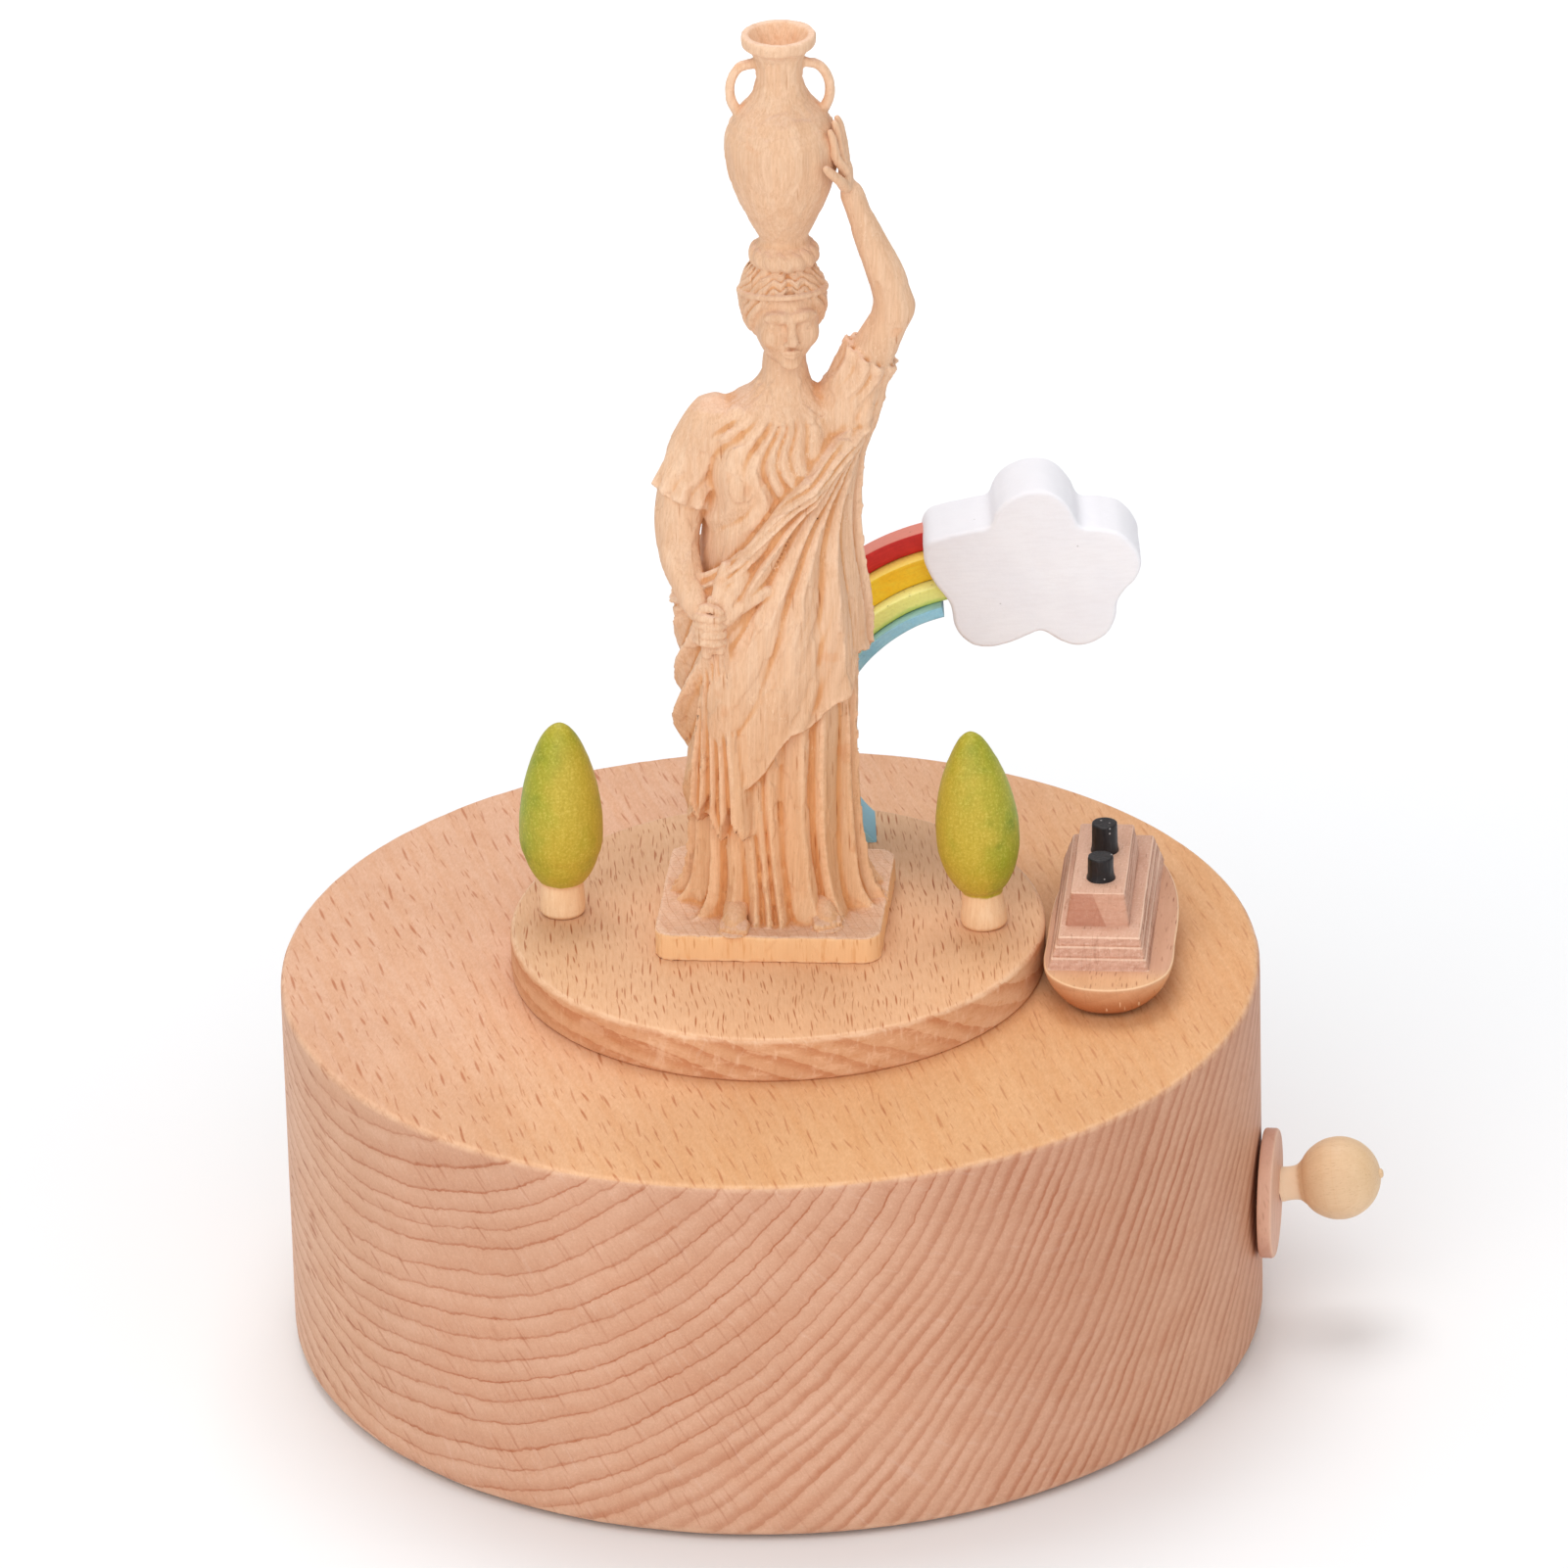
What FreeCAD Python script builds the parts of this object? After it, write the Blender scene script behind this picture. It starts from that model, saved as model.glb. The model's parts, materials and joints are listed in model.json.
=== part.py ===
import FreeCAD, Part
import math
import os

# Hand-cranked wooden music box: a turned beech drum, a round platform with a
# carved figure, two turned trees, a painted rainbow and a cloud, and a small
# wooden boat that a magnet carries round the platform.
# Millimetres, +Z up.  Origin: centre of the underside.  The photograph's
# front is -Y, the crank points towards +X.

V = FreeCAD.Vector

# ---------------------------------------------------------------- dimensions
FELT_T = 0.6            # felt under the base
DRUM_R = 55.0           # turned drum
DRUM_H = 43.6
DRUM_TOP_ROUND = 0.9
DRUM_BOT_ROUND = 1.5
CAVITY_R = 45.0
WEB_T = 3.0             # thin top that the magnet works through
REBATE_R = 50.5
COVER_T = 3.0

PLAT_R = 30.0           # platform on the drum
PLAT_T = 5.3
CRANK_AZ = -8.5         # azimuth of the crank, degrees
AX_N = 1.0              # platform and boat axis, along the crank direction
PLAT_Z = DRUM_H
PLAT_TOP = DRUM_H + PLAT_T

PLINTH_X = 25.4         # figure's square plinth
PLINTH_Y = 23.0
PLINTH_T = 3.2
PLINTH_ROT = -6.0
PLINTH_C = (0.8, 0.3)
PLINTH_CORNER = 2.2

CRANK_Z = 16.7          # height of the crank axis on the drum
DISC_R = 7.35
DISC_T = 1.65
DISC_GAP = 0.35
KNOB_R = 4.72
KNOB_STEM_R = 1.95
KNOB_ECC = 4.4          # eccentricity of the knob on its disc
KNOB_ECC_ANG = 166.0    # place of the knob on the disc, degrees from +t
KNOB_REACH = 6.7        # disc face to ball centre
KNOB_TILT = 9.5         # the knob's pin leans up a little
SHAFT_R = 1.5
RUN = 0.04              # radial running clearance

MODULE = 0.5
WHEEL_Z = 22            # worm wheel
PINION_Z = 16           # the equal pair between cylinder and arm
WORM_R = 2.5
WORM_PITCH = math.pi * MODULE
WORM_CD = WORM_R + MODULE * WHEEL_Z / 2.0

CYL_R = 5.6             # pinned cylinder
CYL_Z0, CYL_Z1 = 19.1, 31.3
PIN_R = 0.18
PIN_TOP = 6.1
NOTES = 18
NOTE_PITCH = 0.66
COMB_T = 0.9

ARBOR_R = 1.25
PLATE_Z0, PLATE_Z1 = 32.0, 33.2     # top plate of the movement
BED_T = 2.0
ARM_Z = 35.7

BOAT_DIST = 37.55       # boat's centre line from the orbit axis
BOAT_AZ = -5.9          # direction of the boat's side, degrees
BOAT_HALF = 7.2
HULL_Z0 = DRUM_H + 0.42
HULL_Z1 = 48.0
MAGNET_S = 4.0          # magnet's place along the boat

ARC_C = (24.64, 60.49)   # rainbow, centre in X and Z
ARC_R = [16.76, 18.1, 20.05, 22.9, 25.2]
ARC_FRONT = [18.6, 20.0, 22.0, 24.0]
ARC_BACK = 26.8
CLOUD_Y0, CLOUD_Y1 = 18.0, 27.6

OUT = {}


# ------------------------------------------------------------------- helpers
def cyl(r, h, x=0, y=0, z=0, axis=(0, 0, 1)):
    return Part.makeCylinder(r, h, V(x, y, z), V(*axis))


def box(x0, x1, y0, y1, z0, z1):
    return Part.makeBox(x1 - x0, y1 - y0, z1 - z0, V(x0, y0, z0))


def poly_face(pts):
    p = [V(*q) for q in pts]
    return Part.Face(Part.makePolygon(p + [p[0]]))


def path_wire(start, steps):
    """Closed wire from line steps (x, y) and arc steps (mid, end), XZ plane."""
    edges = []
    cur = V(start[0], 0, start[1])
    first = cur
    for st in steps:
        if len(st) == 2 and not isinstance(st[0], tuple):
            nxt = V(st[0], 0, st[1])
            if cur.distanceToPoint(nxt) > 1e-7:
                edges.append(Part.LineSegment(cur, nxt).toShape())
        else:
            mid = V(st[0][0], 0, st[0][1])
            nxt = V(st[1][0], 0, st[1][1])
            edges.append(Part.Arc(cur, mid, nxt).toShape())
        cur = nxt
    if cur.distanceToPoint(first) > 1e-7:
        edges.append(Part.LineSegment(cur, first).toShape())
    return Part.Wire(edges)


def turned(start, steps):
    f = Part.Face(path_wire(start, steps))
    return f.revolve(V(0, 0, 0), V(0, 0, 1), 360)


def corner(cx, cz, r, a0, a1):
    """Arc step of a quarter round about (cx, cz) from angle a0 to a1."""
    am = math.radians((a0 + a1) / 2.0)
    ae = math.radians(a1)
    return ((cx + r * math.cos(am), cz + r * math.sin(am)),
            (cx + r * math.cos(ae), cz + r * math.sin(ae)))


def local(shape):
    """Movement frame (n, t, z), turned to the crank's azimuth."""
    s = shape.copy()
    s.rotate(V(0, 0, 0), V(0, 0, 1), CRANK_AZ)
    return s


def world(n, t):
    a = math.radians(CRANK_AZ)
    return (n * math.cos(a) - t * math.sin(a), n * math.sin(a) + t * math.cos(a))


P0 = world(AX_N, 0.0)                # platform, arm and boat axis
Q0 = world(AX_N, WORM_CD)            # cylinder axis


def gear_points(z, m, thin, r_tip, r_root, turn=0.0):
    rp = m * z / 2.0
    rb = rp * math.cos(math.radians(20))

    def inv(r):
        if r <= rb:
            return 0.0
        al = math.acos(rb / r)
        return math.tan(al) - al
    half = math.pi / (2 * z) * thin
    pts = []
    for k in range(z):
        c = 2 * math.pi * k / z + turn
        flank = []
        for i in range(5):
            r = max(rb, r_root) + (r_tip - max(rb, r_root)) * i / 4.0
            flank.append((r, half + inv(rp) - inv(r)))
        seq = [(r_root, half + inv(rp) - inv(rb))] + flank
        for r, w in seq:
            pts.append((r * math.cos(c - w), r * math.sin(c - w)))
        for r, w in reversed(seq):
            pts.append((r * math.cos(c + w), r * math.sin(c + w)))
    return pts


def spur(z, m, thin, add, ded, x, y, z0, h, turn=0.0):
    rp = m * z / 2.0
    pts = gear_points(z, m, thin, rp + add, rp - ded, turn)
    f = poly_face([(p[0] + x, p[1] + y, z0) for p in pts])
    return f.extrude(V(0, 0, h))


def screw(r, length, head_r, head_h, x, y, z, down=True):
    """Screw with a slotted cheese head; z is the height under the head."""
    s = cyl(r, length, x, y, z - length).fuse(cyl(head_r, head_h, x, y, z))
    s = s.cut(box(x - head_r - 1, x + head_r + 1, y - 0.25, y + 0.25,
                  z + head_h * 0.5, z + head_h + 1))
    if not down:
        s.rotate(V(x, y, z), V(1, 0, 0), 180)
    return s


def one(shape):
    s = shape.removeSplitter()
    sol = s.Solids
    return sol[0] if len(sol) == 1 else s


def keep(name, shape):
    s = shape.copy()
    s.translate(V(0, 0, FELT_T))
    OUT[name] = s


# ---------------------------------------------------------------- drum, base
R, H = DRUM_R, DRUM_H
tr, br = DRUM_TOP_ROUND, DRUM_BOT_ROUND
drum = turned((REBATE_R, 0), [
    (R - br, 0), corner(R - br, br, br, -90, 0),
    (R, H - tr), corner(R - tr, H - tr, tr, 0, 90),
    (0, H), (0, H - WEB_T), (CAVITY_R - 1.5, H - WEB_T),
    corner(CAVITY_R - 1.5, H - WEB_T - 1.5, 1.5, 90, 0),
    (CAVITY_R, COVER_T), (REBATE_R, COVER_T)])
# crank hole through the wall, with a wider mouth for the bush flange
drum = drum.cut(local(cyl(3.0, 16, 42, 0, CRANK_Z, (1, 0, 0))))
# platform dowel holes through the web
PLAT_DOWELS = [(-16.0, 7.0), (15.0, 12.0), (0.5, -17.0)]
for dx, dy in PLAT_DOWELS:
    drum = drum.cut(cyl(2.5, 6, P0[0] + dx, P0[1] + dy, H - 5))
# cover screw pilots
COVER_SCREWS = [(47.6 * math.cos(math.radians(a)), 47.6 * math.sin(math.radians(a)))
                for a in (35, 125, 215, 305)]
for x, y in COVER_SCREWS:
    drum = drum.cut(cyl(1.1, 9.5, x, y, COVER_T))
keep("drum_body", drum)

SOUND = [(21.0 * math.cos(math.radians(30 * i)), 21.0 * math.sin(math.radians(30 * i)))
         for i in range(12)]
cover = cyl(REBATE_R - 0.15, COVER_T)
for x, y in SOUND:
    cover = cover.cut(cyl(2.2, 10, x, y, -1))
for x, y in COVER_SCREWS:
    cover = cover.cut(cyl(1.3, 10, x, y, -1)).cut(cyl(2.4, 1.4, x, y, 0))
BED_SCREWS = [(-14.0, -6.0), (16.0, -10.0), (-8.0, 27.0), (13.0, 25.0)]   # n, t
for n, t in BED_SCREWS:
    cover = cover.cut(local(cyl(0.9, 2.2, n, t, COVER_T - 2.2)))
keep("bottom_cover", cover)

keep("cover_screws", Part.makeCompound(
    [screw(1.08, 8.6, 2.2, 1.2, x, y, 1.4, down=False) for x, y in COVER_SCREWS]))

felt = cyl(52.5, FELT_T, 0, 0, -FELT_T)
for x, y in SOUND:
    felt = felt.cut(cyl(2.4, 10, x, y, -5))
keep("base_felt", felt)

# ------------------------------------------------------------------ platform
pr = PLAT_R
plat = turned((0, 0), [
    (pr - 0.7, 0), corner(pr - 0.7, 0.7, 0.7, -90, 0),
    (pr, PLAT_T - 0.7), corner(pr - 0.7, PLAT_T - 0.7, 0.7, 0, 90), (0, PLAT_T)])
plat.translate(V(P0[0], P0[1], PLAT_Z))
for dx, dy in PLAT_DOWELS:
    plat = plat.cut(cyl(2.5, 3.6, P0[0] + dx, P0[1] + dy, PLAT_Z - 1))
FIG_DOWEL = PLINTH_C
plat = plat.cut(cyl(2.0, 4, FIG_DOWEL[0], FIG_DOWEL[1], PLAT_TOP - 3.0))
TREE_L = (-23.1, 3.2)
TREE_R = (24.12, -2.8)
for x, y in (TREE_L, TREE_R):
    plat = plat.cut(cyl(1.2, 4, x, y, PLAT_TOP - 3.0))
RB_DOWELS = [(5.6, 25.4), (8.9, 22.7)]
for x, y in RB_DOWELS:
    plat = plat.cut(cyl(0.8, 4, x, y, PLAT_TOP - 3.0))
keep("platform_disc", plat)
keep("platform_dowels", Part.makeCompound(
    [cyl(2.5, WEB_T + 2.5, P0[0] + dx, P0[1] + dy, H - WEB_T) for dx, dy in PLAT_DOWELS]))

# ------------------------------------------------------------- carved figure
# A robed water carrier: long tunic, mantle, jar on the head, one hand raised.
zb = PLAT_TOP + PLINTH_T


def ellipse_wire(cx, cy, z, a, b):
    if a >= b:
        e = Part.Ellipse(V(cx, cy, z), a, b)
    else:
        e = Part.Ellipse(V(cx, cy + b, z), V(cx + a, cy, z), V(cx, cy, z))
    return Part.Wire(e.toShape())


plinth = box(-PLINTH_X / 2, PLINTH_X / 2, -PLINTH_Y / 2, PLINTH_Y / 2, 0, PLINTH_T)
vert = [e for e in plinth.Edges if abs(e.Vertexes[0].Z - e.Vertexes[-1].Z) > 1]
plinth = plinth.makeFillet(PLINTH_CORNER, vert)
plinth.rotate(V(0, 0, 0), V(0, 0, 1), PLINTH_ROT)
plinth.translate(V(PLINTH_C[0], PLINTH_C[1], PLAT_TOP))

BODY = [(0.0, 1.4, 0.4, 10.7, 8.6), (3.0, 1.3, 0.4, 10.2, 8.2), (14.0, 1.2, 0.3, 9.5, 7.4),
        (28.0, 1.2, 0.0, 9.9, 7.3), (36.0, 1.3, 0.0, 9.6, 7.0), (45.0, 1.6, 0.2, 8.7, 6.3),
        (53.0, 2.0, 0.1, 9.2, 6.0), (58.5, 2.3, 0.2, 9.6, 5.3), (61.8, 2.6, 0.2, 7.0, 4.5),
        (64.0, 3.0, 0.1, 3.2, 3.3)]
wires = [ellipse_wire(cx, cy, zb + dz, a, b) for dz, cx, cy, a, b in BODY]
robe = Part.makeLoft(wires, True, False)
HEAD = (3.5, -0.6, 123.4)
neck = cyl(2.5, 6.0, 3.3, -0.1, zb + 62.5)
head = Part.makeSphere(1.0)
hm = FreeCAD.Matrix()
hm.scale(4.3, 5.0, 6.3)
head = head.transformGeometry(hm)
head.translate(V(*HEAD))
# rolled cloth ring and jar on the head
JX, JY, JZ = 3.6, 0.2, 129.6
jar = turned((0, 0), [
    (3.0, 0), ((3.7, 0.8), (3.1, 1.7)), (2.6, 2.2),
    ((5.1, 7.0), (6.3, 12.5)), ((6.0, 15.6), (3.2, 18.6)),
    (2.6, 22.4), ((2.9, 24.2), (4.1, 25.2)), (4.1, 26.4), (0, 26.4)])
jar.translate(V(JX, JY, JZ))


def limb(p, q, r0, r1):
    d = V(*q) - V(*p)
    c = Part.makeCone(r0, r1, d.Length, V(*p), d)
    return c.fuse(Part.makeSphere(r1, V(*q)))


SH_R = (9.6, 0.2, 112.0)
EL_R = (15.8, -1.2, 123.8)
HA_R = (10.2, -1.2, 139.0)
SH_L = (-5.6, 0.2, 111.0)
EL_L = (-9.0, -1.4, 97.5)
HA_L = (-5.4, -7.0, 88.6)
fig = plinth.fuse(robe)
for s in (neck, head, jar, limb(SH_R, EL_R, 2.9, 2.3), limb(EL_R, HA_R, 2.3, 1.6),
          limb(SH_L, EL_L, 3.0, 2.6), limb(EL_L, HA_L, 2.6, 1.9)):
    fig = fig.fuse(s)
fig = fig.cut(cyl(2.0, 10, FIG_DOWEL[0], FIG_DOWEL[1], PLAT_TOP - 1))
keep("carved_figure", one(fig))
keep("figure_dowel", cyl(2.0, 12.0, FIG_DOWEL[0], FIG_DOWEL[1], PLAT_TOP - 3.0))


# --------------------------------------------------------------------- trees
def tree(trunk, crown, tip, x, y, lean):
    """Turned tree: spool trunk, pointed crown, tenon below."""
    e = []
    e.append(Part.LineSegment(V(0, 0, -3.0), V(1.2, 0, -3.0)).toShape())
    e.append(Part.LineSegment(V(1.2, 0, -3.0), V(1.2, 0, 0)).toShape())
    e.append(Part.LineSegment(V(1.2, 0, 0), V(trunk[0][1], 0, 0)).toShape())
    b = Part.BSplineCurve()
    b.interpolate([V(r, 0, z) for z, r in trunk])
    e.append(b.toShape())
    c = Part.BSplineCurve()
    pts = [V(trunk[-1][1], 0, trunk[-1][0])] + [V(r, 0, z) for z, r in crown] + [V(0, 0, tip)]
    c.interpolate(Points=pts)
    e.append(c.toShape())
    e.append(Part.LineSegment(V(0, 0, tip), V(0, 0, -3.0)).toShape())
    s = Part.Face(Part.Wire(e)).revolve(V(0, 0, 0), V(0, 0, 1), 360)
    tenon = cyl(1.2, 3.0, 0, 0, -3.0)
    top = s.common(box(-9, 9, -9, 9, 0, 40))
    top.rotate(V(0, 0, 0), V(0, 1, 0), lean)
    # trim the leaning trunk flat on the platform
    top = top.common(box(-9, 9, -9, 9, 0.0, 40))
    t = top.fuse(tenon)
    t.translate(V(x, y, PLAT_TOP))
    return one(t)


keep("tree_left", tree([(0, 2.3), (0.35, 2.52), (1.3, 2.56), (3.0, 2.42), (3.95, 2.4)],
                       [(4.9, 3.16), (6.1, 3.8), (8.0, 4.45), (11.0, 4.71), (13.5, 4.53),
                        (15.9, 4.12), (18.3, 3.47), (20.7, 2.55), (21.9, 1.93), (22.85, 1.12), (23.3, 0.5)], 23.42,
                       TREE_L[0], TREE_L[1], 0.8))
keep("tree_right", tree([(0, 2.25), (0.35, 2.56), (1.3, 2.62), (2.6, 2.42), (3.9, 2.27)],
                        [(5.1, 2.98), (6.4, 3.68), (8.6, 4.41), (11.2, 4.68), (13.7, 4.52),
                         (16.1, 4.12), (18.6, 3.42), (21.0, 2.45), (22.2, 1.85), (23.2, 1.08), (23.65, 0.5)], 23.77,
                        TREE_R[0], TREE_R[1], -3.0))

# --------------------------------------------------------- rainbow and cloud
LOBES = [(31.5, 87.8, 4.55), (38.85, 83.2, 4.15), (36.0, 77.15, 4.15),
         (26.1, 77.55, 4.55), (22.85, 83.7, 4.3)]
cl = Part.makeCylinder(6.4, 1, V(31.0, 0, 82.0), V(0, 1, 0))
prev = None
for cx, cz, r in LOBES:
    cl = cl.fuse(Part.makeCylinder(r, 1, V(cx, 0, cz), V(0, 1, 0)))
cl = cl.removeSplitter()
dent = [e for e in cl.Edges if len(e.Vertexes) == 2
        and abs(e.Vertexes[0].Y - e.Vertexes[1].Y) > 0.5
        and abs(e.Vertexes[0].X - e.Vertexes[1].X) < 1e-3]
dent = [e for e in dent if type(e.Curve).__name__ == "Line"]
dent = [e for e in dent if not any(abs(e.Vertexes[0].X - (cx + r)) < 0.02
                                   and abs(e.Vertexes[0].Z - cz) < 0.02
                                   for cx, cz, r in LOBES + [(31.0, 82.0, 6.4)])]
try:
    cl2 = cl.makeFillet(1.3, dent)
    if cl2.isValid() and len(cl2.Solids) == 1:
        cl = cl2
except Exception as ex:
    print("cloud dents left sharp", ex)
front = [f for f in cl.Faces if abs(f.CenterOfMass.y) < 1e-6 and f.Surface.TypeId == "Part::GeomPlane"]
front = max(front, key=lambda f: f.Area)
cloud = Part.Face(front.OuterWire).extrude(V(0, CLOUD_Y1 - CLOUD_Y0, 0))
cloud.translate(V(0, CLOUD_Y0, 0))
try:
    rim = [e for e in cloud.Edges if abs(e.Vertexes[0].Y - e.Vertexes[-1].Y) < 1e-6
           and (abs(e.CenterOfMass.y - CLOUD_Y0) < 1e-6 or abs(e.CenterOfMass.y - CLOUD_Y1) < 1e-6)]
    c2 = cloud.makeFillet(0.55, rim)
    if c2.isValid() and len(c2.Solids) == 1:
        cloud = c2
except Exception as ex:
    print("cloud rim left sharp", ex)
PIN_A = V(20.4, 23.6, 81.7)
PIN_D = V(1.0, 0, 0.32)
cloud_body = cloud.cut(Part.makeCylinder(0.8, 4.5, PIN_A, PIN_D))

NAMES = ["rainbow_blue", "rainbow_yellow", "rainbow_orange", "rainbow_red"]
END_DEG = [103.5, 98.0, 100.0, 100.0]      # where each band stops by the cloud
keep_out = cloud
bands = []
for i in range(4):
    r0, r1 = ARC_R[i], ARC_R[i + 1]
    cx, cz = ARC_C
    zf = PLAT_TOP
    a_end = math.radians(END_DEG[i])

    def foot(r):
        return math.pi + math.asin((cz - zf) / r)
    a0, a1 = foot(r0), foot(r1)

    def pt(r, a):
        return V(cx + r * math.cos(a), 0, cz + r * math.sin(a))
    e = [Part.Arc(pt(r0, a0), pt(r0, (a0 + a_end) / 2), pt(r0, a_end)).toShape(),
         Part.LineSegment(pt(r0, a_end), pt(r1, a_end)).toShape(),
         Part.Arc(pt(r1, a_end), pt(r1, (a1 + a_end) / 2), pt(r1, a1)).toShape(),
         Part.LineSegment(pt(r1, a1), pt(r0, a0)).toShape()]
    b = Part.Face(Part.Wire(e)).extrude(V(0, ARC_BACK - ARC_FRONT[i], 0))
    b.translate(V(0, ARC_FRONT[i], 0))
    b = b.cut(keep_out)
    b = max(b.Solids, key=lambda s: s.Volume)
    bands.append(b)
rb_dowels = [cyl(0.8, 6.0, x, y, PLAT_TOP - 3.0) for x, y in RB_DOWELS]
pin = Part.makeCylinder(0.8, 7.5, PIN_A - PIN_D.normalize() * 3.2, PIN_D)
for i in range(4):
    b = bands[i].cut(Part.makeCompound(rb_dowels)).cut(pin)
    keep(NAMES[i], max(b.Solids, key=lambda s: s.Volume))
cloud_body = cloud.cut(pin)
keep("cloud", one(cloud_body))
keep("cloud_pin", pin)
keep("rainbow_dowels", Part.makeCompound(rb_dowels))

# ---------------------------------------------------------------- the crank
N0 = DRUM_R + DISC_GAP
N1 = N0 + DISC_T
kt = KNOB_ECC * math.cos(math.radians(KNOB_ECC_ANG - 180))
kz = -KNOB_ECC * math.sin(math.radians(180 - KNOB_ECC_ANG))
disc = turned((0, 0), [
    (DISC_R - 0.3, 0), corner(DISC_R - 0.3, 0.3, 0.3, -90, 0),
    (DISC_R, DISC_T - 0.45), corner(DISC_R - 0.45, DISC_T - 0.45, 0.45, 0, 90), (0, DISC_T)])
disc.rotate(V(0, 0, 0), V(0, 1, 0), 90)
disc.translate(V(N0, 0, CRANK_Z))
disc = disc.cut(cyl(SHAFT_R, 1.05, N0 - 0.01, 0, CRANK_Z, (1, 0, 0)))
disc = disc.cut(cyl(1.2, 5, N0 - 1, kt, CRANK_Z + kz, (1, 0, 0)))
keep("crank_disc", local(disc))

kn = KNOB_R
kc = KNOB_REACH
sr = KNOB_STEM_R
a_in = math.radians(180 - 36)               # where the cove meets the ball
knob = turned((0, 0), [
    (sr + 0.05, 0), ((sr - 0.02, 0.9), (sr + 0.02, kc - 4.75)),
    (kn * math.sin(math.pi - a_in), kc + kn * math.cos(a_in)),
    ((kn, kc), (0.6, kc + math.sqrt(kn ** 2 - 0.36))),
    (0.5, kc + kn + 0.3), (0, kc + kn + 0.35)])
knob.rotate(V(0, 0, 0), V(0, 1, 0), 90 - KNOB_TILT)
# the foot of the stem seats flat on the disc
knob.translate(V(N1 - 0.0, kt, CRANK_Z + kz))
knob = knob.common(box(N1, N1 + 40, -40, 40, -40, 80))
foot_ring = cyl(sr, 0.35, N1, kt, CRANK_Z + kz, (1, 0, 0))
tenon = cyl(1.2, DISC_T, N0, kt, CRANK_Z + kz, (1, 0, 0))
keep("crank_knob", local(one(knob.fuse(foot_ring).fuse(tenon))))

SH_IN = -9.5
shaft = cyl(SHAFT_R, N0 + 1.04 - SH_IN, SH_IN, 0, CRANK_Z, (1, 0, 0))
keep("crank_shaft", local(shaft))
# bush in the wall: pressed sleeve with a flange inside the drum
WALL_IN = math.sqrt(CAVITY_R ** 2 - 16) - 0.03
bush = cyl(3.0, 54.2 - WALL_IN + 1.2, WALL_IN - 1.2, 0, CRANK_Z, (1, 0, 0)).fuse(
    cyl(4.0, 1.2, WALL_IN - 1.2, 0, CRANK_Z, (1, 0, 0)))
bush = bush.cut(cyl(SHAFT_R + RUN, 40, 30, 0, CRANK_Z, (1, 0, 0)))
keep("shaft_bush", local(one(bush)))
collar = cyl(3.2, 3.0, WALL_IN - 4.5, 0, CRANK_Z, (1, 0, 0)).cut(
    cyl(SHAFT_R, 8, WALL_IN - 6, 0, CRANK_Z, (1, 0, 0)))
collar = collar.cut(cyl(0.6, 6, WALL_IN - 3.0, 0, CRANK_Z + 1.4, (0, 0, 1)))
keep("shaft_collar", local(collar))

# worm: thread crest towards the wheel exactly at n = AX_N
WL = 4 * WORM_PITCH
core_r = 1.78
prof_r0, prof_r1 = 1.6, 3.0
hp, tp = 0.30, math.tan(math.radians(20))


def half(r):
    return hp + (WORM_R - r) * tp


helix = Part.makeHelix(WORM_PITCH, WL, WORM_R)
prof = Part.makePolygon([V(prof_r0, 0, -half(prof_r0)), V(prof_r1, 0, -half(prof_r1)),
                         V(prof_r1, 0, half(prof_r1)), V(prof_r0, 0, half(prof_r0)),
                         V(prof_r0, 0, -half(prof_r0))])
thread = Part.Wire(helix).makePipeShell([prof], True, True)
core = cyl(core_r, WL + 4.0, 0, 0, -2.0)
worm = thread.fuse(core).cut(cyl(SHAFT_R, WL + 10, 0, 0, -5))
# helix axis Z becomes n; its start direction +X becomes +t
m = FreeCAD.Matrix(0, 0, 1, 0, 1, 0, 0, 0, 0, 1, 0, 0, 0, 0, 0, 1)
worm.Placement = FreeCAD.Placement(m)
worm.translate(V(AX_N - WL / 2.0 - (0.5 * WORM_PITCH if round(WL / WORM_PITCH) % 2 else 0.0),
                 0, CRANK_Z))
keep("worm", local(worm))

br_n0, br_n1 = SH_IN - 0.5, SH_IN + 2.7
bracket = box(br_n0, br_n1, -4.0, 4.0, COVER_T + BED_T, CRANK_Z + 4.0)
bracket = bracket.fuse(box(br_n0 - 5.0, br_n0, -4.0, 4.0, COVER_T + BED_T, COVER_T + BED_T + 1.6))
bracket = bracket.cut(cyl(SHAFT_R + RUN, 20, -20, 0, CRANK_Z, (1, 0, 0)))
bracket = bracket.cut(cyl(0.9, 10, br_n0 - 2.5, 0, COVER_T))
keep("worm_bracket", local(one(bracket)))

# ------------------------------------------------------------- the movement
bed_z0, bed_z1 = COVER_T, COVER_T + BED_T
bed = box(-19.0, 20.0, -14.0, 31.0, bed_z0, bed_z1)
bv = [e for e in bed.Edges if abs(e.Vertexes[0].Z - e.Vertexes[-1].Z) > 1]
bed = bed.makeFillet(4.0, bv)
PILLARS = [(-10.5, 14.5), (12.5, 14.5), (1.0, -9.5)]
for n, t in PILLARS:
    bed = bed.cut(cyl(1.2, 10, n, t, 0))
for n, t in BED_SCREWS:
    bed = bed.cut(cyl(1.1, 10, n, t, 0))
bed = bed.cut(cyl(ARBOR_R + 0.75, 10, AX_N, WORM_CD, 0))
bed = bed.cut(cyl(0.9, 10, br_n0 - 2.5, 0, 0))
BLOCK_SCREWS = [(4.4, 22.3), (4.4, 27.7)]
for n, t in BLOCK_SCREWS:
    bed = bed.cut(cyl(1.0, 10, n, t, 0))
keep("bedplate", local(bed))
keep("bedplate_screws", local(Part.makeCompound(
    [screw(0.9, BED_T + 2.2, 1.9, 1.1, n, t, bed_z1) for n, t in BED_SCREWS])))
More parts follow.
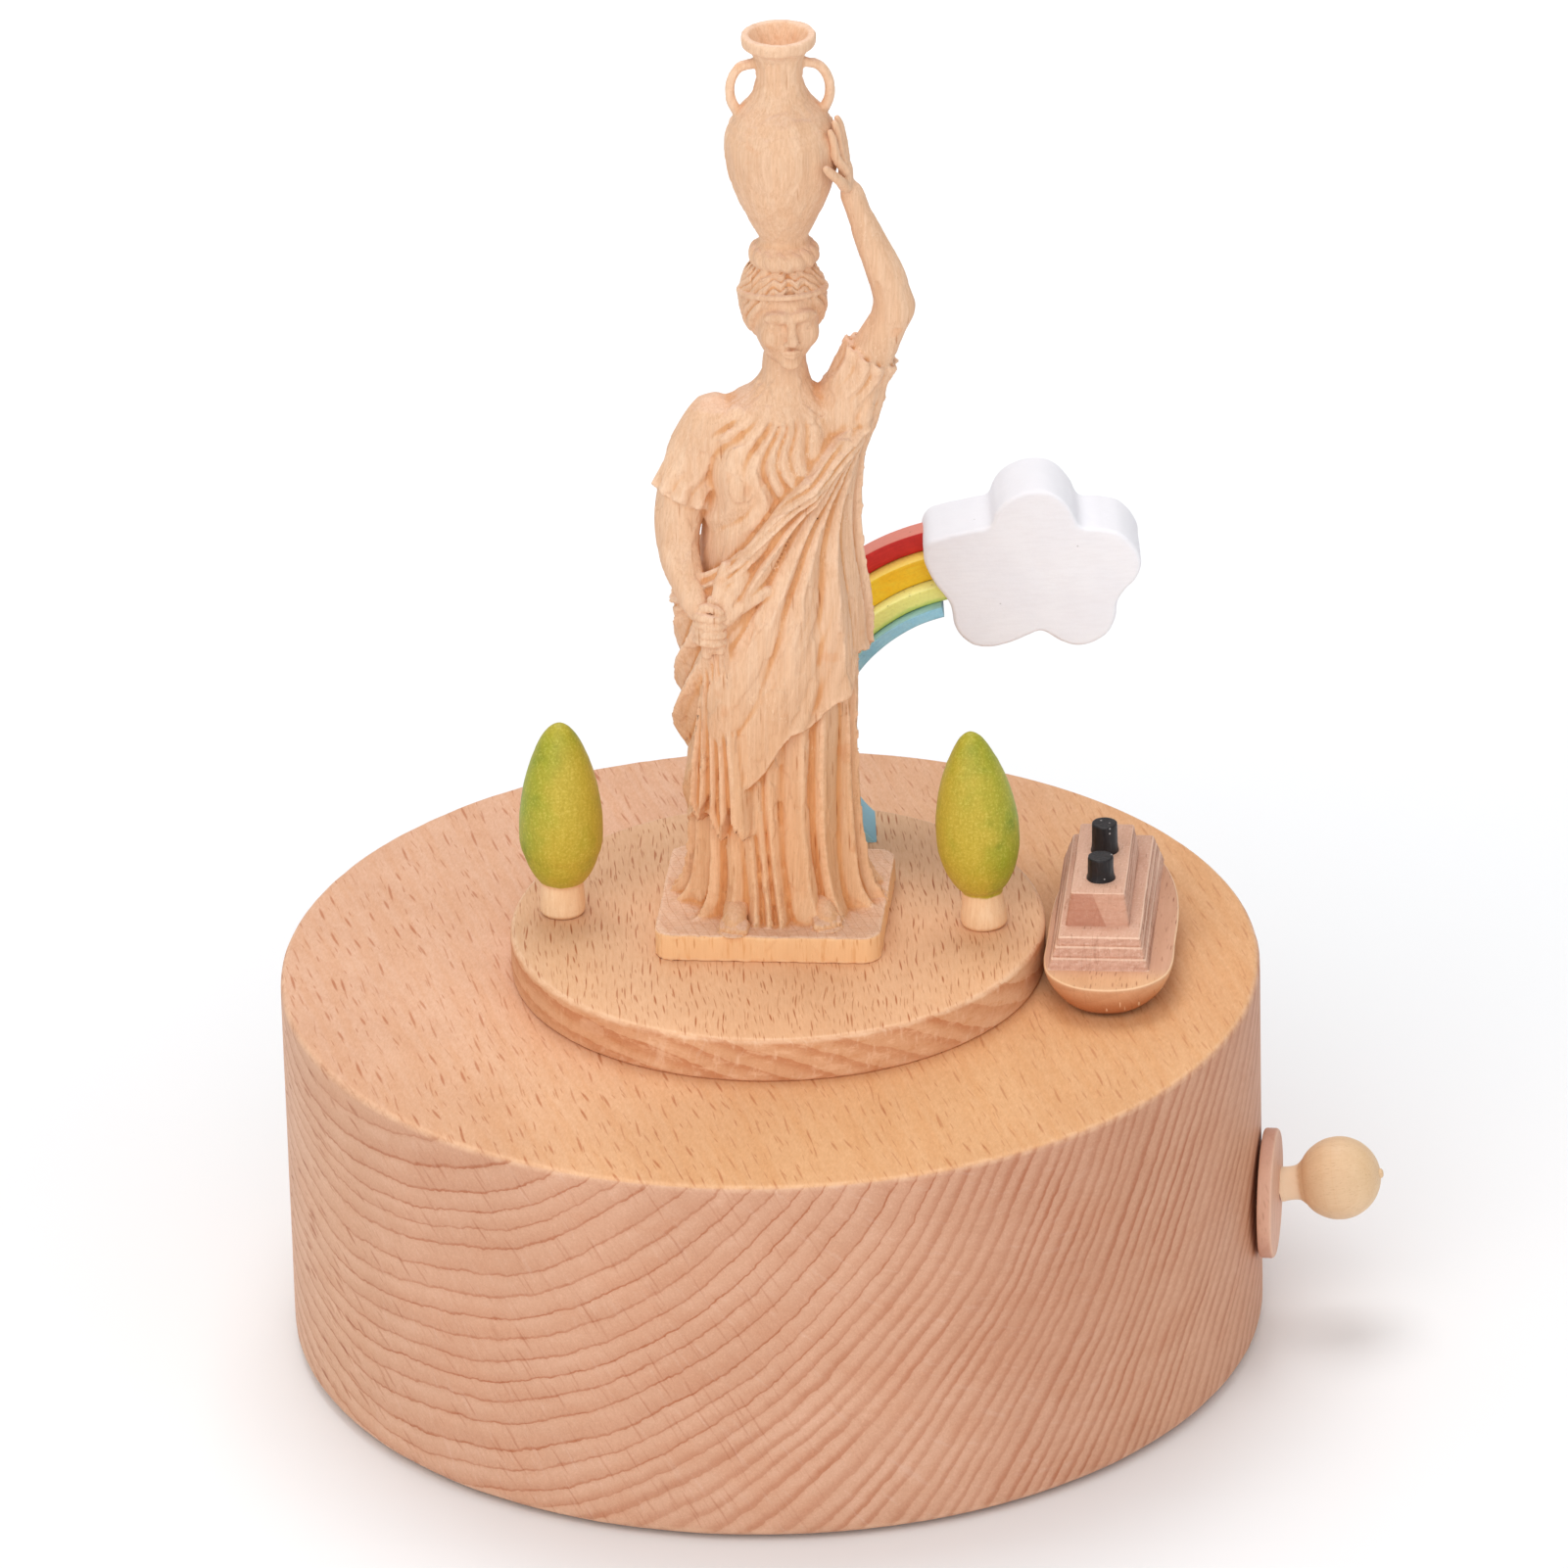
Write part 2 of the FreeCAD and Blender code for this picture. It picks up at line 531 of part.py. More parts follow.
keep("bracket_screw", local(screw(0.9, BED_T + 1.6, 1.8, 1.0, br_n0 - 2.5, 0, bed_z1 + 1.6)))

# lower bearing bush with a closed foot, pressed in the bedplate
foot_bush = cyl(ARBOR_R + 0.75, bed_z1 + 0.8 - bed_z0, AX_N, WORM_CD, bed_z0)
foot_bush = foot_bush.fuse(cyl(2.9, 0.8, AX_N, WORM_CD, bed_z1))
foot_bush = foot_bush.cut(cyl(ARBOR_R + RUN, 10, AX_N, WORM_CD, bed_z0 + 0.6))
keep("arbor_bush", local(one(foot_bush)))

pil = []
for n, t in PILLARS:
    p = cyl(2.2, PLATE_Z0 - bed_z1, n, t, bed_z1).fuse(cyl(1.2, BED_T, n, t, bed_z0))
    p = p.cut(cyl(0.9, 6, n, t, PLATE_Z0 - 5))
    pil.append(one(p))
keep("pillars", local(Part.makeCompound(pil)))
pts = PILLARS
plate = None
for n, t in PILLARS:
    c = cyl(4.2, PLATE_Z1 - PLATE_Z0, n, t, PLATE_Z0)
    plate = c if plate is None else plate.fuse(c)


def strip(a, b, w):
    dx, dy = b[0] - a[0], b[1] - a[1]
    L = math.hypot(dx, dy)
    px, py = -dy / L * w, dx / L * w
    return poly_face([(a[0] + px, a[1] + py, PLATE_Z0), (b[0] + px, b[1] + py, PLATE_Z0),
                      (b[0] - px, b[1] - py, PLATE_Z0), (a[0] - px, a[1] - py, PLATE_Z0)]
                     ).extrude(V(0, 0, PLATE_Z1 - PLATE_Z0))


plate = plate.fuse(strip(PILLARS[0], PILLARS[1], 4.2)).fuse(strip(PILLARS[0], PILLARS[2], 4.2))
plate = plate.fuse(strip(PILLARS[1], PILLARS[2], 4.2))
plate = plate.fuse(poly_face([(n, t, PLATE_Z0) for n, t in PILLARS]).extrude(
    V(0, 0, PLATE_Z1 - PLATE_Z0)))
plate = one(plate)
for n, t in PILLARS:
    plate = plate.cut(cyl(1.0, 10, n, t, PLATE_Z0 - 1))
plate = plate.cut(cyl(ARBOR_R + RUN, 10, AX_N, WORM_CD, PLATE_Z0 - 1))
plate = plate.cut(cyl(1.5, 10, AX_N, 0, PLATE_Z0 - 1))
keep("top_plate", local(plate))
keep("pillar_screws", local(Part.makeCompound(
    [screw(0.9, 4.6, 1.9, 1.0, n, t, PLATE_Z1) for n, t in PILLARS])))

# cylinder group on its arbor
keep("cylinder_arbor", local(cyl(ARBOR_R, 35.3 - (bed_z0 + 0.65), AX_N, WORM_CD, bed_z0 + 0.65)))
WH0, WH1 = CRANK_Z - 0.9, CRANK_Z + 0.9
turn = math.radians(-90) + math.pi / WHEEL_Z          # a gap faces the worm
wheel = spur(WHEEL_Z, MODULE, 0.76, 0.5, 0.62, AX_N, WORM_CD, WH0, WH1 - WH0, turn)
wheel = wheel.fuse(cyl(2.4, 3.2, AX_N, WORM_CD, WH0 - 1.4)).cut(
    cyl(ARBOR_R, 20, AX_N, WORM_CD, 5))
keep("worm_wheel", local(one(wheel)))
sleeve = cyl(CYL_R, CYL_Z1 - CYL_Z0, AX_N, WORM_CD, CYL_Z0).cut(
    cyl(CYL_R - 0.8, 40, AX_N, WORM_CD, 0))
caps = []
for z0 in (CYL_Z0, CYL_Z1 - 1.4):
    caps.append(cyl(CYL_R - 0.8, 1.4, AX_N, WORM_CD, z0).cut(
        cyl(ARBOR_R, 40, AX_N, WORM_CD, 0)))
keep("cylinder_caps", local(Part.makeCompound(caps)))
pins = []
z_first = (CYL_Z0 + CYL_Z1) / 2.0 - NOTE_PITCH * (NOTES - 1) / 2.0
for i in range(NOTES):
    for j in range(4):
        a = math.radians((i * 47 + j * 97 + (i * j * 13) % 29) % 360)
        d = (math.cos(a), math.sin(a), 0)
        pins.append(cyl(PIN_R, PIN_TOP - CYL_R + 0.35, AX_N + (CYL_R - 0.35) * d[0],
                        WORM_CD + (CYL_R - 0.35) * d[1], z_first + i * NOTE_PITCH, d))
keep("cylinder_pins", local(Part.makeCompound(pins)))
keep("cylinder_sleeve", local(sleeve.cut(pins)))
keep("cylinder_pinion", local(spur(
    PINION_Z, MODULE, 0.84, 0.46, 0.62, AX_N, WORM_CD, PLATE_Z1 + 0.35, 1.6,
    math.radians(-90)).cut(cyl(ARBOR_R, 20, AX_N, WORM_CD, 25))))

# comb and its block
tip_t = WORM_CD + PIN_TOP + 0.15
root_t = tip_t + 8.0
end_t = tip_t + 14.0
zc0 = z_first - NOTE_PITCH / 2.0
pts = [(end_t, zc0 - 0.3), (root_t, zc0 - 0.3)]
for i in range(NOTES):
    zc = z_first + i * NOTE_PITCH
    pts += [(root_t, zc - 0.22), (tip_t, zc - 0.15), (tip_t, zc + 0.15), (root_t, zc + 0.22)]
zc1 = z_first + (NOTES - 1) * NOTE_PITCH + NOTE_PITCH / 2.0
pts += [(root_t, zc1 + 0.3), (end_t, zc1 + 0.3)]
comb = poly_face([(0.5, t, z) for t, z in pts]).extrude(V(COMB_T, 0, 0))
COMB_SCREWS = [(end_t - 3.0, z_first + 2.2), (end_t - 3.0, z_first + 9.0)]
for t, z in COMB_SCREWS:
    comb = comb.cut(cyl(1.05, 10, -5, t, z, (1, 0, 0)))
keep("comb", local(comb))
block = box(0.5 + COMB_T, 7.4, end_t - 6.0, end_t + 1.2, bed_z1, zc1 + 0.3)
for t, z in COMB_SCREWS:
    block = block.cut(cyl(0.9, 5.2, 0.4 + COMB_T, t, z, (1, 0, 0)))
for n, t in BLOCK_SCREWS:
    block = block.cut(cyl(1.0, 6.0, n, t, bed_z1 - 1))
keep("comb_block", local(block))
cs = []
for t, z in COMB_SCREWS:
    s = cyl(0.9, COMB_T + 4.8, 0.5, t, z, (1, 0, 0)).fuse(
        cyl(1.9, 1.1, 0.5 - 1.1, t, z, (1, 0, 0)))
    s = s.cut(box(-2.0, 0.5 - 0.6, t - 3, t + 3, z - 0.22, z + 0.22))
    cs.append(s)
keep("comb_screws", local(Part.makeCompound(cs)))
keep("block_screws", local(Part.makeCompound(
    [cyl(1.0, BED_T + 4.6, n, t, bed_z0) for n, t in BLOCK_SCREWS])))

# the arm that carries the magnet round under the top
post_top = 37.5
post = cyl(1.5, post_top - PLATE_Z0, AX_N, 0, PLATE_Z0)
post = post.cut(cyl(0.7, 4.0, AX_N, 0, post_top - 3.6))
keep("arm_post", local(post))
washer = cyl(2.9, 0.3, AX_N, 0, PLATE_Z1).cut(cyl(1.5, 5, AX_N, 0, PLATE_Z1 - 1))
keep("arm_washer", local(washer))
gear_turn = math.radians(90) + math.pi / PINION_Z
ag = spur(PINION_Z, MODULE, 0.84, 0.46, 0.62, AX_N, 0, PLATE_Z1 + 0.35, 1.6, gear_turn)
ag = ag.fuse(cyl(3.3, ARM_Z - (PLATE_Z1 + 1.95), AX_N, 0, PLATE_Z1 + 1.95))
ag = ag.fuse(cyl(2.8, post_top - 0.15 - ARM_Z, AX_N, 0, ARM_Z)).cut(
    cyl(1.5 + RUN, 20, AX_N, 0, 30))
keep("arm_gear", local(one(ag)))

mag_r = math.hypot(BOAT_DIST, MAGNET_S)
mag_az = BOAT_AZ + math.degrees(math.atan2(MAGNET_S, BOAT_DIST))
arm = Part.makeBox(mag_r, 6.0, 1.0, V(0, -3.0, 0)).fuse(cyl(5.2, 1.0, mag_r, 0, 0)).fuse(
    cyl(4.6, 1.0))
arm = arm.fuse(Part.makeBox(8.0, 3.6, 1.0, V(-11.0, -1.8, 0))).fuse(cyl(4.4, 1.0, -13.0, 0, 0))
arm = arm.fuse(cyl(5.2, 2.2, mag_r, 0, 1.0).cut(cyl(4.0, 5, mag_r, 0, 1.0)))
arm = arm.cut(cyl(2.8, 5, 0, 0, -1))
arm = one(arm)
arm.rotate(V(0, 0, 0), V(0, 0, 1), mag_az)
arm.translate(V(P0[0], P0[1], ARM_Z))
keep("magnet_arm", arm)
mxy = (P0[0] + mag_r * math.cos(math.radians(mag_az)), P0[1] + mag_r * math.sin(math.radians(mag_az)))
keep("arm_magnet", cyl(4.0, 3.0, mxy[0], mxy[1], ARM_Z + 1.0))
ret = cyl(0.7, 3.4, AX_N, 0, post_top - 3.4).fuse(cyl(2.6, 0.9, AX_N, 0, post_top)).cut(
    box(AX_N - 4, AX_N + 4, -0.25, 0.25, post_top + 0.5, post_top + 3))
keep("arm_screw", local(one(ret)))

# ------------------------------------------------------------------ the boat
# Drawn with its length along +Y, then turned to its place on the track.


def place_boat(s):
    s = s.copy()
    s.translate(V(BOAT_DIST, 0, 0))
    s.rotate(V(0, 0, 0), V(0, 0, 1), BOAT_AZ)
    s.translate(V(P0[0], P0[1], 0))
    return s


hw = BOAT_HALF
half_pts = [(0, -14.6), (3.1, -14.0), (5.2, -12.5), (6.65, -10.3), (hw, -7.4), (hw, -2.0),
            (hw, 4.0), (6.9, 9.0), (6.1, 13.6), (4.8, 17.8), (2.9, 21.2)]
outline = half_pts + [(0, 22.9)] + [(-x, y) for x, y in reversed(half_pts[1:])]
bs = Part.BSplineCurve()
bs.interpolate(Points=[V(x, y, 0) for x, y in outline], PeriodicFlag=True)
hull_face = Part.Face(Part.Wire(bs.toShape()))
hull = hull_face.extrude(V(0, 0, HULL_Z1 - HULL_Z0))
hull.translate(V(0, 0, HULL_Z0))
low = [e for e in hull.Edges if abs(e.BoundBox.ZMax - HULL_Z0) < 1e-4]
h2 = hull.makeFillet(1.8, low)
if h2.isValid():
    hull = h2
up = [e for e in hull.Edges if abs(e.BoundBox.ZMin - HULL_Z1) < 1e-4]
h2 = hull.makeFillet(0.35, up)
if h2.isValid():
    hull = h2
hull = hull.cut(cyl(4.0, 2.5, 0, MAGNET_S, HULL_Z0 - 0.5))
keep("boat_hull", place_boat(hull))
keep("boat_magnet", place_boat(cyl(4.0, 2.0, 0, MAGNET_S, HULL_Z0)))
keep("boat_glide_pad", place_boat(cyl(5.0, 0.36, 0, MAGNET_S, HULL_Z0 - 0.36)))


def frustum(x0, x1, y0, y1, z0, X0, X1, Y0, Y1, z1, round_r):
    w0 = Part.makePolygon([V(x0, y0, z0), V(x1, y0, z0), V(x1, y1, z0), V(x0, y1, z0), V(x0, y0, z0)])
    w1 = Part.makePolygon([V(X0, Y0, z1), V(X1, Y0, z1), V(X1, Y1, z1), V(X0, Y1, z1), V(X0, Y0, z1)])
    s = Part.makeLoft([w0, w1], True, True)
    es = [e for e in s.Edges if e.BoundBox.ZMax > z0 + 0.01]
    try:
        f = s.makeFillet(round_r, es)
        if f.isValid():
            return f
    except Exception as ex:
        print("frustum left sharp", ex)
    return s


C1 = -0.95
keep("boat_lower_cabin", place_boat(frustum(
    C1 - 5.7, C1 + 5.7, -9.9, 18.9, HULL_Z1,
    C1 - 4.5, C1 + 4.6, -8.5, 17.7, HULL_Z1 + 3.5, 0.28)))
C2 = -1.25
z2 = HULL_Z1 + 3.5
keep("boat_upper_cabin", place_boat(frustum(
    C2 - 3.6, C2 + 3.6, -5.85, 13.3, z2,
    C2 - 3.0, C2 + 3.05, -5.2, 12.6, z2 + 3.8, 0.22)))
z3 = z2 + 3.8


def funnel(y, h):
    f = turned((0, 0), [(1.62, 0), (1.5, 0.5), (1.45, h - 0.15), (1.32, h), (0, h)])
    f.translate(V(C2 + 0.15, y, z3))
    return f


keep("boat_funnels", place_boat(Part.makeCompound([funnel(-1.15, 2.75), funnel(5.8, 3.5)])))

# --------------------------------------------------------------------- write
os.makedirs("parts", exist_ok=True)
for name in sorted(OUT):
    s = OUT[name]
    n = len(s.Solids)
    if not s.isValid() or n < 1:
        print("CHECK", name, "valid", s.isValid(), "solids", n)
    s.exportStep("parts/%s.step" % name)
print("nodes", len(OUT))
print("P0 %.4f %.4f  Q0 %.4f %.4f  crank point z %.3f" % (P0[0], P0[1], Q0[0], Q0[1], CRANK_Z + FELT_T))
a = math.radians(CRANK_AZ)
print("crank axis %.6f %.6f" % (math.cos(a), math.sin(a)))
allb = None
for s in OUT.values():
    b = s.BoundBox
    allb = b if allb is None else allb.united(b)
print("box", allb)
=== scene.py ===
import bpy
import json
import math
import numpy as np
from mathutils import Matrix, Vector


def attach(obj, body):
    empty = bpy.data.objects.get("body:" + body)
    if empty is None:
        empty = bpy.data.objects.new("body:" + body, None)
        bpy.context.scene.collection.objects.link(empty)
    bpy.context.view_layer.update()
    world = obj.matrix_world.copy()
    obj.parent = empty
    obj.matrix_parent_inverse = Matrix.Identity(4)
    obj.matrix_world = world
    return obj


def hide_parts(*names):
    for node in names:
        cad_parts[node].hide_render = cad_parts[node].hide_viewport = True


# Hand-cranked wooden music box.  Dimensions below are in millimetres with z
# measured from the drum's underside; FELT is the felt below it.

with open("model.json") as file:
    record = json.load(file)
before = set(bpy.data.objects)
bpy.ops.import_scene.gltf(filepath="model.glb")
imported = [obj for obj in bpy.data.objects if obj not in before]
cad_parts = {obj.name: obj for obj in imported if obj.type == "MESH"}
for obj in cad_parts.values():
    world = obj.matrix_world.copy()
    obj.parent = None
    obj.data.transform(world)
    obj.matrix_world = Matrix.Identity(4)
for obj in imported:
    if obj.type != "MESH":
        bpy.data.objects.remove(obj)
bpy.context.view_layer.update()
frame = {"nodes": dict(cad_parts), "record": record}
NODES = frame["nodes"]

FELT = 0.6
DRUM_R, DRUM_H = 55.0, 43.6
PLAT_R, PLAT_T = 30.0, 5.3
TOP = DRUM_H + PLAT_T
AZ = math.radians(-8.5)
NC = np.array([math.cos(AZ), math.sin(AZ), 0.0])
TC = np.array([-math.sin(AZ), math.cos(AZ), 0.0])
P0 = NC[:2] * 1.0
CRANK_Z = 16.7
BOAT_DIST, BOAT_AZ = 37.55, math.radians(-5.9)
HULL_Z0, HULL_Z1 = DRUM_H + 0.42, 48.0


# ------------------------------------------------------------------- meshes
def to_object(name, verts, faces, smooth=True, sharp=None, z_up=FELT):
    v = np.asarray(verts, np.float64).copy()
    v[:, 2] += z_up
    v = (v * 0.001).astype(np.float32)
    me = bpy.data.meshes.new(name)
    if isinstance(faces, np.ndarray) and faces.ndim == 2:
        n, k = faces.shape
        me.vertices.add(len(v))
        me.vertices.foreach_set("co", v.ravel())
        me.loops.add(n * k)
        me.loops.foreach_set("vertex_index", faces.astype(np.int32).ravel())
        me.polygons.add(n)
        me.polygons.foreach_set("loop_start", np.arange(0, n * k, k, dtype=np.int32))
        me.polygons.foreach_set("loop_total", np.full(n, k, np.int32))
        me.update(calc_edges=True)
        me.validate()
    else:
        me.from_pydata([tuple(float(c) for c in p) for p in v], [], [tuple(int(i) for i in f) for f in faces])
        me.validate()
        me.update()
    o = bpy.data.objects.new(name, me)
    bpy.context.scene.collection.objects.link(o)
    if smooth:
        me.polygons.foreach_set("use_smooth", [True] * len(me.polygons))
    if sharp is not None:
        me.set_sharp_from_angle(angle=math.radians(sharp))
    return o


def outward(verts, faces):
    """Turn every face round if the closed mesh encloses a negative volume."""
    v = np.asarray(verts, float)
    if isinstance(faces, np.ndarray):
        tris = np.vstack([faces[:, [0, i, i + 1]] for i in range(1, faces.shape[1] - 1)])
    else:
        tris = np.array([(f[0], f[i], f[i + 1]) for f in faces for i in range(1, len(f) - 1)])
    a, b, c = v[tris[:, 0]], v[tris[:, 1]], v[tris[:, 2]]
    if np.einsum("ij,ij->i", a, np.cross(b, c)).sum() < 0:
        return faces[:, ::-1].copy() if isinstance(faces, np.ndarray) else [tuple(reversed(f)) for f in faces]
    return faces


def lathe(profile, seg=256, wobble=None):
    """Closed profile of (r, z), first and last on the axis.  Returns verts, faces."""
    p = np.asarray(profile, float)
    a = np.linspace(0, 2 * np.pi, seg, endpoint=False)
    on = p[:, 0] < 1e-9
    verts, rows = [], []
    for i, (r, z) in enumerate(p):
        if on[i]:
            rows.append([len(verts)] * seg)
            verts.append((0.0, 0.0, z))
        else:
            start = len(verts)
            rr = np.full(seg, r)
            zz = np.full(seg, z)
            if wobble is not None:
                rr, zz = wobble(rr, zz, a)
            verts.extend(zip(rr * np.cos(a), rr * np.sin(a), zz))
            rows.append(list(range(start, start + seg)))
    faces = []
    for i in range(len(p) - 1):
        A, B = rows[i], rows[i + 1]
        if on[i] and on[i + 1]:
            continue
        for k in range(seg):
            j = (k + 1) % seg
            if on[i]:
                faces.append((A[0], B[j], B[k]))
            elif on[i + 1]:
                faces.append((A[k], A[j], B[0]))
            else:
                faces.append((A[k], A[j], B[j], B[k]))
    return np.array(verts), faces


def spline(pts, n):
    """Smooth interpolation of a polyline (Catmull-Rom, centripetal)."""
    p = np.asarray(pts, float)
    P = np.vstack([2 * p[0] - p[1], p, 2 * p[-1] - p[-2]])
    out = []
    for i in range(1, len(P) - 2):
        p0, p1, p2, p3 = P[i - 1], P[i], P[i + 1], P[i + 2]
        t0 = 0.0
        t1 = t0 + np.linalg.norm(p1 - p0) ** 0.5 + 1e-9
        t2 = t1 + np.linalg.norm(p2 - p1) ** 0.5 + 1e-9
        t3 = t2 + np.linalg.norm(p3 - p2) ** 0.5 + 1e-9
        for t in np.linspace(t1, t2, n, endpoint=False):
            a1 = (t1 - t) / (t1 - t0) * p0 + (t - t0) / (t1 - t0) * p1
            a2 = (t2 - t) / (t2 - t1) * p1 + (t - t1) / (t2 - t1) * p2
            a3 = (t3 - t) / (t3 - t2) * p2 + (t - t2) / (t3 - t2) * p3
            b1 = (t2 - t) / (t2 - t0) * a1 + (t - t0) / (t2 - t0) * a2
            b2 = (t3 - t) / (t3 - t1) * a2 + (t - t1) / (t3 - t1) * a3
            out.append((t2 - t) / (t2 - t1) * b1 + (t - t1) / (t2 - t1) * b2)
    out.append(p[-1])
    return np.array(out)


def arc(cx, cz, r, a0, a1, n=8):
    t = np.radians(np.linspace(a0, a1, n + 1))
    return [(cx + r * math.cos(x), cz + r * math.sin(x)) for x in t]


def resample(loop, step):
    """Closed polyline at about even steps, keeping its shape."""
    p = np.asarray(loop, float)
    q = np.vstack([p, p[:1]])
    d = np.linalg.norm(np.diff(q, axis=0), axis=1)
    s = np.concatenate([[0], np.cumsum(d)])
    n = max(8, int(round(s[-1] / step)))
    t = np.linspace(0, s[-1], n, endpoint=False)
    return np.stack([np.interp(t, s, q[:, 0]), np.interp(t, s, q[:, 1])], 1)


def loop_normals(p):
    """Outward normals of a counter-clockwise loop."""
    t = np.roll(p, -1, 0) - np.roll(p, 1, 0)
    t /= np.linalg.norm(t, axis=1)[:, None] + 1e-12
    return np.stack([t[:, 1], -t[:, 0]], 1)


def slab(loop, steps, cap_rings=3):
    """Stack of loops: steps is a list of (inset, height); both ends capped.
    Returns verts as (x, y, h) and faces.  The loop is counter-clockwise."""
    p = np.asarray(loop, float)
    nrm = loop_normals(p)
    n = len(p)
    c = p.mean(0)
    verts, faces = [], []
    rings = []
    first = p - nrm * steps[0][0]
    last = p - nrm * steps[-1][0]
    for k in range(cap_rings, 0, -1):
        f = 1.0 - k / (cap_rings + 1.0)
        rings.append(np.c_[c + (first - c) * f, np.full(n, steps[0][1])])
    for ins, h in steps:
        rings.append(np.c_[p - nrm * ins, np.full(n, h)])
    for k in range(1, cap_rings + 1):
        f = 1.0 - k / (cap_rings + 1.0)
        rings.append(np.c_[c + (last - c) * f, np.full(n, steps[-1][1])])
    for r in rings:
        verts.append(r)
    verts = np.vstack(verts)
    m = len(rings)
    for i in range(m - 1):
        for k in range(n):
            j = (k + 1) % n
            faces.append((i * n + k, i * n + j, (i + 1) * n + j, (i + 1) * n + k))
    verts = np.vstack([verts, [[c[0], c[1], steps[0][1]], [c[0], c[1], steps[-1][1]]]])
    b, t = len(verts) - 2, len(verts) - 1
    for k in range(n):
        j = (k + 1) % n
        faces.append((b, j, k))
        faces.append((t, (m - 1) * n + k, (m - 1) * n + j))
    return verts, faces


def hash3(i, j, k, s=0):
    h = np.sin(i * 127.1 + j * 311.7 + k * 74.7 + s * 53.3) * 43758.5453
    return h - np.floor(h)


def vnoise(x, y, z, s=0):
    """Smooth value noise in [-1, 1] on arrays."""
    xi, yi, zi = np.floor(x), np.floor(y), np.floor(z)
    fx, fy, fz = x - xi, y - yi, z - zi
    fx, fy, fz = (f * f * (3 - 2 * f) for f in (fx, fy, fz))
    v = 0
    for a in (0, 1):
        for b in (0, 1):
            for c in (0, 1):
                w = (fx if a else 1 - fx) * (fy if b else 1 - fy) * (fz if c else 1 - fz)
                v = v + w * hash3(xi + a, yi + b, zi + c, s)
    return v * 2 - 1


# ---------------------------------------------------------------- materials
def lin(r, g, b):
    def f(c):
        c = c / 255.0
        return c / 12.92 if c <= 0.04045 else ((c + 0.055) / 1.055) ** 2.4
    return (f(r), f(g), f(b), 1.0)


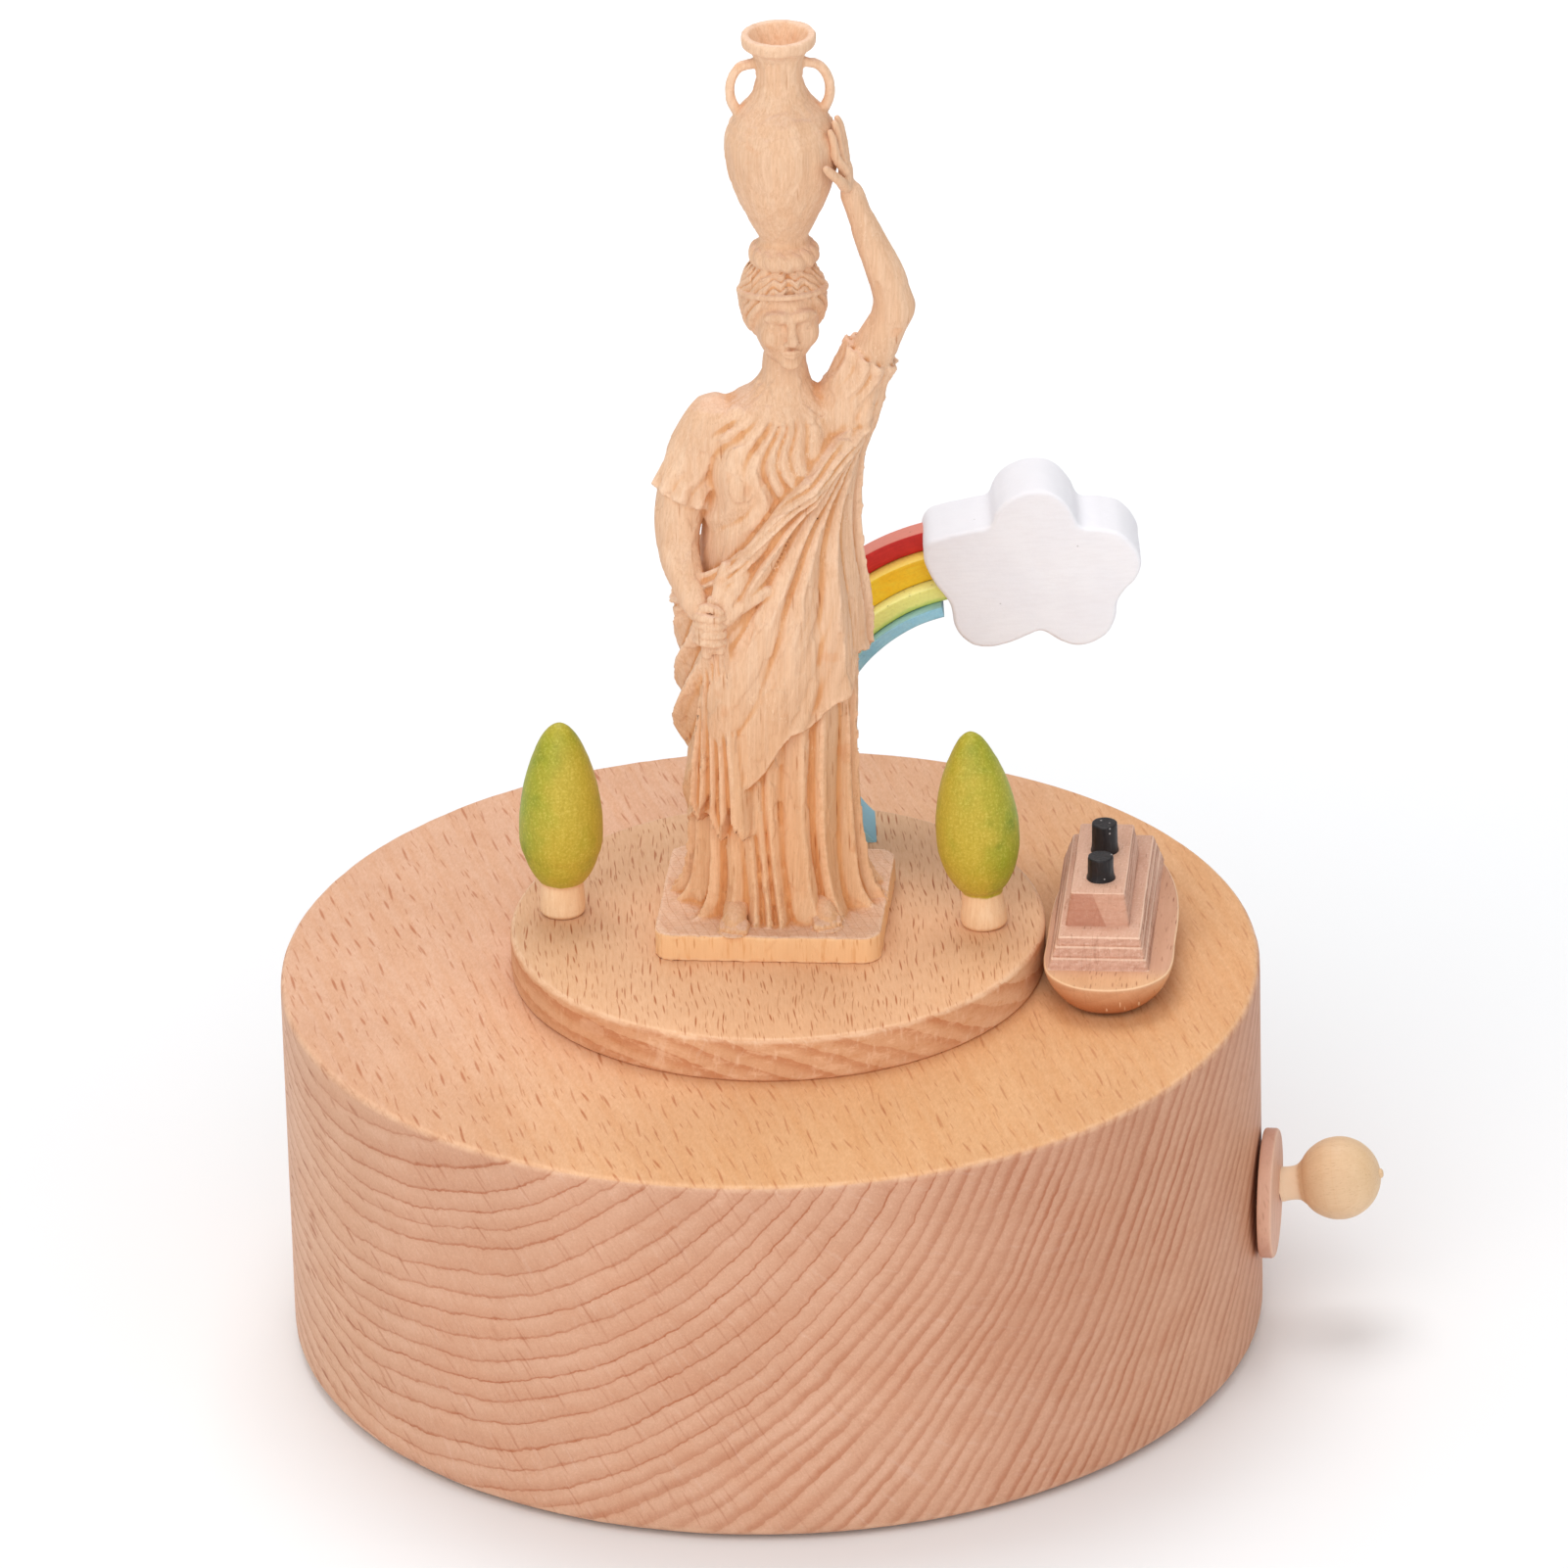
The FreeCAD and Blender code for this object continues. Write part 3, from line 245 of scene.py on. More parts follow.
class Mat:
    """Small helper to write a node material."""

    def __init__(s, name, rough=0.5, spec=0.3, metal=0.0):
        s.m = bpy.data.materials.new(name)
        s.m.use_nodes = True
        s.t = s.m.node_tree
        s.t.nodes.clear()
        s.out = s.t.nodes.new("ShaderNodeOutputMaterial")
        s.b = s.t.nodes.new("ShaderNodeBsdfPrincipled")
        s.t.links.new(s.b.outputs[0], s.out.inputs[0])
        s.b.inputs["Roughness"].default_value = rough
        s.b.inputs["Specular IOR Level"].default_value = spec
        s.b.inputs["Metallic"].default_value = metal
        s._tc = None

    def link(s, sock, v):
        if isinstance(v, bpy.types.NodeSocket):
            s.t.links.new(v, sock)
        else:
            sock.default_value = v

    def tc(s, which="Object"):
        if s._tc is None:
            s._tc = s.t.nodes.new("ShaderNodeTexCoord")
        return s._tc.outputs[which]

    def ma(s, op, a, b=None, c=None, clamp=False):
        n = s.t.nodes.new("ShaderNodeMath")
        n.operation = op
        n.use_clamp = clamp
        for i, v in enumerate((a, b, c)):
            if v is not None:
                s.link(n.inputs[i], v)
        return n.outputs[0]

    def vm(s, op, a, b=None, scale=None):
        n = s.t.nodes.new("ShaderNodeVectorMath")
        n.operation = op
        s.link(n.inputs[0], a)
        if b is not None:
            s.link(n.inputs[1], b)
        if scale is not None:
            s.link(n.inputs["Scale"], scale)
        return n.outputs["Value"] if op in ("DOT_PRODUCT", "LENGTH", "DISTANCE") else n.outputs["Vector"]

    def mm(s):
        """Object coordinates in millimetres."""
        return s.vm("SCALE", s.tc(), scale=1000.0)

    def xyz(s, v):
        n = s.t.nodes.new("ShaderNodeSeparateXYZ")
        s.link(n.inputs[0], v)
        return n.outputs[0], n.outputs[1], n.outputs[2]

    def comb(s, x, y, z):
        n = s.t.nodes.new("ShaderNodeCombineXYZ")
        for i, v in enumerate((x, y, z)):
            s.link(n.inputs[i], v)
        return n.outputs[0]

    def noise(s, vec, scale=1.0, detail=2.0, rough=0.5, dist=0.0, color=False):
        n = s.t.nodes.new("ShaderNodeTexNoise")
        s.link(n.inputs["Vector"], vec)
        n.inputs["Scale"].default_value = scale
        n.inputs["Detail"].default_value = detail
        n.inputs["Roughness"].default_value = rough
        n.inputs["Distortion"].default_value = dist
        return n.outputs["Color"] if color else n.outputs["Fac"]

    def vor(s, vec, scale=1.0, feature="F1", rand=1.0, dims="3D"):
        n = s.t.nodes.new("ShaderNodeTexVoronoi")
        n.voronoi_dimensions = dims
        n.feature = feature
        s.link(n.inputs["Vector"], vec)
        n.inputs["Scale"].default_value = scale
        n.inputs["Randomness"].default_value = rand
        return n

    def rng(s, x, a, b, c=0.0, d=1.0, kind="SMOOTHSTEP"):
        n = s.t.nodes.new("ShaderNodeMapRange")
        n.interpolation_type = kind
        s.link(n.inputs["Value"], x)
        for k, v in zip(("From Min", "From Max", "To Min", "To Max"), (a, b, c, d)):
            n.inputs[k].default_value = v
        return n.outputs[0]

    def mix(s, f, a, b, blend="MIX"):
        n = s.t.nodes.new("ShaderNodeMix")
        n.data_type = "RGBA"
        n.blend_type = blend
        s.link(n.inputs[0], f)
        s.link(n.inputs[6], a)
        s.link(n.inputs[7], b)
        return n.outputs[2]

    def ramp(s, f, stops):
        n = s.t.nodes.new("ShaderNodeValToRGB")
        s.link(n.inputs[0], f)
        e = n.color_ramp.elements
        while len(e) < len(stops):
            e.new(0.5)
        for i, (p, c) in enumerate(stops):
            e[i].position = p
            e[i].color = c
        return n.outputs[0]

    def attr(s, name):
        n = s.t.nodes.new("ShaderNodeAttribute")
        n.attribute_name = name
        return n.outputs["Fac"]

    def bump(s, h, strength, dist_mm, prev=None):
        n = s.t.nodes.new("ShaderNodeBump")
        n.inputs["Strength"].default_value = strength
        n.inputs["Distance"].default_value = dist_mm * 0.001
        s.link(n.inputs["Height"], h)
        if prev is not None:
            s.link(n.inputs["Normal"], prev)
        return n.outputs[0]

    def done(s, color=None, rough=None, normal=None):
        if color is not None:
            s.link(s.b.inputs["Base Color"], color)
        if rough is not None:
            s.link(s.b.inputs["Roughness"], rough)
        if normal is not None:
            s.link(s.b.inputs["Normal"], normal)
        return s.m


def unit(v):
    v = np.asarray(v, float)
    return v / np.linalg.norm(v)


def wood(name, f, pith, period=2.4, base=(238, 192, 152), ring=0.16, ring_tone=(0.74, 0.60, 0.50),
         fleck=None, fleck_tone=(0.46, 0.30, 0.20), fleck_on=1.0, streak=0.07, end_tone=(0.93, 0.885, 0.90),
         ray=0.05, blotch=0.05, rough=0.5, spec=0.25, warp=1.2, fine_warp=0.16, seed=0.0, end_mask=(0.45, 0.8),
         pore=0.05, relief=1.0, extra=None, ring_soft=0.30, end_only=1.0, fleck_end=0.16, fine_ring=False, edge=0.0, on_top=None, fleck_at=None, dense=None, jag=0.0,
         fleck_deep=0.8, split=(0.34, 0.14), dashes=None, bend=None):
    """Beech cut from a solid block.  f: fibre direction, pith: a point on the
    trunk's centre line (mm), period: growth ring width.  fleck: (m, w, l, g,
    density) with m the flecks' thin direction and their cell size in mm."""
    M = Mat(name, rough, spec)
    f = unit(f)
    e1 = unit(np.cross(f, [0.13, 0.2, 1.0]))
    e2 = np.cross(f, e1)
    P = M.vm("ADD", M.mm(), (seed * 13.7, seed * 7.1, -FELT + seed * 3.3))
    if seed:
        pith = np.asarray(pith, float) + np.array([seed * 13.7, seed * 7.1, seed * 3.3])
    Q = M.vm("SUBTRACT", P, tuple(pith))
    if bend:
        # the trunk swells to one side, so the rings rise more steeply there
        bx = M.ma("MAXIMUM", M.ma("SUBTRACT", M.xyz(P)[0], bend[0]), 0.0)
        Q = M.vm("ADD", Q, M.comb(0.0, 0.0, M.ma("MULTIPLY", M.ma("MULTIPLY", bx, bx), -bend[1])))
    # slow and fine waviness of the rings
    n1 = M.vm("SUBTRACT", M.noise(P, 0.045, 1.0, color=True), (0.5, 0.5, 0.5))
    Q = M.vm("ADD", Q, M.vm("SCALE", n1, scale=warp * 5.0))
    n2 = M.vm("SUBTRACT", M.noise(P, 0.38, 2.0, color=True), (0.5, 0.5, 0.5))
    Q2 = M.vm("ADD", Q, M.vm("SCALE", n2, scale=fine_warp * 5.0))
    if jag:
        n3 = M.vm("SUBTRACT", M.noise(P, 1.35, 1.0, color=True), (0.5, 0.5, 0.5))
        Q2 = M.vm("ADD", Q2, M.vm("SCALE", n3, scale=jag * 5.0))
    x = M.vm("DOT_PRODUCT", Q2, tuple(e1))
    y = M.vm("DOT_PRODUCT", Q2, tuple(e2))
    r = M.ma("SQRT", M.ma("ADD", M.ma("MULTIPLY", x, x), M.ma("MULTIPLY", y, y)))
    th = M.ma("ARCTAN2", y, x)
    # uneven ring widths
    rn = M.noise(M.comb(M.ma("MULTIPLY", r, 0.13), 0.0, 0.0), 1.0, 1.0)
    rd = r
    if dense:
        # slow years: from this radius on the rings lie closer together
        rd = M.ma("ADD", r, M.ma("MULTIPLY", M.ma("MAXIMUM", M.ma("SUBTRACT", r, dense[0]), 0.0), dense[1]))
    q = M.ma("DIVIDE", M.ma("ADD", rd, M.ma("MULTIPLY", rn, 3.2 * period * 0.5)), period)
    fr = M.ma("FRACT", q)
    idx = M.ma("FLOOR", q)
    late = M.ma("MULTIPLY", M.rng(fr, 1.0 - ring_soft * 2.2, 0.93), M.rng(fr, 1.0, 0.955))
    if fine_ring:
        # a thin dark line closes each ring, and a soft shade leads up to it
        thin = M.ma("MULTIPLY", M.rng(fr, 0.84, 0.93), M.rng(fr, 1.0, 0.965))
        thin = M.ma("MULTIPLY", thin, M.rng(M.noise(P, 0.42, 2.0, 0.6), 0.32, 0.66, 0.55, 1.16, "LINEAR"))
        late = M.ma("ADD", M.ma("MULTIPLY", thin, 0.78), M.ma("MULTIPLY", late, 0.26))
        if dense:
            wide = M.ma("MULTIPLY", M.rng(fr, 0.42, 0.84), M.rng(fr, 1.0, 0.92))
            patchy = M.rng(M.noise(P, 0.085, 2.0, 0.6), 0.34, 0.66, 0.48, 0.98, "LINEAR")
            late = M.ma("ADD", late, M.ma("MULTIPLY", M.ma("SUBTRACT", M.ma("MULTIPLY", wide, patchy), late), M.rng(r, dense[0] - 2.0, dense[0] + 7.0)))
    rs = M.noise(M.comb(M.ma("MULTIPLY", idx, 7.31), 1.7, 0.0), 1.0, 0.0)
    late = M.ma("MULTIPLY", late, M.rng(rs, 0.25, 0.75, 0.55, 1.25, "LINEAR"))
    # along / across coordinates
    la = M.vm("DOT_PRODUCT", P, tuple(f))
    ac1 = M.vm("DOT_PRODUCT", P, tuple(e1))
    ac2 = M.vm("DOT_PRODUCT", P, tuple(e2))
    nrm = M.tc("Normal")
    endness = M.rng(M.ma("ABSOLUTE", M.vm("DOT_PRODUCT", nrm, tuple(f))), end_mask[0], end_mask[1])
    # colour
    c = lin(*base)
    col = M.mix(M.rng(M.noise(P, 0.055, 3.0, 0.6), 0.3, 0.7, 0, 1), tuple([c[0] * (1 - blotch), c[1] * (1 - blotch * 1.5), c[2] * (1 - blotch * 2.0), 1]),
                tuple([min(1, c[0] * (1 + blotch * 0.5)), c[1] * (1 + blotch * 0.6), c[2] * (1 + blotch * 0.6), 1]))
    # ring by ring tone
    band = M.rng(M.noise(M.comb(M.ma("MULTIPLY", q, 0.31), 3.1, 0.0), 1.0, 1.0), 0.3, 0.7)
    col = M.mix(M.ma("MULTIPLY", band, 0.55), col, M.mix(1.0, col, (0.955, 0.93, 0.91, 1), "MULTIPLY"))
    col = M.mix(endness, col, M.mix(1.0, col, (*end_tone, 1), "MULTIPLY"))
    # long fibres
    sv = M.comb(M.ma("MULTIPLY", ac1, 4.2), M.ma("MULTIPLY", ac2, 4.2), M.ma("MULTIPLY", la, 0.16))
    st = M.noise(sv, 1.0, 3.0, 0.62)
    col = M.mix(M.rng(st, 0.36, 0.66, streak * 1.6, 0.0), col, M.mix(1.0, col, (0.62, 0.47, 0.36, 1), "MULTIPLY"))
    # growth rings
    k = M.ma("MULTIPLY", late, ring)
    updown = M.rng(M.ma("ABSOLUTE", M.xyz(nrm)[2]), 0.55, 0.9)
    if on_top is not None:
        k = M.ma("MULTIPLY", k, M.rng(updown, 0.0, 1.0, 1.0, on_top, "LINEAR"))
    elif end_only < 1.0:
        k = M.ma("MULTIPLY", k, M.rng(endness, 0.0, 1.0, end_only, 1.0, "LINEAR"))
    col = M.mix(k, col, M.mix(1.0, col, (*ring_tone, 1), "MULTIPLY"))
    if fine_ring:
        # the soft wood that follows each line is paler
        lite = M.ma("MULTIPLY", M.rng(fr, 0.02, 0.12), M.rng(fr, 0.55, 0.20))
        lite = M.ma("MULTIPLY", lite, M.rng(M.noise(P, 0.20, 2.0, 0.6), 0.34, 0.66, 0.15, 1.0))
        lite = M.ma("MULTIPLY", lite, M.rng(updown, 0.0, 1.0, 0.75, 0.0, "LINEAR"))
        col = M.mix(lite, col, M.mix(1.0, col, (1.06, 1.11, 1.15, 1), "MULTIPLY"))
    # radial rays on end grain
    rv = M.comb(M.ma("MULTIPLY", th, 110.0 * 2.2), M.ma("MULTIPLY", r, 0.16), M.ma("MULTIPLY", la, 0.35))
    rr = M.noise(rv, 1.0, 2.0, 0.6)
    col = M.mix(M.ma("MULTIPLY", M.rng(rr, 0.56, 0.72), M.ma("MULTIPLY", endness, ray * 2.4)), col, M.mix(1.0, col, (0.72, 0.56, 0.46, 1), "MULTIPLY"))
    col = M.mix(M.ma("MULTIPLY", M.rng(rr, 0.42, 0.28), M.ma("MULTIPLY", endness, ray * 1.6)), col, (0.95, 0.78, 0.62, 1))
    # pores
    pv = M.comb(M.ma("MULTIPLY", ac1, 6.5), M.ma("MULTIPLY", ac2, 6.5), M.ma("MULTIPLY", la, 1.1))
    po = M.noise(pv, 1.0, 1.0)
    col = M.mix(M.rng(po, 0.60, 0.74, 0.0, pore * 2.5), col, M.mix(1.0, col, (0.60, 0.44, 0.34, 1), "MULTIPLY"))
    height = M.ma("MULTIPLY", st, 0.5)
    if fleck:
        m, w, ln, gl, dens = fleck
        m = unit(m)
        g = unit(np.cross(f, m))
        fm = unit(np.cross(m, g))
        wob = M.ma("MULTIPLY", M.ma("SUBTRACT", M.noise(M.vm("SCALE", P, scale=0.22), 1.0, 1.0), 0.5), 0.55)
        fv = M.comb(M.ma("DIVIDE", M.ma("ADD", M.vm("DOT_PRODUCT", P, tuple(m)), wob), w),
                    M.ma("DIVIDE", M.vm("DOT_PRODUCT", P, tuple(fm)), ln),
                    M.ma("DIVIDE", M.vm("DOT_PRODUCT", P, tuple(g)), gl))
        for layer, (sc, part, dark) in enumerate(((1.0, dens, 1.0), (1.9, dens * 0.9, 0.55))):
            v = M.vor(M.vm("ADD", fv, (layer * 7.7, layer * 3.1, 0.0)), sc)
            cr = M.xyz(v.outputs["Color"])
            on = M.ma("LESS_THAN", cr[0], part)
            # spindle, sharper core, softer ends
            sp = M.rng(v.outputs["Distance"], split[0], split[1])
            k = M.ma("MULTIPLY", M.ma("MULTIPLY", sp, on), M.rng(cr[1], 0.0, 1.0, 0.45, 1.0, "LINEAR"))
            k = M.ma("MULTIPLY", k, M.rng(endness, 0.0, 1.0, 1.0, fleck_end, "LINEAR"))
            k = M.ma("MULTIPLY", k, dark * fleck_on, clamp=True)
            if dashes:
                k = M.ma("MULTIPLY", k, M.ma("SUBTRACT", 1.0, updown))
            if fleck_at is not None:
                k = M.ma("MULTIPLY", k, fleck_at(M, P, updown))
            col = M.mix(k, col, M.mix(1.0, col, (*fleck_tone, 1), "MULTIPLY"))
            height = M.ma("SUBTRACT", height, M.ma("MULTIPLY", k, fleck_deep))
    for i, (m, cw, cl, hw, hl, part, power) in enumerate(dashes or ()):
        # short pores cut open on the faces across m: one dash in each cell
        m = unit(m)
        g = unit(np.cross(f, m))
        fm = unit(np.cross(m, g))
        wob = M.ma("MULTIPLY", M.ma("SUBTRACT", M.noise(M.vm("SCALE", P, scale=0.10), 1.0, 1.0), 0.5), 1.2)
        u = M.ma("ADD", M.ma("ADD", M.vm("DOT_PRODUCT", P, tuple(m)), wob), 31.7 * i)
        w = M.ma("ADD", M.vm("DOT_PRODUCT", P, tuple(fm)), 17.3 * i)
        # shift each row of cells, so that the dashes form no lines
        w = M.ma("ADD", w, M.ma("MULTIPLY", M.ma("FLOOR", M.ma("DIVIDE", u, cw * 3.0)), cl * 0.37))
        uv = M.comb(M.ma("DIVIDE", u, cw), M.ma("DIVIDE", w, cl), 0.0)
        v = M.vor(uv, 1.0, rand=0.68, dims="2D")
        d = M.vm("SUBTRACT", uv, v.outputs["Position"])
        dx, dy, _ = M.xyz(d)
        c0, c1, c2 = M.xyz(v.outputs["Color"])
        du = M.ma("ADD", M.ma("MULTIPLY", dx, cw), M.ma("MULTIPLY", M.ma("MULTIPLY", dy, cl), M.ma("MULTIPLY", M.ma("SUBTRACT", c1, 0.5), 0.16)))
        du = M.ma("DIVIDE", du, M.rng(c2, 0.0, 1.0, hw * 0.65, hw * 1.35, "LINEAR"))
        dv = M.ma("DIVIDE", M.ma("MULTIPLY", dy, cl), M.rng(c1, 0.0, 1.0, hl * 0.55, hl * 1.25, "LINEAR"))
        e = M.ma("SQRT", M.ma("ADD", M.ma("MULTIPLY", du, du), M.ma("MULTIPLY", dv, dv)))
        k = M.ma("MULTIPLY", M.rng(e, 1.0, 0.35), M.ma("LESS_THAN", c0, part))
        k = M.ma("MULTIPLY", k, M.rng(c2, 0.0, 1.0, 0.45, 1.0, "LINEAR"))
        k = M.ma("MULTIPLY", M.ma("MULTIPLY", k, power), updown, clamp=True)
        if fleck_at is not None:
            k = M.ma("MULTIPLY", k, fleck_at(M, P, updown))
        if i == 0:
            # fine grain between the dashes
            gn = M.noise(M.comb(M.ma("MULTIPLY", u, 2.7), M.ma("MULTIPLY", w, 0.60), 0.0), 1.0, 2.0, 0.6)
            col = M.mix(M.ma("MULTIPLY", M.rng(gn, 0.50, 0.70, 0.0, 0.75), updown), col, M.mix(1.0, col, (1.045, 1.08, 1.11, 1), "MULTIPLY"))
            col = M.mix(M.ma("MULTIPLY", M.rng(gn, 0.50, 0.30, 0.0, 0.75), updown), col, M.mix(1.0, col, (0.965, 0.92, 0.87, 1), "MULTIPLY"))
        col = M.mix(k, col, M.mix(1.0, col, (*fleck_tone, 1), "MULTIPLY"))
        height = M.ma("SUBTRACT", height, M.ma("MULTIPLY", k, fleck_deep))
    height = M.ma("SUBTRACT", height, M.ma("MULTIPLY", late, 0.25))
    height = M.ma("ADD", height, M.ma("MULTIPLY", M.noise(P, 5.5, 2.0), 0.35))
    if extra is not None:
        col, height = extra(M, P, col, height)
    # painted highlight: a pale, broken band on the rounded edges between top and side faces, set by edge
    if edge:
        an = M.ma("ABSOLUTE", M.xyz(nrm)[2])
        e = M.ma("MULTIPLY", M.rng(an, 0.08, 0.50), M.rng(an, 0.99, 0.86))
        e = M.ma("MULTIPLY", e, M.rng(M.noise(P, 0.55, 4.0, 0.7), 0.38, 0.62, 0.15, 1.0))
        col = M.mix(M.ma("MULTIPLY", e, edge), col, lin(250, 210, 174))
    ro = M.rng(st, 0.3, 0.7, rough + 0.07, rough - 0.05, "LINEAR")
    return M.done(col, ro, M.bump(height, 0.55 * relief, 0.05))


def painted(name, tone, tone2, f=(0, 0, 1), speck=0.0, grain=0.4, rough=0.5, spec=0.3, mottled=0.5, edge=None, seed=0.0):
    """Thin paint on wood: fibre relief, mottling, small pits."""
    M = Mat(name, rough, spec)
    f = unit(f)
    e1 = unit(np.cross(f, [0.3, 1.0, 0.2]))
    e2 = np.cross(f, e1)
    P = M.vm("ADD", M.mm(), (seed * 11.0, seed * 5.0, -FELT + seed * 2.0))
    la = M.vm("DOT_PRODUCT", P, tuple(f))
    a1 = M.vm("DOT_PRODUCT", P, tuple(e1))
    a2 = M.vm("DOT_PRODUCT", P, tuple(e2))
    st = M.noise(M.comb(M.ma("MULTIPLY", a1, 3.6), M.ma("MULTIPLY", a2, 3.6), M.ma("MULTIPLY", la, 0.35)), 1.0, 3.0, 0.6)
    bl = M.noise(P, 0.32, 3.0, 0.6)
    fac = M.ma("ADD", M.ma("MULTIPLY", M.rng(bl, 0.3, 0.7), mottled), M.ma("MULTIPLY", M.rng(st, 0.3, 0.7), 1.0 - mottled))
    col = M.mix(fac, lin(*tone), lin(*tone2))
    h = M.ma("ADD", M.ma("MULTIPLY", st, grain), M.ma("MULTIPLY", M.noise(P, 7.0, 2.0), 0.35))
    if speck:
        v = M.vor(P, 1.25)
        cr = M.xyz(v.outputs["Color"])
        k = M.ma("MULTIPLY", M.rng(v.outputs["Distance"], 0.22, 0.10), M.ma("LESS_THAN", cr[0], speck))
        col = M.mix(k, col, M.mix(1.0, col, (0.45, 0.42, 0.36, 1), "MULTIPLY"))
        h = M.ma("SUBTRACT", h, k)
    if edge is not None:
        col = edge(M, P, col)
    ro = M.rng(bl, 0.3, 0.7, rough - 0.05, rough + 0.08, "LINEAR")
    return M.done(col, ro, M.bump(h, 0.5, 0.05))


def metal(name, tone, rough=0.32, brushed=(1, 0, 0), kind=0.0):
    M = Mat(name, rough, 0.5, 1.0)
    P = M.mm()
    e = unit(brushed)
    a = unit(np.cross(e, [0.2, 0.3, 1.0]))
    b = np.cross(e, a)
    v = M.comb(M.ma("MULTIPLY", M.vm("DOT_PRODUCT", P, tuple(a)), 9.0), M.ma("MULTIPLY", M.vm("DOT_PRODUCT", P, tuple(b)), 9.0),
               M.ma("MULTIPLY", M.vm("DOT_PRODUCT", P, tuple(e)), 0.6))
    n = M.noise(v, 1.0, 3.0, 0.6)
    bl = M.noise(P, 0.5, 2.0)
    c = lin(*tone)
    col = M.mix(M.rng(bl, 0.3, 0.7), c, tuple([c[0] * 0.86, c[1] * 0.84, c[2] * 0.8, 1]))
    col = M.mix(M.rng(n, 0.4, 0.6, 0.0, 0.3), col, tuple([min(1, c[0] * 1.1), min(1, c[1] * 1.1), min(1, c[2] * 1.12), 1]))
    return M.done(col, M.rng(n, 0.3, 0.7, rough - 0.08, rough + 0.12, "LINEAR"), M.bump(n, 0.35, 0.02))


def felt(name, tone, tone2):
    M = Mat(name, 0.95, 0.1)
    P = M.mm()
    n = M.noise(P, 1.6, 5.0, 0.7, 0.8)
    fi = M.noise(M.vm("MULTIPLY", P, (7.0, 2.0, 7.0)), 1.0, 3.0, 0.7, 1.2)
    f2 = M.noise(M.vm("MULTIPLY", P, (2.0, 7.0, 7.0)), 1.0, 3.0, 0.7, 1.2)
    k = M.ma("MULTIPLY", M.ma("ADD", fi, f2), 0.5)
    col = M.mix(M.rng(n, 0.3, 0.7), lin(*tone), lin(*tone2))
    col = M.mix(M.rng(k, 0.5, 0.65, 0.0, 0.35), col, tuple([x * 1.9 for x in lin(*tone2)[:3]] + [1]))
    M.b.inputs["Sheen Weight"].default_value = 0.4
    return M.done(col, None, M.bump(k, 0.9, 0.15))


# --------------------------------------------------- the wood of each piece
F_FLECK = (0.366, -0.892, -0.264)
M_FLECK = (0.859, 0.2145, 0.4645)
MAT = {}


def drum_tone(M, P, col, h):
    # the tone shifts by place and facing: rosier at the back and left, golden towards the front and right, partly the
    # wood's colour and partly painted light and shade
    x, y, z = M.xyz(P)
    t = M.rng(M.ma("SUBTRACT", M.ma("MULTIPLY", x, 0.75), M.ma("MULTIPLY", y, 0.55)), -34.0, 34.0)
    nz = M.xyz(M.tc("Normal"))[2]
    up = M.rng(nz, 0.5, 0.9)
    a = M.mix(1.0, col, (0.985, 0.985, 1.12, 1), "MULTIPLY")
    b = M.mix(1.0, col, (1.01, 0.955, 0.82, 1), "MULTIPLY")
    top = M.mix(t, a, b)
    # long soft streaks along the flecks
    g = unit(np.cross(F_FLECK, M_FLECK))
    fm = unit(np.cross(M_FLECK, g))
    sv = M.comb(M.ma("MULTIPLY", M.vm("DOT_PRODUCT", P, M_FLECK), 0.85), M.ma("MULTIPLY", M.vm("DOT_PRODUCT", P, tuple(fm)), 0.045), 0.0)
    sn = M.noise(sv, 1.0, 3.0, 0.55)
    top = M.mix(M.rng(sn, 0.36, 0.60, 0.42, 0.0), top, M.mix(1.0, top, (0.94, 0.83, 0.70, 1), "MULTIPLY"))
    top = M.mix(M.rng(sn, 0.56, 0.72, 0.0, 0.30), top, M.mix(1.0, top, (1.03, 1.05, 1.06, 1), "MULTIPLY"))
    # painted shade: the sides are a little darker and cooler than the top, and darker again near x = 0
    side = M.mix(1.0, col, (0.915, 0.89, 0.96, 1), "MULTIPLY")
    side = M.mix(M.rng(M.ma("ABSOLUTE", x), 38.0, 8.0, 0.0, 1.0), side, M.mix(1.0, side, (0.975, 0.965, 0.965, 1), "MULTIPLY"))
    # painted shade: the right side is darker and redder (its closer grain comes from the rings' dense setting)
    rt = M.rng(x, 4.0, 50.0)
    side = M.mix(rt, side, M.mix(1.0, side, (0.87, 0.77, 0.74, 1), "MULTIPLY"))
    # broad soft lights and shades that follow the grain
    fn = M.noise(M.vm("MULTIPLY", P, (0.10, 0.10, 0.22)), 1.0, 4.0, 0.65)
    side = M.mix(M.rng(fn, 0.50, 0.68, 0.0, 0.55), side, M.mix(1.0, side, (1.04, 1.08, 1.12, 1), "MULTIPLY"))
    side = M.mix(M.rng(fn, 0.50, 0.34, 0.0, 0.50), side, M.mix(1.0, side, (0.96, 0.89, 0.84, 1), "MULTIPLY"))
    # paler towards the foot of the side, partly the wood's tone and partly painted light
    side = M.mix(M.rng(z, 24.0, 3.0, 0.0, 1.0), side, M.mix(1.0, side, (1.025, 1.06, 1.085, 1), "MULTIPLY"))
    col = M.mix(up, side, top)
    # fine speckle of cut pores on the side
    sp = M.noise(P, 3.2, 2.0, 0.6)
    k = M.ma("MULTIPLY", M.ma("SUBTRACT", 1.0, up), M.rng(sp, 0.54, 0.68, 0.0, 0.30))
    col = M.mix(k, col, M.mix(1.0, col, (1.18, 1.26, 1.34, 1), "MULTIPLY"))
    return col, h


def drum_flecks(M, P, up):
    x = M.xyz(P)[0]
    top = M.rng(x, -10.0, 45.0, 1.0, 0.62, "LINEAR")
    side = M.rng(x, -12.0, 18.0, 1.0, 0.0)
    return M.ma("ADD", M.ma("MULTIPLY", top, up), M.ma("MULTIPLY", side, M.ma("SUBTRACT", 1.0, up)))


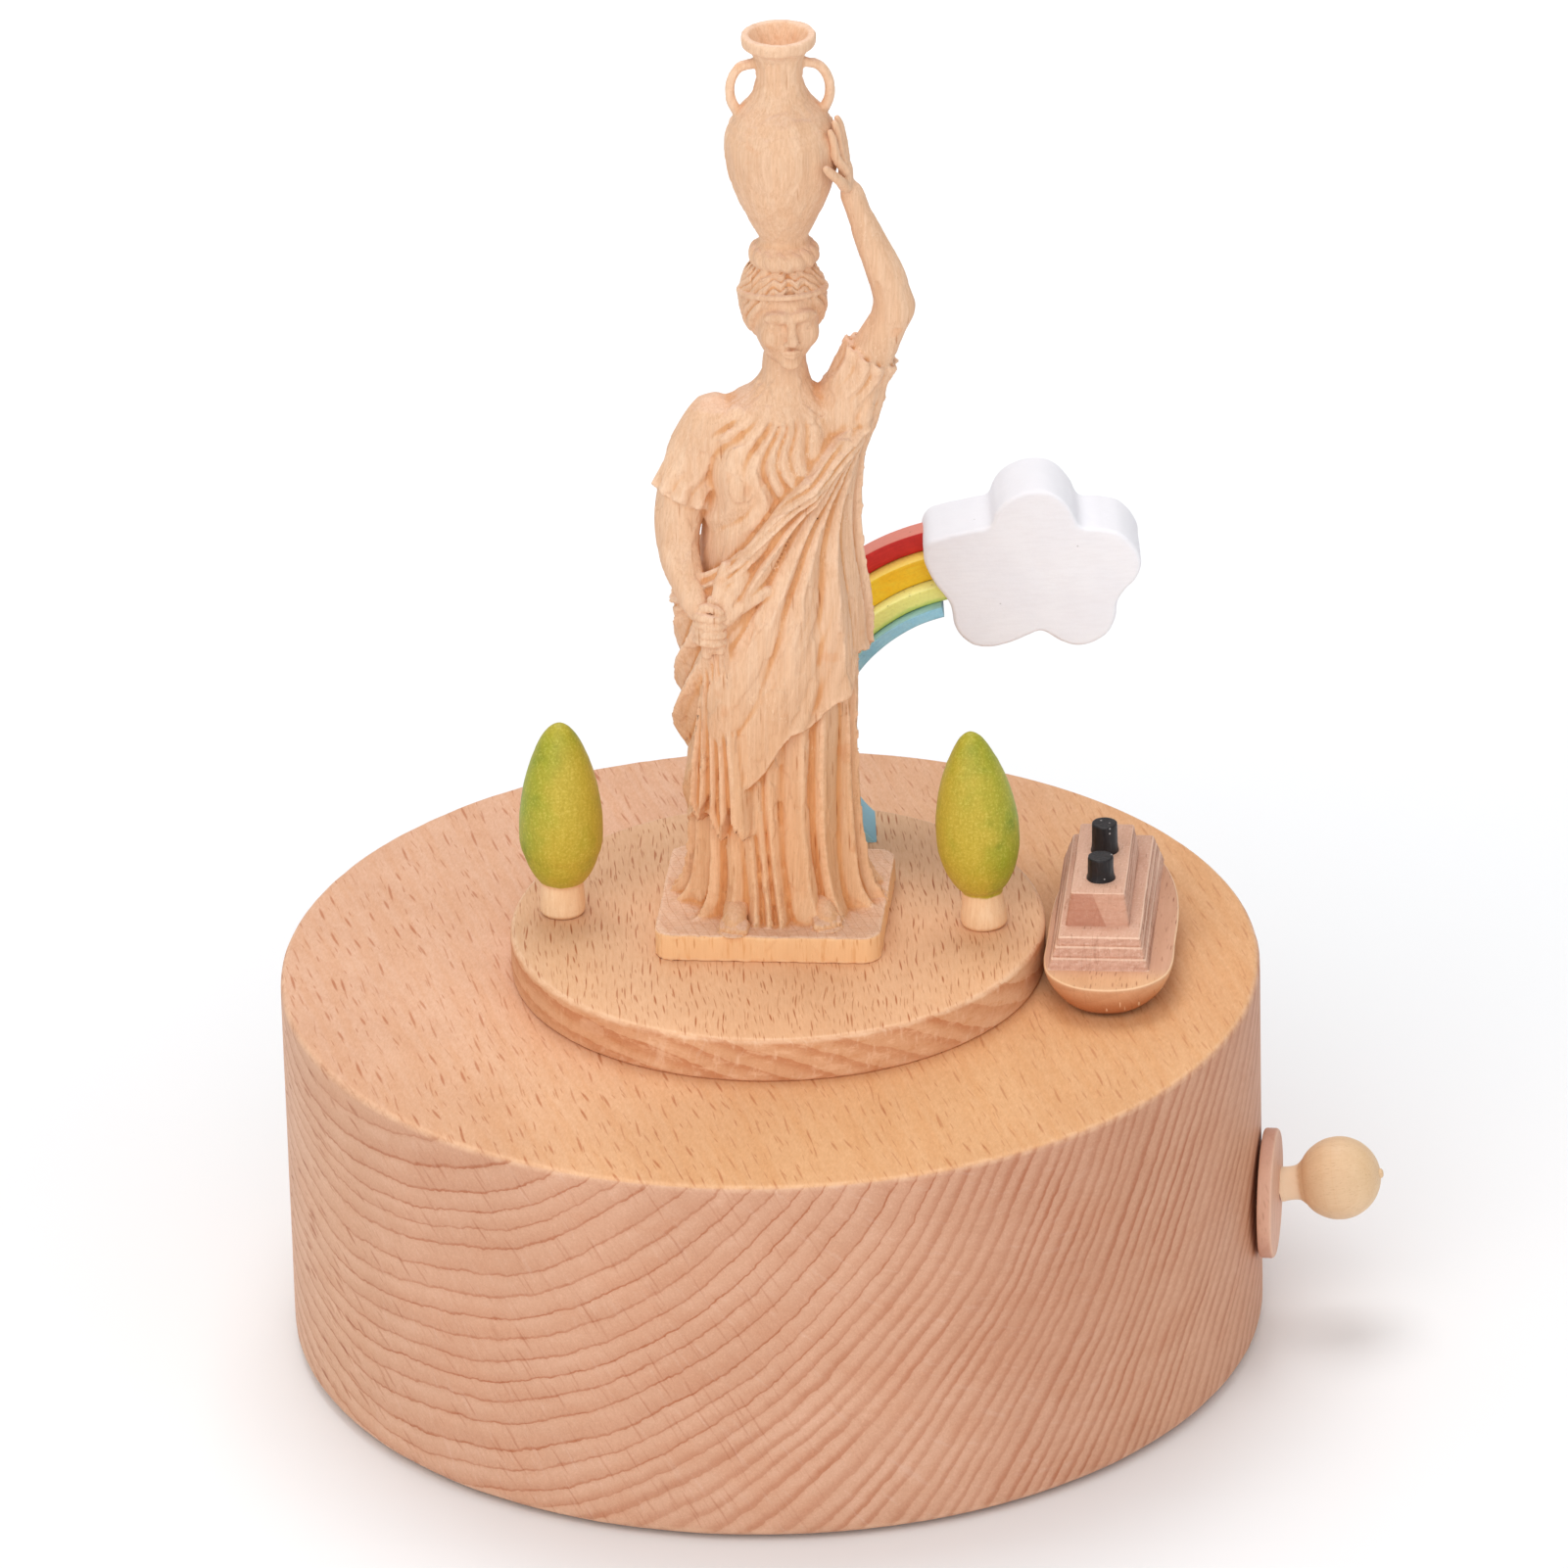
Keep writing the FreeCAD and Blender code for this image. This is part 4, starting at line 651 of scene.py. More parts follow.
def platform_tone(M, P, col, h):
    # the turned rim is dry and scratched, with pale hairs and broad brown rings
    x, y, z = M.xyz(P)
    nz = M.xyz(M.tc("Normal"))[2]
    side = M.rng(M.ma("ABSOLUTE", nz), 0.9, 0.5)
    th = M.ma("ARCTAN2", y, x)
    sc = M.noise(M.comb(M.ma("MULTIPLY", th, 62.0), 0.0, M.ma("MULTIPLY", z, 0.35)), 1.0, 3.0, 0.65)
    col = M.mix(M.ma("MULTIPLY", side, M.rng(sc, 0.54, 0.68, 0.0, 0.42)), col, lin(240, 196, 160))
    col = M.mix(M.ma("MULTIPLY", side, M.rng(sc, 0.44, 0.30, 0.0, 0.30)), col, M.mix(1.0, col, (0.80, 0.66, 0.56, 1), "MULTIPLY"))
    pn = M.noise(M.vm("MULTIPLY", P, (0.35, 0.35, 1.1)), 1.0, 4.0, 0.7)
    col = M.mix(M.ma("MULTIPLY", side, M.rng(pn, 0.52, 0.66, 0.0, 0.45)), col, lin(238, 188, 148))
    col = M.mix(M.ma("MULTIPLY", side, M.rng(pn, 0.46, 0.34, 0.0, 0.50)), col, M.mix(1.0, col, (0.88, 0.72, 0.56, 1), "MULTIPLY"))
    # tones by place, partly the wood's colour and partly painted light and shade: the rim paler to the right and darker
    # to the left, the top lighter to the front and darker to the back
    col = M.mix(M.ma("MULTIPLY", side, M.rng(x, 2.0, 18.0, 0.0, 0.85)), col, M.mix(1.0, col, (1.07, 1.21, 1.32, 1), "MULTIPLY"))
    col = M.mix(M.ma("MULTIPLY", side, M.rng(x, 14.0, -2.0, 0.0, 1.0)), col, M.mix(1.0, col, (0.955, 0.94, 0.91, 1), "MULTIPLY"))
    t = M.rng(M.ma("SUBTRACT", y, M.ma("MULTIPLY", x, 0.35)), -25.0, 9.0, 0.0, 1.0, "LINEAR")
    tone = M.mix(t, M.mix(1.0, col, (1.08, 1.075, 1.06, 1), "MULTIPLY"), M.mix(1.0, col, (0.895, 0.925, 0.95, 1), "MULTIPLY"))
    col = M.mix(side, tone, col)
    h = M.ma("ADD", h, M.ma("MULTIPLY", M.ma("MULTIPLY", sc, side), 0.9))
    return col, h


# edge= on the drum and the platform sets the painted highlight on their rounded edges
MAT["drum"] = wood("beech_drum_wood", (-0.105, -0.950, -0.295), (-71.3, -28.1, 115.9), 2.3,
                   base=(231, 184, 145), ring=0.78, ring_tone=(0.72, 0.48, 0.36), fleck=(M_FLECK, 0.46, 5.0, 9.0, 0.60),
                   fleck_tone=(0.63, 0.345, 0.205), fleck_on=0.80, fleck_end=0.50, seed=0.0, warp=0.55, fine_warp=0.13, jag=0.075,
                   on_top=0.10, fine_ring=True, extra=drum_tone, streak=0.09, edge=0.30, fleck_at=drum_flecks, dense=(112.0, 0.12), bend=(6.0, 0.014),
                   fleck_deep=0.35, dashes=((M_FLECK, 1.55, 5.8, 0.155, 2.35, 0.80, 0.74), (M_FLECK, 0.90, 3.2, 0.085, 1.2, 0.50, 0.58)))
MAT["platform"] = wood("beech_platform_wood", (0.03, -1.0, 0.05), (-40.0, 0.0, -60.0), 2.2,
                       base=(235, 187, 147), ring=0.62, ring_tone=(0.74, 0.48, 0.34), seed=2.0, ring_soft=0.34,
                       fleck_tone=(0.56, 0.28, 0.145), warp=0.5, fine_warp=0.13, jag=0.07, on_top=0.08, fine_ring=False,
                       end_tone=(0.90, 0.785, 0.72), edge=0.42, extra=platform_tone, fleck_deep=0.35,
                       dashes=(((1.0, 0.06, 0.12), 1.02, 4.4, 0.108, 2.05, 0.90, 0.92), ((1.0, 0.06, 0.12), 0.66, 2.8, 0.078, 1.10, 0.70, 0.68)))


# -------------------------------------------------------------------- drum
def make_drum():
    R, H = DRUM_R, DRUM_H
    prof = [(0.0, H - 3.0), (20.0, H - 3.0), (43.5, H - 3.0)]
    prof += arc(43.5, H - 4.5, 1.5, 90, 0, 4)
    prof += [(45.0, 20.0), (45.0, 3.0), (50.5, 3.0), (50.5, 0.0), (51.8, 0.0)]
    prof += arc(R - 1.5, 1.5, 1.5, -90, 0, 10)
    for z in np.linspace(3.0, H - 2.2, 26):
        prof.append((R, z))
    prof += arc(R - 0.9, H - 0.9, 0.9, 0, 90, 10)
    for r in (53.2, 50, 46, 42, 38, 34, 30, 24, 18, 10):
        prof.append((r, H))
    prof.append((0.0, H))

    def wob(r, z, a):
        # the turned edges are not dead true
        top = np.exp(-((z - H) / 1.2) ** 2) * (r > 53)
        bot = np.exp(-((z - 0) / 1.5) ** 2) * (r > 52)
        k = vnoise(a * 9, z * 0 + 1, z * 0) * 0.05 + vnoise(a * 37, z * 0, z * 0 + 3) * 0.03
        side = vnoise(np.cos(a) * 3, np.sin(a) * 3, z * 0.08) * 0.03 * (r > 54.9)
        return r + (top + bot) * k - np.abs(side), z - top * np.abs(k) * 0.6
    v, f = lathe(prof, 384, wob)
    o = to_object("drum", v, f, sharp=40)
    # the hole for the crank's bush
    cv, cf = lathe([(0.0, 40.0), (3.0, 40.0), (3.0, 60.0), (0.0, 60.0)], 64)
    cv = cv[:, [2, 0, 1]]
    cv = cv[:, :1] * NC + cv[:, 1:2] * TC + cv[:, 2:3] * np.array([0, 0, 1.0])
    cv[:, 2] += CRANK_Z
    cutter = to_object("cut", cv, cf)
    mod = o.modifiers.new("hole", "BOOLEAN")
    mod.object = cutter
    mod.operation = "DIFFERENCE"
    mod.solver = "EXACT"
    dg = bpy.context.evaluated_depsgraph_get()
    me = bpy.data.meshes.new_from_object(o.evaluated_get(dg))
    o.modifiers.clear()
    o.data = me
    bpy.data.objects.remove(cutter)
    me.polygons.foreach_set("use_smooth", [True] * len(me.polygons))
    me.set_sharp_from_angle(angle=math.radians(40))
    me.materials.clear()
    me.materials.append(MAT["drum"])
    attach(o, "root")
    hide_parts("drum_body")
    return o


def make_platform():
    R, T = PLAT_R, PLAT_T
    prof = [(0.0, 0.0), (15.0, 0.0), (R - 1.0, 0.0)] + arc(R - 0.55, 0.55, 0.55, -90, 0, 6)
    for z in np.linspace(0.9, T - 1.0, 10):
        prof.append((R, z))
    prof += arc(R - 0.75, T - 0.75, 0.75, 0, 90, 9)
    for r in (28.5, 26, 22, 18, 12, 6):
        prof.append((r, T))
    prof.append((0.0, T))

    def wob(r, z, a):
        edge = (r > R - 1.2) * 1.0
        k = vnoise(np.cos(a) * 4, np.sin(a) * 4, z * 0.1 + 4) * 0.05 + vnoise(a * 29, z * 0, z * 0 + 8) * 0.02
        return r - edge * np.abs(k), z + edge * k * 0.3 * (z > 1)
    v, f = lathe(prof, 320, wob)
    v[:, 0] += P0[0]
    v[:, 1] += P0[1]
    v[:, 2] += DRUM_H
    o = to_object("platform", v, f, sharp=40)
    o.data.materials.append(MAT["platform"])
    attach(o, "root")
    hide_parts("platform_disc")
    return o


BY_SLOT = {}


def put(o, mat, body, node, slot):
    BY_SLOT.setdefault(slot, mat)
    o.data.materials.clear()
    o.data.materials.append(mat)
    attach(o, body)
    if node:
        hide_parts(node)
    return o


# ------------------------------------------------------------------- trees
TREES = [
    ("tree_left", (-23.1, 3.2), 0.8, 23.42,
     [(0, 2.1), (0.10, 2.30), (0.35, 2.48), (0.7, 2.54), (1.3, 2.56), (2.3, 2.48), (3.1, 2.42), (3.8, 2.42), (4.3, 2.74), (4.91, 3.18), (6.14, 3.81),
      (7.36, 4.22), (8.58, 4.58), (11.02, 4.71), (13.46, 4.54), (15.89, 4.13), (18.32, 3.47), (19.54, 3.03), (20.75, 2.54),
      (21.96, 1.91), (22.7, 1.32), (23.15, 0.78), (23.36, 0.36)]),
    ("tree_right", (24.12, -2.8), -3.0, 23.77,
     [(0, 2.1), (0.10, 2.33), (0.35, 2.52), (0.7, 2.59), (1.48, 2.60), (2.70, 2.41), (3.8, 2.30), (4.54, 2.44), (5.15, 2.98), (6.38, 3.66),
      (7.60, 4.13), (8.82, 4.43), (10.04, 4.62), (12.47, 4.64), (14.90, 4.36), (17.33, 3.82), (19.76, 3.00), (20.97, 2.45),
      (22.18, 1.82), (23.0, 1.28), (23.5, 0.74), (23.72, 0.34)]),
]


def tree_material(name, x0, y0, side, seed):
    """Bare turned trunk and thin green stain, yellower where it soaked in less."""
    M = Mat(name, 0.46, 0.35)
    P0v = M.vm("ADD", M.mm(), (0, 0, -FELT - TOP))
    P = M.vm("ADD", P0v, (seed * 9.0, seed * 4.0, 0.0))
    x, y, z = M.xyz(P0v)
    fibre = M.noise(M.comb(M.ma("MULTIPLY", x, 3.0), M.ma("MULTIPLY", y, 3.0), M.ma("MULTIPLY", z, 0.32)), 1.0, 3.0, 0.62)
    fine = M.noise(P, 3.4, 3.0, 0.7)
    bl = M.noise(P, 0.19, 3.0, 0.6)
    # greener on one side of the tree
    sd = M.rng(M.ma("MULTIPLY", M.ma("SUBTRACT", x, x0), side), -1.5, 5.2, 0.0, 1.0)
    g = M.ma("ADD", M.ma("MULTIPLY", sd, 0.75), M.ma("MULTIPLY", M.ma("SUBTRACT", bl, 0.5), 1.5))
    g = M.ma("ADD", g, M.rng(z, 17.0, 24.0, 0.0, 0.30), clamp=True)
    yellow, green, deep = lin(203, 182, 66), lin(150, 168, 34), lin(116, 142, 24)
    col = M.mix(g, yellow, green)
    col = M.mix(M.ma("MULTIPLY", M.rng(M.noise(P, 0.33, 2.0), 0.50, 0.72), M.ma("MULTIPLY", g, 0.75)), col, deep)
    col = M.mix(M.rng(fine, 0.36, 0.60, 0.36, 0.0), col, M.mix(1.0, col, (0.70, 0.68, 0.40, 1), "MULTIPLY"))
    col = M.mix(M.rng(fine, 0.52, 0.68, 0.0, 0.36), col, lin(228, 214, 112))
    col = M.mix(M.rng(fibre, 0.38, 0.60, 0.34, 0.0), col, M.mix(1.0, col, (0.78, 0.74, 0.44, 1), "MULTIPLY"))
    col = M.mix(M.rng(z, 15.0, 23.0, 0.0, 0.45), col, M.mix(1.0, col, (0.76, 0.80, 0.62, 1), "MULTIPLY"))
    ring = M.noise(M.comb(0.0, 0.0, M.ma("MULTIPLY", z, 2.3)), 1.0, 2.0)
    col = M.mix(M.rng(ring, 0.5, 0.62, 0.0, 0.10), col, M.mix(1.0, col, (0.82, 0.80, 0.6, 1), "MULTIPLY"))
    # the bare trunk below
    wave = M.ma("MULTIPLY", M.ma("SUBTRACT", M.noise(P, 0.8, 2.0), 0.5), 0.55)
    k = M.rng(M.ma("ADD", z, wave), 4.02, 4.36)
    bare = M.mix(M.rng(fibre, 0.36, 0.64), lin(243, 203, 160), lin(250, 214, 174))
    bare = M.mix(M.rng(fine, 0.55, 0.7, 0.0, 0.22), bare, lin(214, 168, 122))
    # painted shade darkens the bulging foot of the trunk where it meets the platform
    bare = M.mix(M.rng(z, 0.0, 0.7, 0.5, 0.0), bare, lin(206, 158, 112))
    col = M.mix(k, bare, col)
    h = M.ma("ADD", M.ma("MULTIPLY", fine, 0.8), M.ma("MULTIPLY", fibre, 0.6))
    h = M.ma("ADD", h, M.ma("MULTIPLY", ring, 0.35))
    return M.done(col, M.rng(fine, 0.3, 0.7, 0.42, 0.56, "LINEAR"), M.bump(h, 0.45, 0.05))


def make_trees():
    for i, (node, (x, y), lean, tip, pts) in enumerate(TREES):
        prof = [(r, z) for z, r in pts] + [(0.0, tip)]
        prof = [(0.0, 0.0)] + [tuple(q) for q in spline(prof, 5)]
        prof = [(max(r, 0.0), z) for r, z in prof]
        prof[-1] = (0.0, tip)

        def wob(r, z, a, i=i):
            k = vnoise(np.cos(a) * 1.4 + 3 * i, np.sin(a) * 1.4, z * 0.22) * 0.05
            k = k + vnoise(z * 0, z * 0 + 2 + i, z * 2.1) * 0.018
            return r + k * np.clip(r, 0, 2) * 0.5, z
        v, f = lathe(prof, 128, wob)
        c, sn = math.cos(math.radians(lean)), math.sin(math.radians(lean))
        X = v[:, 0] * c + v[:, 2] * sn
        Z = -v[:, 0] * sn + v[:, 2] * c
        v = np.c_[X + x, v[:, 1] + y, np.maximum(Z, 0.0) + TOP]
        o = to_object(node + "_turned", v, outward(v, f), sharp=50)
        put(o, tree_material(node + "_stain", x + 11 * sn, y, -1 if i == 0 else 1, i + 1.0), "root", node, "stained_green")


# ---------------------------------------------------------- rainbow, cloud
ARC_C = (24.64, 60.49)
ARC_R = [16.76, 18.1, 20.05, 22.9, 25.2]
ARC_FRONT = [18.6, 20.0, 22.0, 24.0]
ARC_BACK = 26.8
CLOUD_Y0, CLOUD_Y1 = 18.0, 27.6
ARC_END = [103.5, 98.0, 98.0, 98.0]
CLOUD_PTS = [(20.95, 87.03), (23.71, 87.67), (25.91, 88.2), (26.82, 89.99), (28.16, 91.39), (30.37, 92.29), (32.56, 92.22),
             (34.19, 91.2), (35.27, 89.72), (36.34, 87.76), (38.53, 87.45), (40.72, 86.78), (42.35, 84.91), (42.98, 83.08),
             (42.3, 81.04), (41.19, 79.86), (40.29, 78.31), (40.04, 76.49), (39.25, 74.69), (37.8, 73.52), (35.59, 72.98),
             (33.94, 73.52), (31.54, 74.81), (30.1, 74.37), (27.88, 73.47), (25.66, 73.05), (24.01, 73.35), (22.71, 74.36),
             (21.85, 75.85), (21.35, 78.54), (19.21, 82.0), (18.49, 84.45), (19.07, 86.24)]


def paint_material(name, tone, tone2, ledge_painted_light, side, speck, seed, spots=None):
    """Brushed paint; faces turned outward take a separate, mostly paler tone and faces turned inward a darker one:
    painted light and shade.
    """
    M = Mat(name, 0.5, 0.35)
    P = M.vm("ADD", M.mm(), (0, 0, -FELT))
    x, y, z = M.xyz(P)
    dx = M.ma("SUBTRACT", x, ARC_C[0])
    dz = M.ma("SUBTRACT", z, ARC_C[1])
    r = M.ma("SQRT", M.ma("ADD", M.ma("MULTIPLY", dx, dx), M.ma("MULTIPLY", dz, dz)))
    th = M.ma("ARCTAN2", dz, dx)
    nx, ny, nz = M.xyz(M.tc("Normal"))
    out = M.ma("DIVIDE", M.ma("ADD", M.ma("MULTIPLY", nx, dx), M.ma("MULTIPLY", nz, dz)), r)
    Ps = M.vm("ADD", P, (seed * 9.1, seed * 3.7, seed * 5.3))
    fine = M.noise(Ps, 2.6, 4.0, 0.65)
    bl = M.noise(Ps, 0.35, 3.0, 0.6)
    brush = M.noise(M.comb(M.ma("MULTIPLY", r, 3.5), M.ma("MULTIPLY", y, 3.5), M.ma("MULTIPLY", th, 9.0)), 1.0, 3.0, 0.6)
    col = M.mix(M.rng(M.ma("ADD", M.ma("MULTIPLY", bl, 0.6), M.ma("MULTIPLY", brush, 0.4)), 0.36, 0.64), lin(*tone), lin(*tone2))
    # painted light and shade: faces turned outward take their own tone, mostly paler, and faces turned inward a darker
    # side tone
    k = M.rng(out, 0.45, 0.85)
    col = M.mix(k, col, lin(*ledge_painted_light))
    col = M.mix(M.rng(out, -0.45, -0.85), col, lin(*side))
    col = M.mix(M.rng(fine, 0.36, 0.62, 0.20, 0.0), col, M.mix(1.0, col, (0.72, 0.66, 0.58, 1), "MULTIPLY"))
    h = M.ma("ADD", M.ma("MULTIPLY", brush, 0.6), M.ma("MULTIPLY", fine, 0.7))
    v = M.vor(Ps, 1.55)
    cr = M.xyz(v.outputs["Color"])
    s = M.ma("MULTIPLY", M.rng(v.outputs["Distance"], 0.26, 0.10), M.ma("LESS_THAN", cr[0], speck))
    s = M.ma("MULTIPLY", s, M.rng(k, 0.0, 1.0, 0.25, 1.0))
    col = M.mix(M.ma("MULTIPLY", s, 0.7), col, M.mix(1.0, col, (0.50, 0.46, 0.34, 1), "MULTIPLY"))
    if spots:
        (ra, rb), tone3 = spots
        col = M.mix(M.ma("MULTIPLY", M.ma("SUBTRACT", 1.0, k), M.rng(M.ma("ADD", r, M.ma("MULTIPLY", M.ma("SUBTRACT", bl, 0.5), 0.8)), ra, rb)), col, lin(*tone3))
    return M.done(col, M.rng(fine, 0.3, 0.7, 0.42, 0.6, "LINEAR"), M.bump(M.ma("SUBTRACT", h, M.ma("MULTIPLY", s, 0.8)), 0.45, 0.05))


def make_rainbow():
    # columns: name, two paint tones, the tone painted on faces turned outward and on faces turned inward (painted light
    # and shade), specks, spots
    tones = [
        ("blue", (166, 222, 244), (146, 208, 236), (148, 196, 196), (128, 178, 196), 0.10, None),
        ("yellow", (254, 252, 152), (249, 247, 140), (254, 252, 164), (206, 226, 136), 0.55, ((18.7, 18.2), (214, 232, 122))),
        ("orange", (255, 216, 56), (255, 202, 40), (253, 222, 108), (242, 200, 78), 0.12, None),
        ("red", (218, 52, 50), (200, 42, 44), (226, 138, 122), (198, 70, 60), 0.05, None)]
    for i, (nm, t1, t2, ledge_painted_light, side, speck, spots) in enumerate(tones):
        r0, r1 = ARC_R[i] + (0.0 if i == 0 else 0.02), ARC_R[i + 1] - 0.02
        yf, yb = ARC_FRONT[i], ARC_BACK
        e = 0.22
        sec = []
        for t in np.radians(np.linspace(180, 270, 5)):
            sec.append((r0 + e + e * math.cos(t), yf + e + e * math.sin(t)))
        for q in np.linspace(r0 + e, r1 - e, 6)[1:-1]:
            sec.append((q, yf))
        for t in np.radians(np.linspace(270, 360, 5)):
            sec.append((r1 - e + e * math.cos(t), yf + e + e * math.sin(t)))
        for q in np.linspace(yf + e, yb - e, 7)[1:-1]:
            sec.append((r1, q))
        for t in np.radians(np.linspace(0, 90, 4)):
            sec.append((r1 - e + e * math.cos(t), yb - e + e * math.sin(t)))
        for t in np.radians(np.linspace(90, 180, 4)):
            sec.append((r0 + e + e * math.cos(t), yb - e + e * math.sin(t)))
        for q in np.linspace(yb - e, yf + e, 7)[1:-1]:
            sec.append((r0, q))
        sec = np.array(sec)
        n = len(sec)
        m = 150
        end = math.radians(ARC_END[i])
        rings = []
        foot = math.pi + np.arcsin((ARC_C[1] - TOP) / sec[:, 0])
        for k in range(m + 1):
            f = k / m
            a = end + (foot - end) * f
            rr = sec[:, 0] + vnoise(a * 7, sec[:, 0] * 0.6 + i * 3, sec[:, 1] * 0.3) * 0.035
            yy = sec[:, 1] + vnoise(a * 9, sec[:, 0] * 0.8, sec[:, 1] * 0.4 + i) * 0.03
            if f in (0.0,) and i == 0:
                rr = rr
            rings.append(np.c_[ARC_C[0] + rr * np.cos(a), yy, ARC_C[1] + rr * np.sin(a)])
        rings[-1][:, 2] = TOP
        v = np.vstack(rings + [rings[0].mean(0)[None], rings[-1].mean(0)[None]])
        faces = []
        for k in range(m):
            for j in range(n):
                q = (j + 1) % n
                faces.append((k * n + j, k * n + q, (k + 1) * n + q, (k + 1) * n + j))
        for j in range(n):
            q = (j + 1) % n
            faces.append((len(v) - 2, q, j))
            faces.append((len(v) - 1, m * n + j, m * n + q))
        o = to_object("rainbow_%s_band" % nm, v, outward(v, faces), sharp=55)
        put(o, paint_material("paint_%s_m" % nm, t1, t2, ledge_painted_light, side, speck, i + 1.0, spots), "root", "rainbow_" + nm, "paint_" + nm)


def make_cloud():
    loop = np.array(CLOUD_PTS)[::-1]
    q = np.vstack([loop[-3:], loop, loop[:3]])
    sm = spline(q, 8)[2 * 8:]
    sm = sm[:len(loop) * 8 + 1]
    sm = resample(sm[8:8 + len(loop) * 8] if len(sm) >= 8 + len(loop) * 8 else sm[:len(loop) * 8], 0.22)
    # a closed outline, counter-clockwise
    area2 = np.sum(sm[:, 0] * np.roll(sm[:, 1], -1) - np.roll(sm[:, 0], -1) * sm[:, 1])
    if area2 < 0:
        sm = sm[::-1]
    y0, y1, R = CLOUD_Y0, CLOUD_Y1, 0.5
    steps = []
    for t in np.radians(np.linspace(0, 90, 8)):
        steps.append((R - R * math.sin(t), y0 + R - R * math.cos(t)))
    for yy in np.linspace(y0 + R, y1 - R, 20)[1:-1]:
        steps.append((0.0, yy))
    for t in np.radians(np.linspace(0, 90, 8)):
        steps.append((R - R * math.cos(t), y1 - R + R * math.sin(t)))
    v, f = slab(sm, steps, 14)
    v = np.c_[v[:, 0], v[:, 2], v[:, 1]]
    # hand-sanded: soft unevenness
    d = vnoise(v[:, 0] * 0.35, v[:, 1] * 0.35, v[:, 2] * 0.35) * 0.09 + vnoise(v[:, 0] * 1.1, v[:, 1] * 1.1, v[:, 2] * 1.1, 3) * 0.03
    c = np.array([31.0, 22.8, 82.0])
    g = v - c
    g /= np.linalg.norm(g, axis=1)[:, None] + 1e-9
    v = v + g * (d - 0.06)[:, None]
    o = to_object("cloud_block", v, outward(v, f), sharp=60)
    M = Mat("paint_white_m", 0.62, 0.25)
    P = M.vm("ADD", M.mm(), (0, 0, -FELT))
    x, y, z = M.xyz(P)
    fine = M.noise(P, 2.4, 4.0, 0.65)
    brush = M.noise(M.comb(M.ma("MULTIPLY", x, 0.5), M.ma("MULTIPLY", y, 2.4), M.ma("MULTIPLY", z, 2.8)), 1.0, 3.0, 0.6)
    bl = M.noise(P, 0.16, 2.0)
    nx, ny, nz = M.xyz(M.tc("Normal"))
    col = M.mix(M.rng(bl, 0.3, 0.7), lin(244, 243, 247), lin(241, 240, 245))
    col = M.mix(M.rng(brush, 0.34, 0.62, 0.12, 0.0), col, lin(224, 220, 224))
    # painted shade: faces turned to the front are a little greyer than the tops
    col = M.mix(M.rng(ny, -0.8, -0.2, 0.0, 0.6), col, lin(240, 238, 243))
    v1 = M.vor(P, 0.42)
    cr = M.xyz(v1.outputs["Color"])
    s = M.ma("MULTIPLY", M.rng(v1.outputs["Distance"], 0.060, 0.03), M.ma("LESS_THAN", cr[0], 0.42))
    col = M.mix(M.ma("MULTIPLY", s, 0.42), col, lin(168, 160, 160))
    h = M.ma("ADD", M.ma("MULTIPLY", brush, 0.9), M.ma("MULTIPLY", fine, 0.8))
    put(o, M.done(col, M.rng(fine, 0.3, 0.7, 0.55, 0.72, "LINEAR"), M.bump(M.ma("SUBTRACT", h, s), 0.5, 0.05)), "root", "cloud", "paint_white")


# -------------------------------------------------------------------- boat
CB, SB = math.cos(BOAT_AZ), math.sin(BOAT_AZ)
HULL_HALF = [(0, -14.6), (3.1, -14.0), (5.2, -12.5), (6.65, -10.3), (7.2, -7.4), (7.2, -2.0),
             (7.2, 4.0), (6.9, 9.0), (6.1, 13.6), (4.8, 17.8), (2.9, 21.2)]


def boat_place(v):
    x, y = v[:, 0] + BOAT_DIST, v[:, 1]
    return np.c_[x * CB - y * SB + P0[0], x * SB + y * CB + P0[1], v[:, 2]]


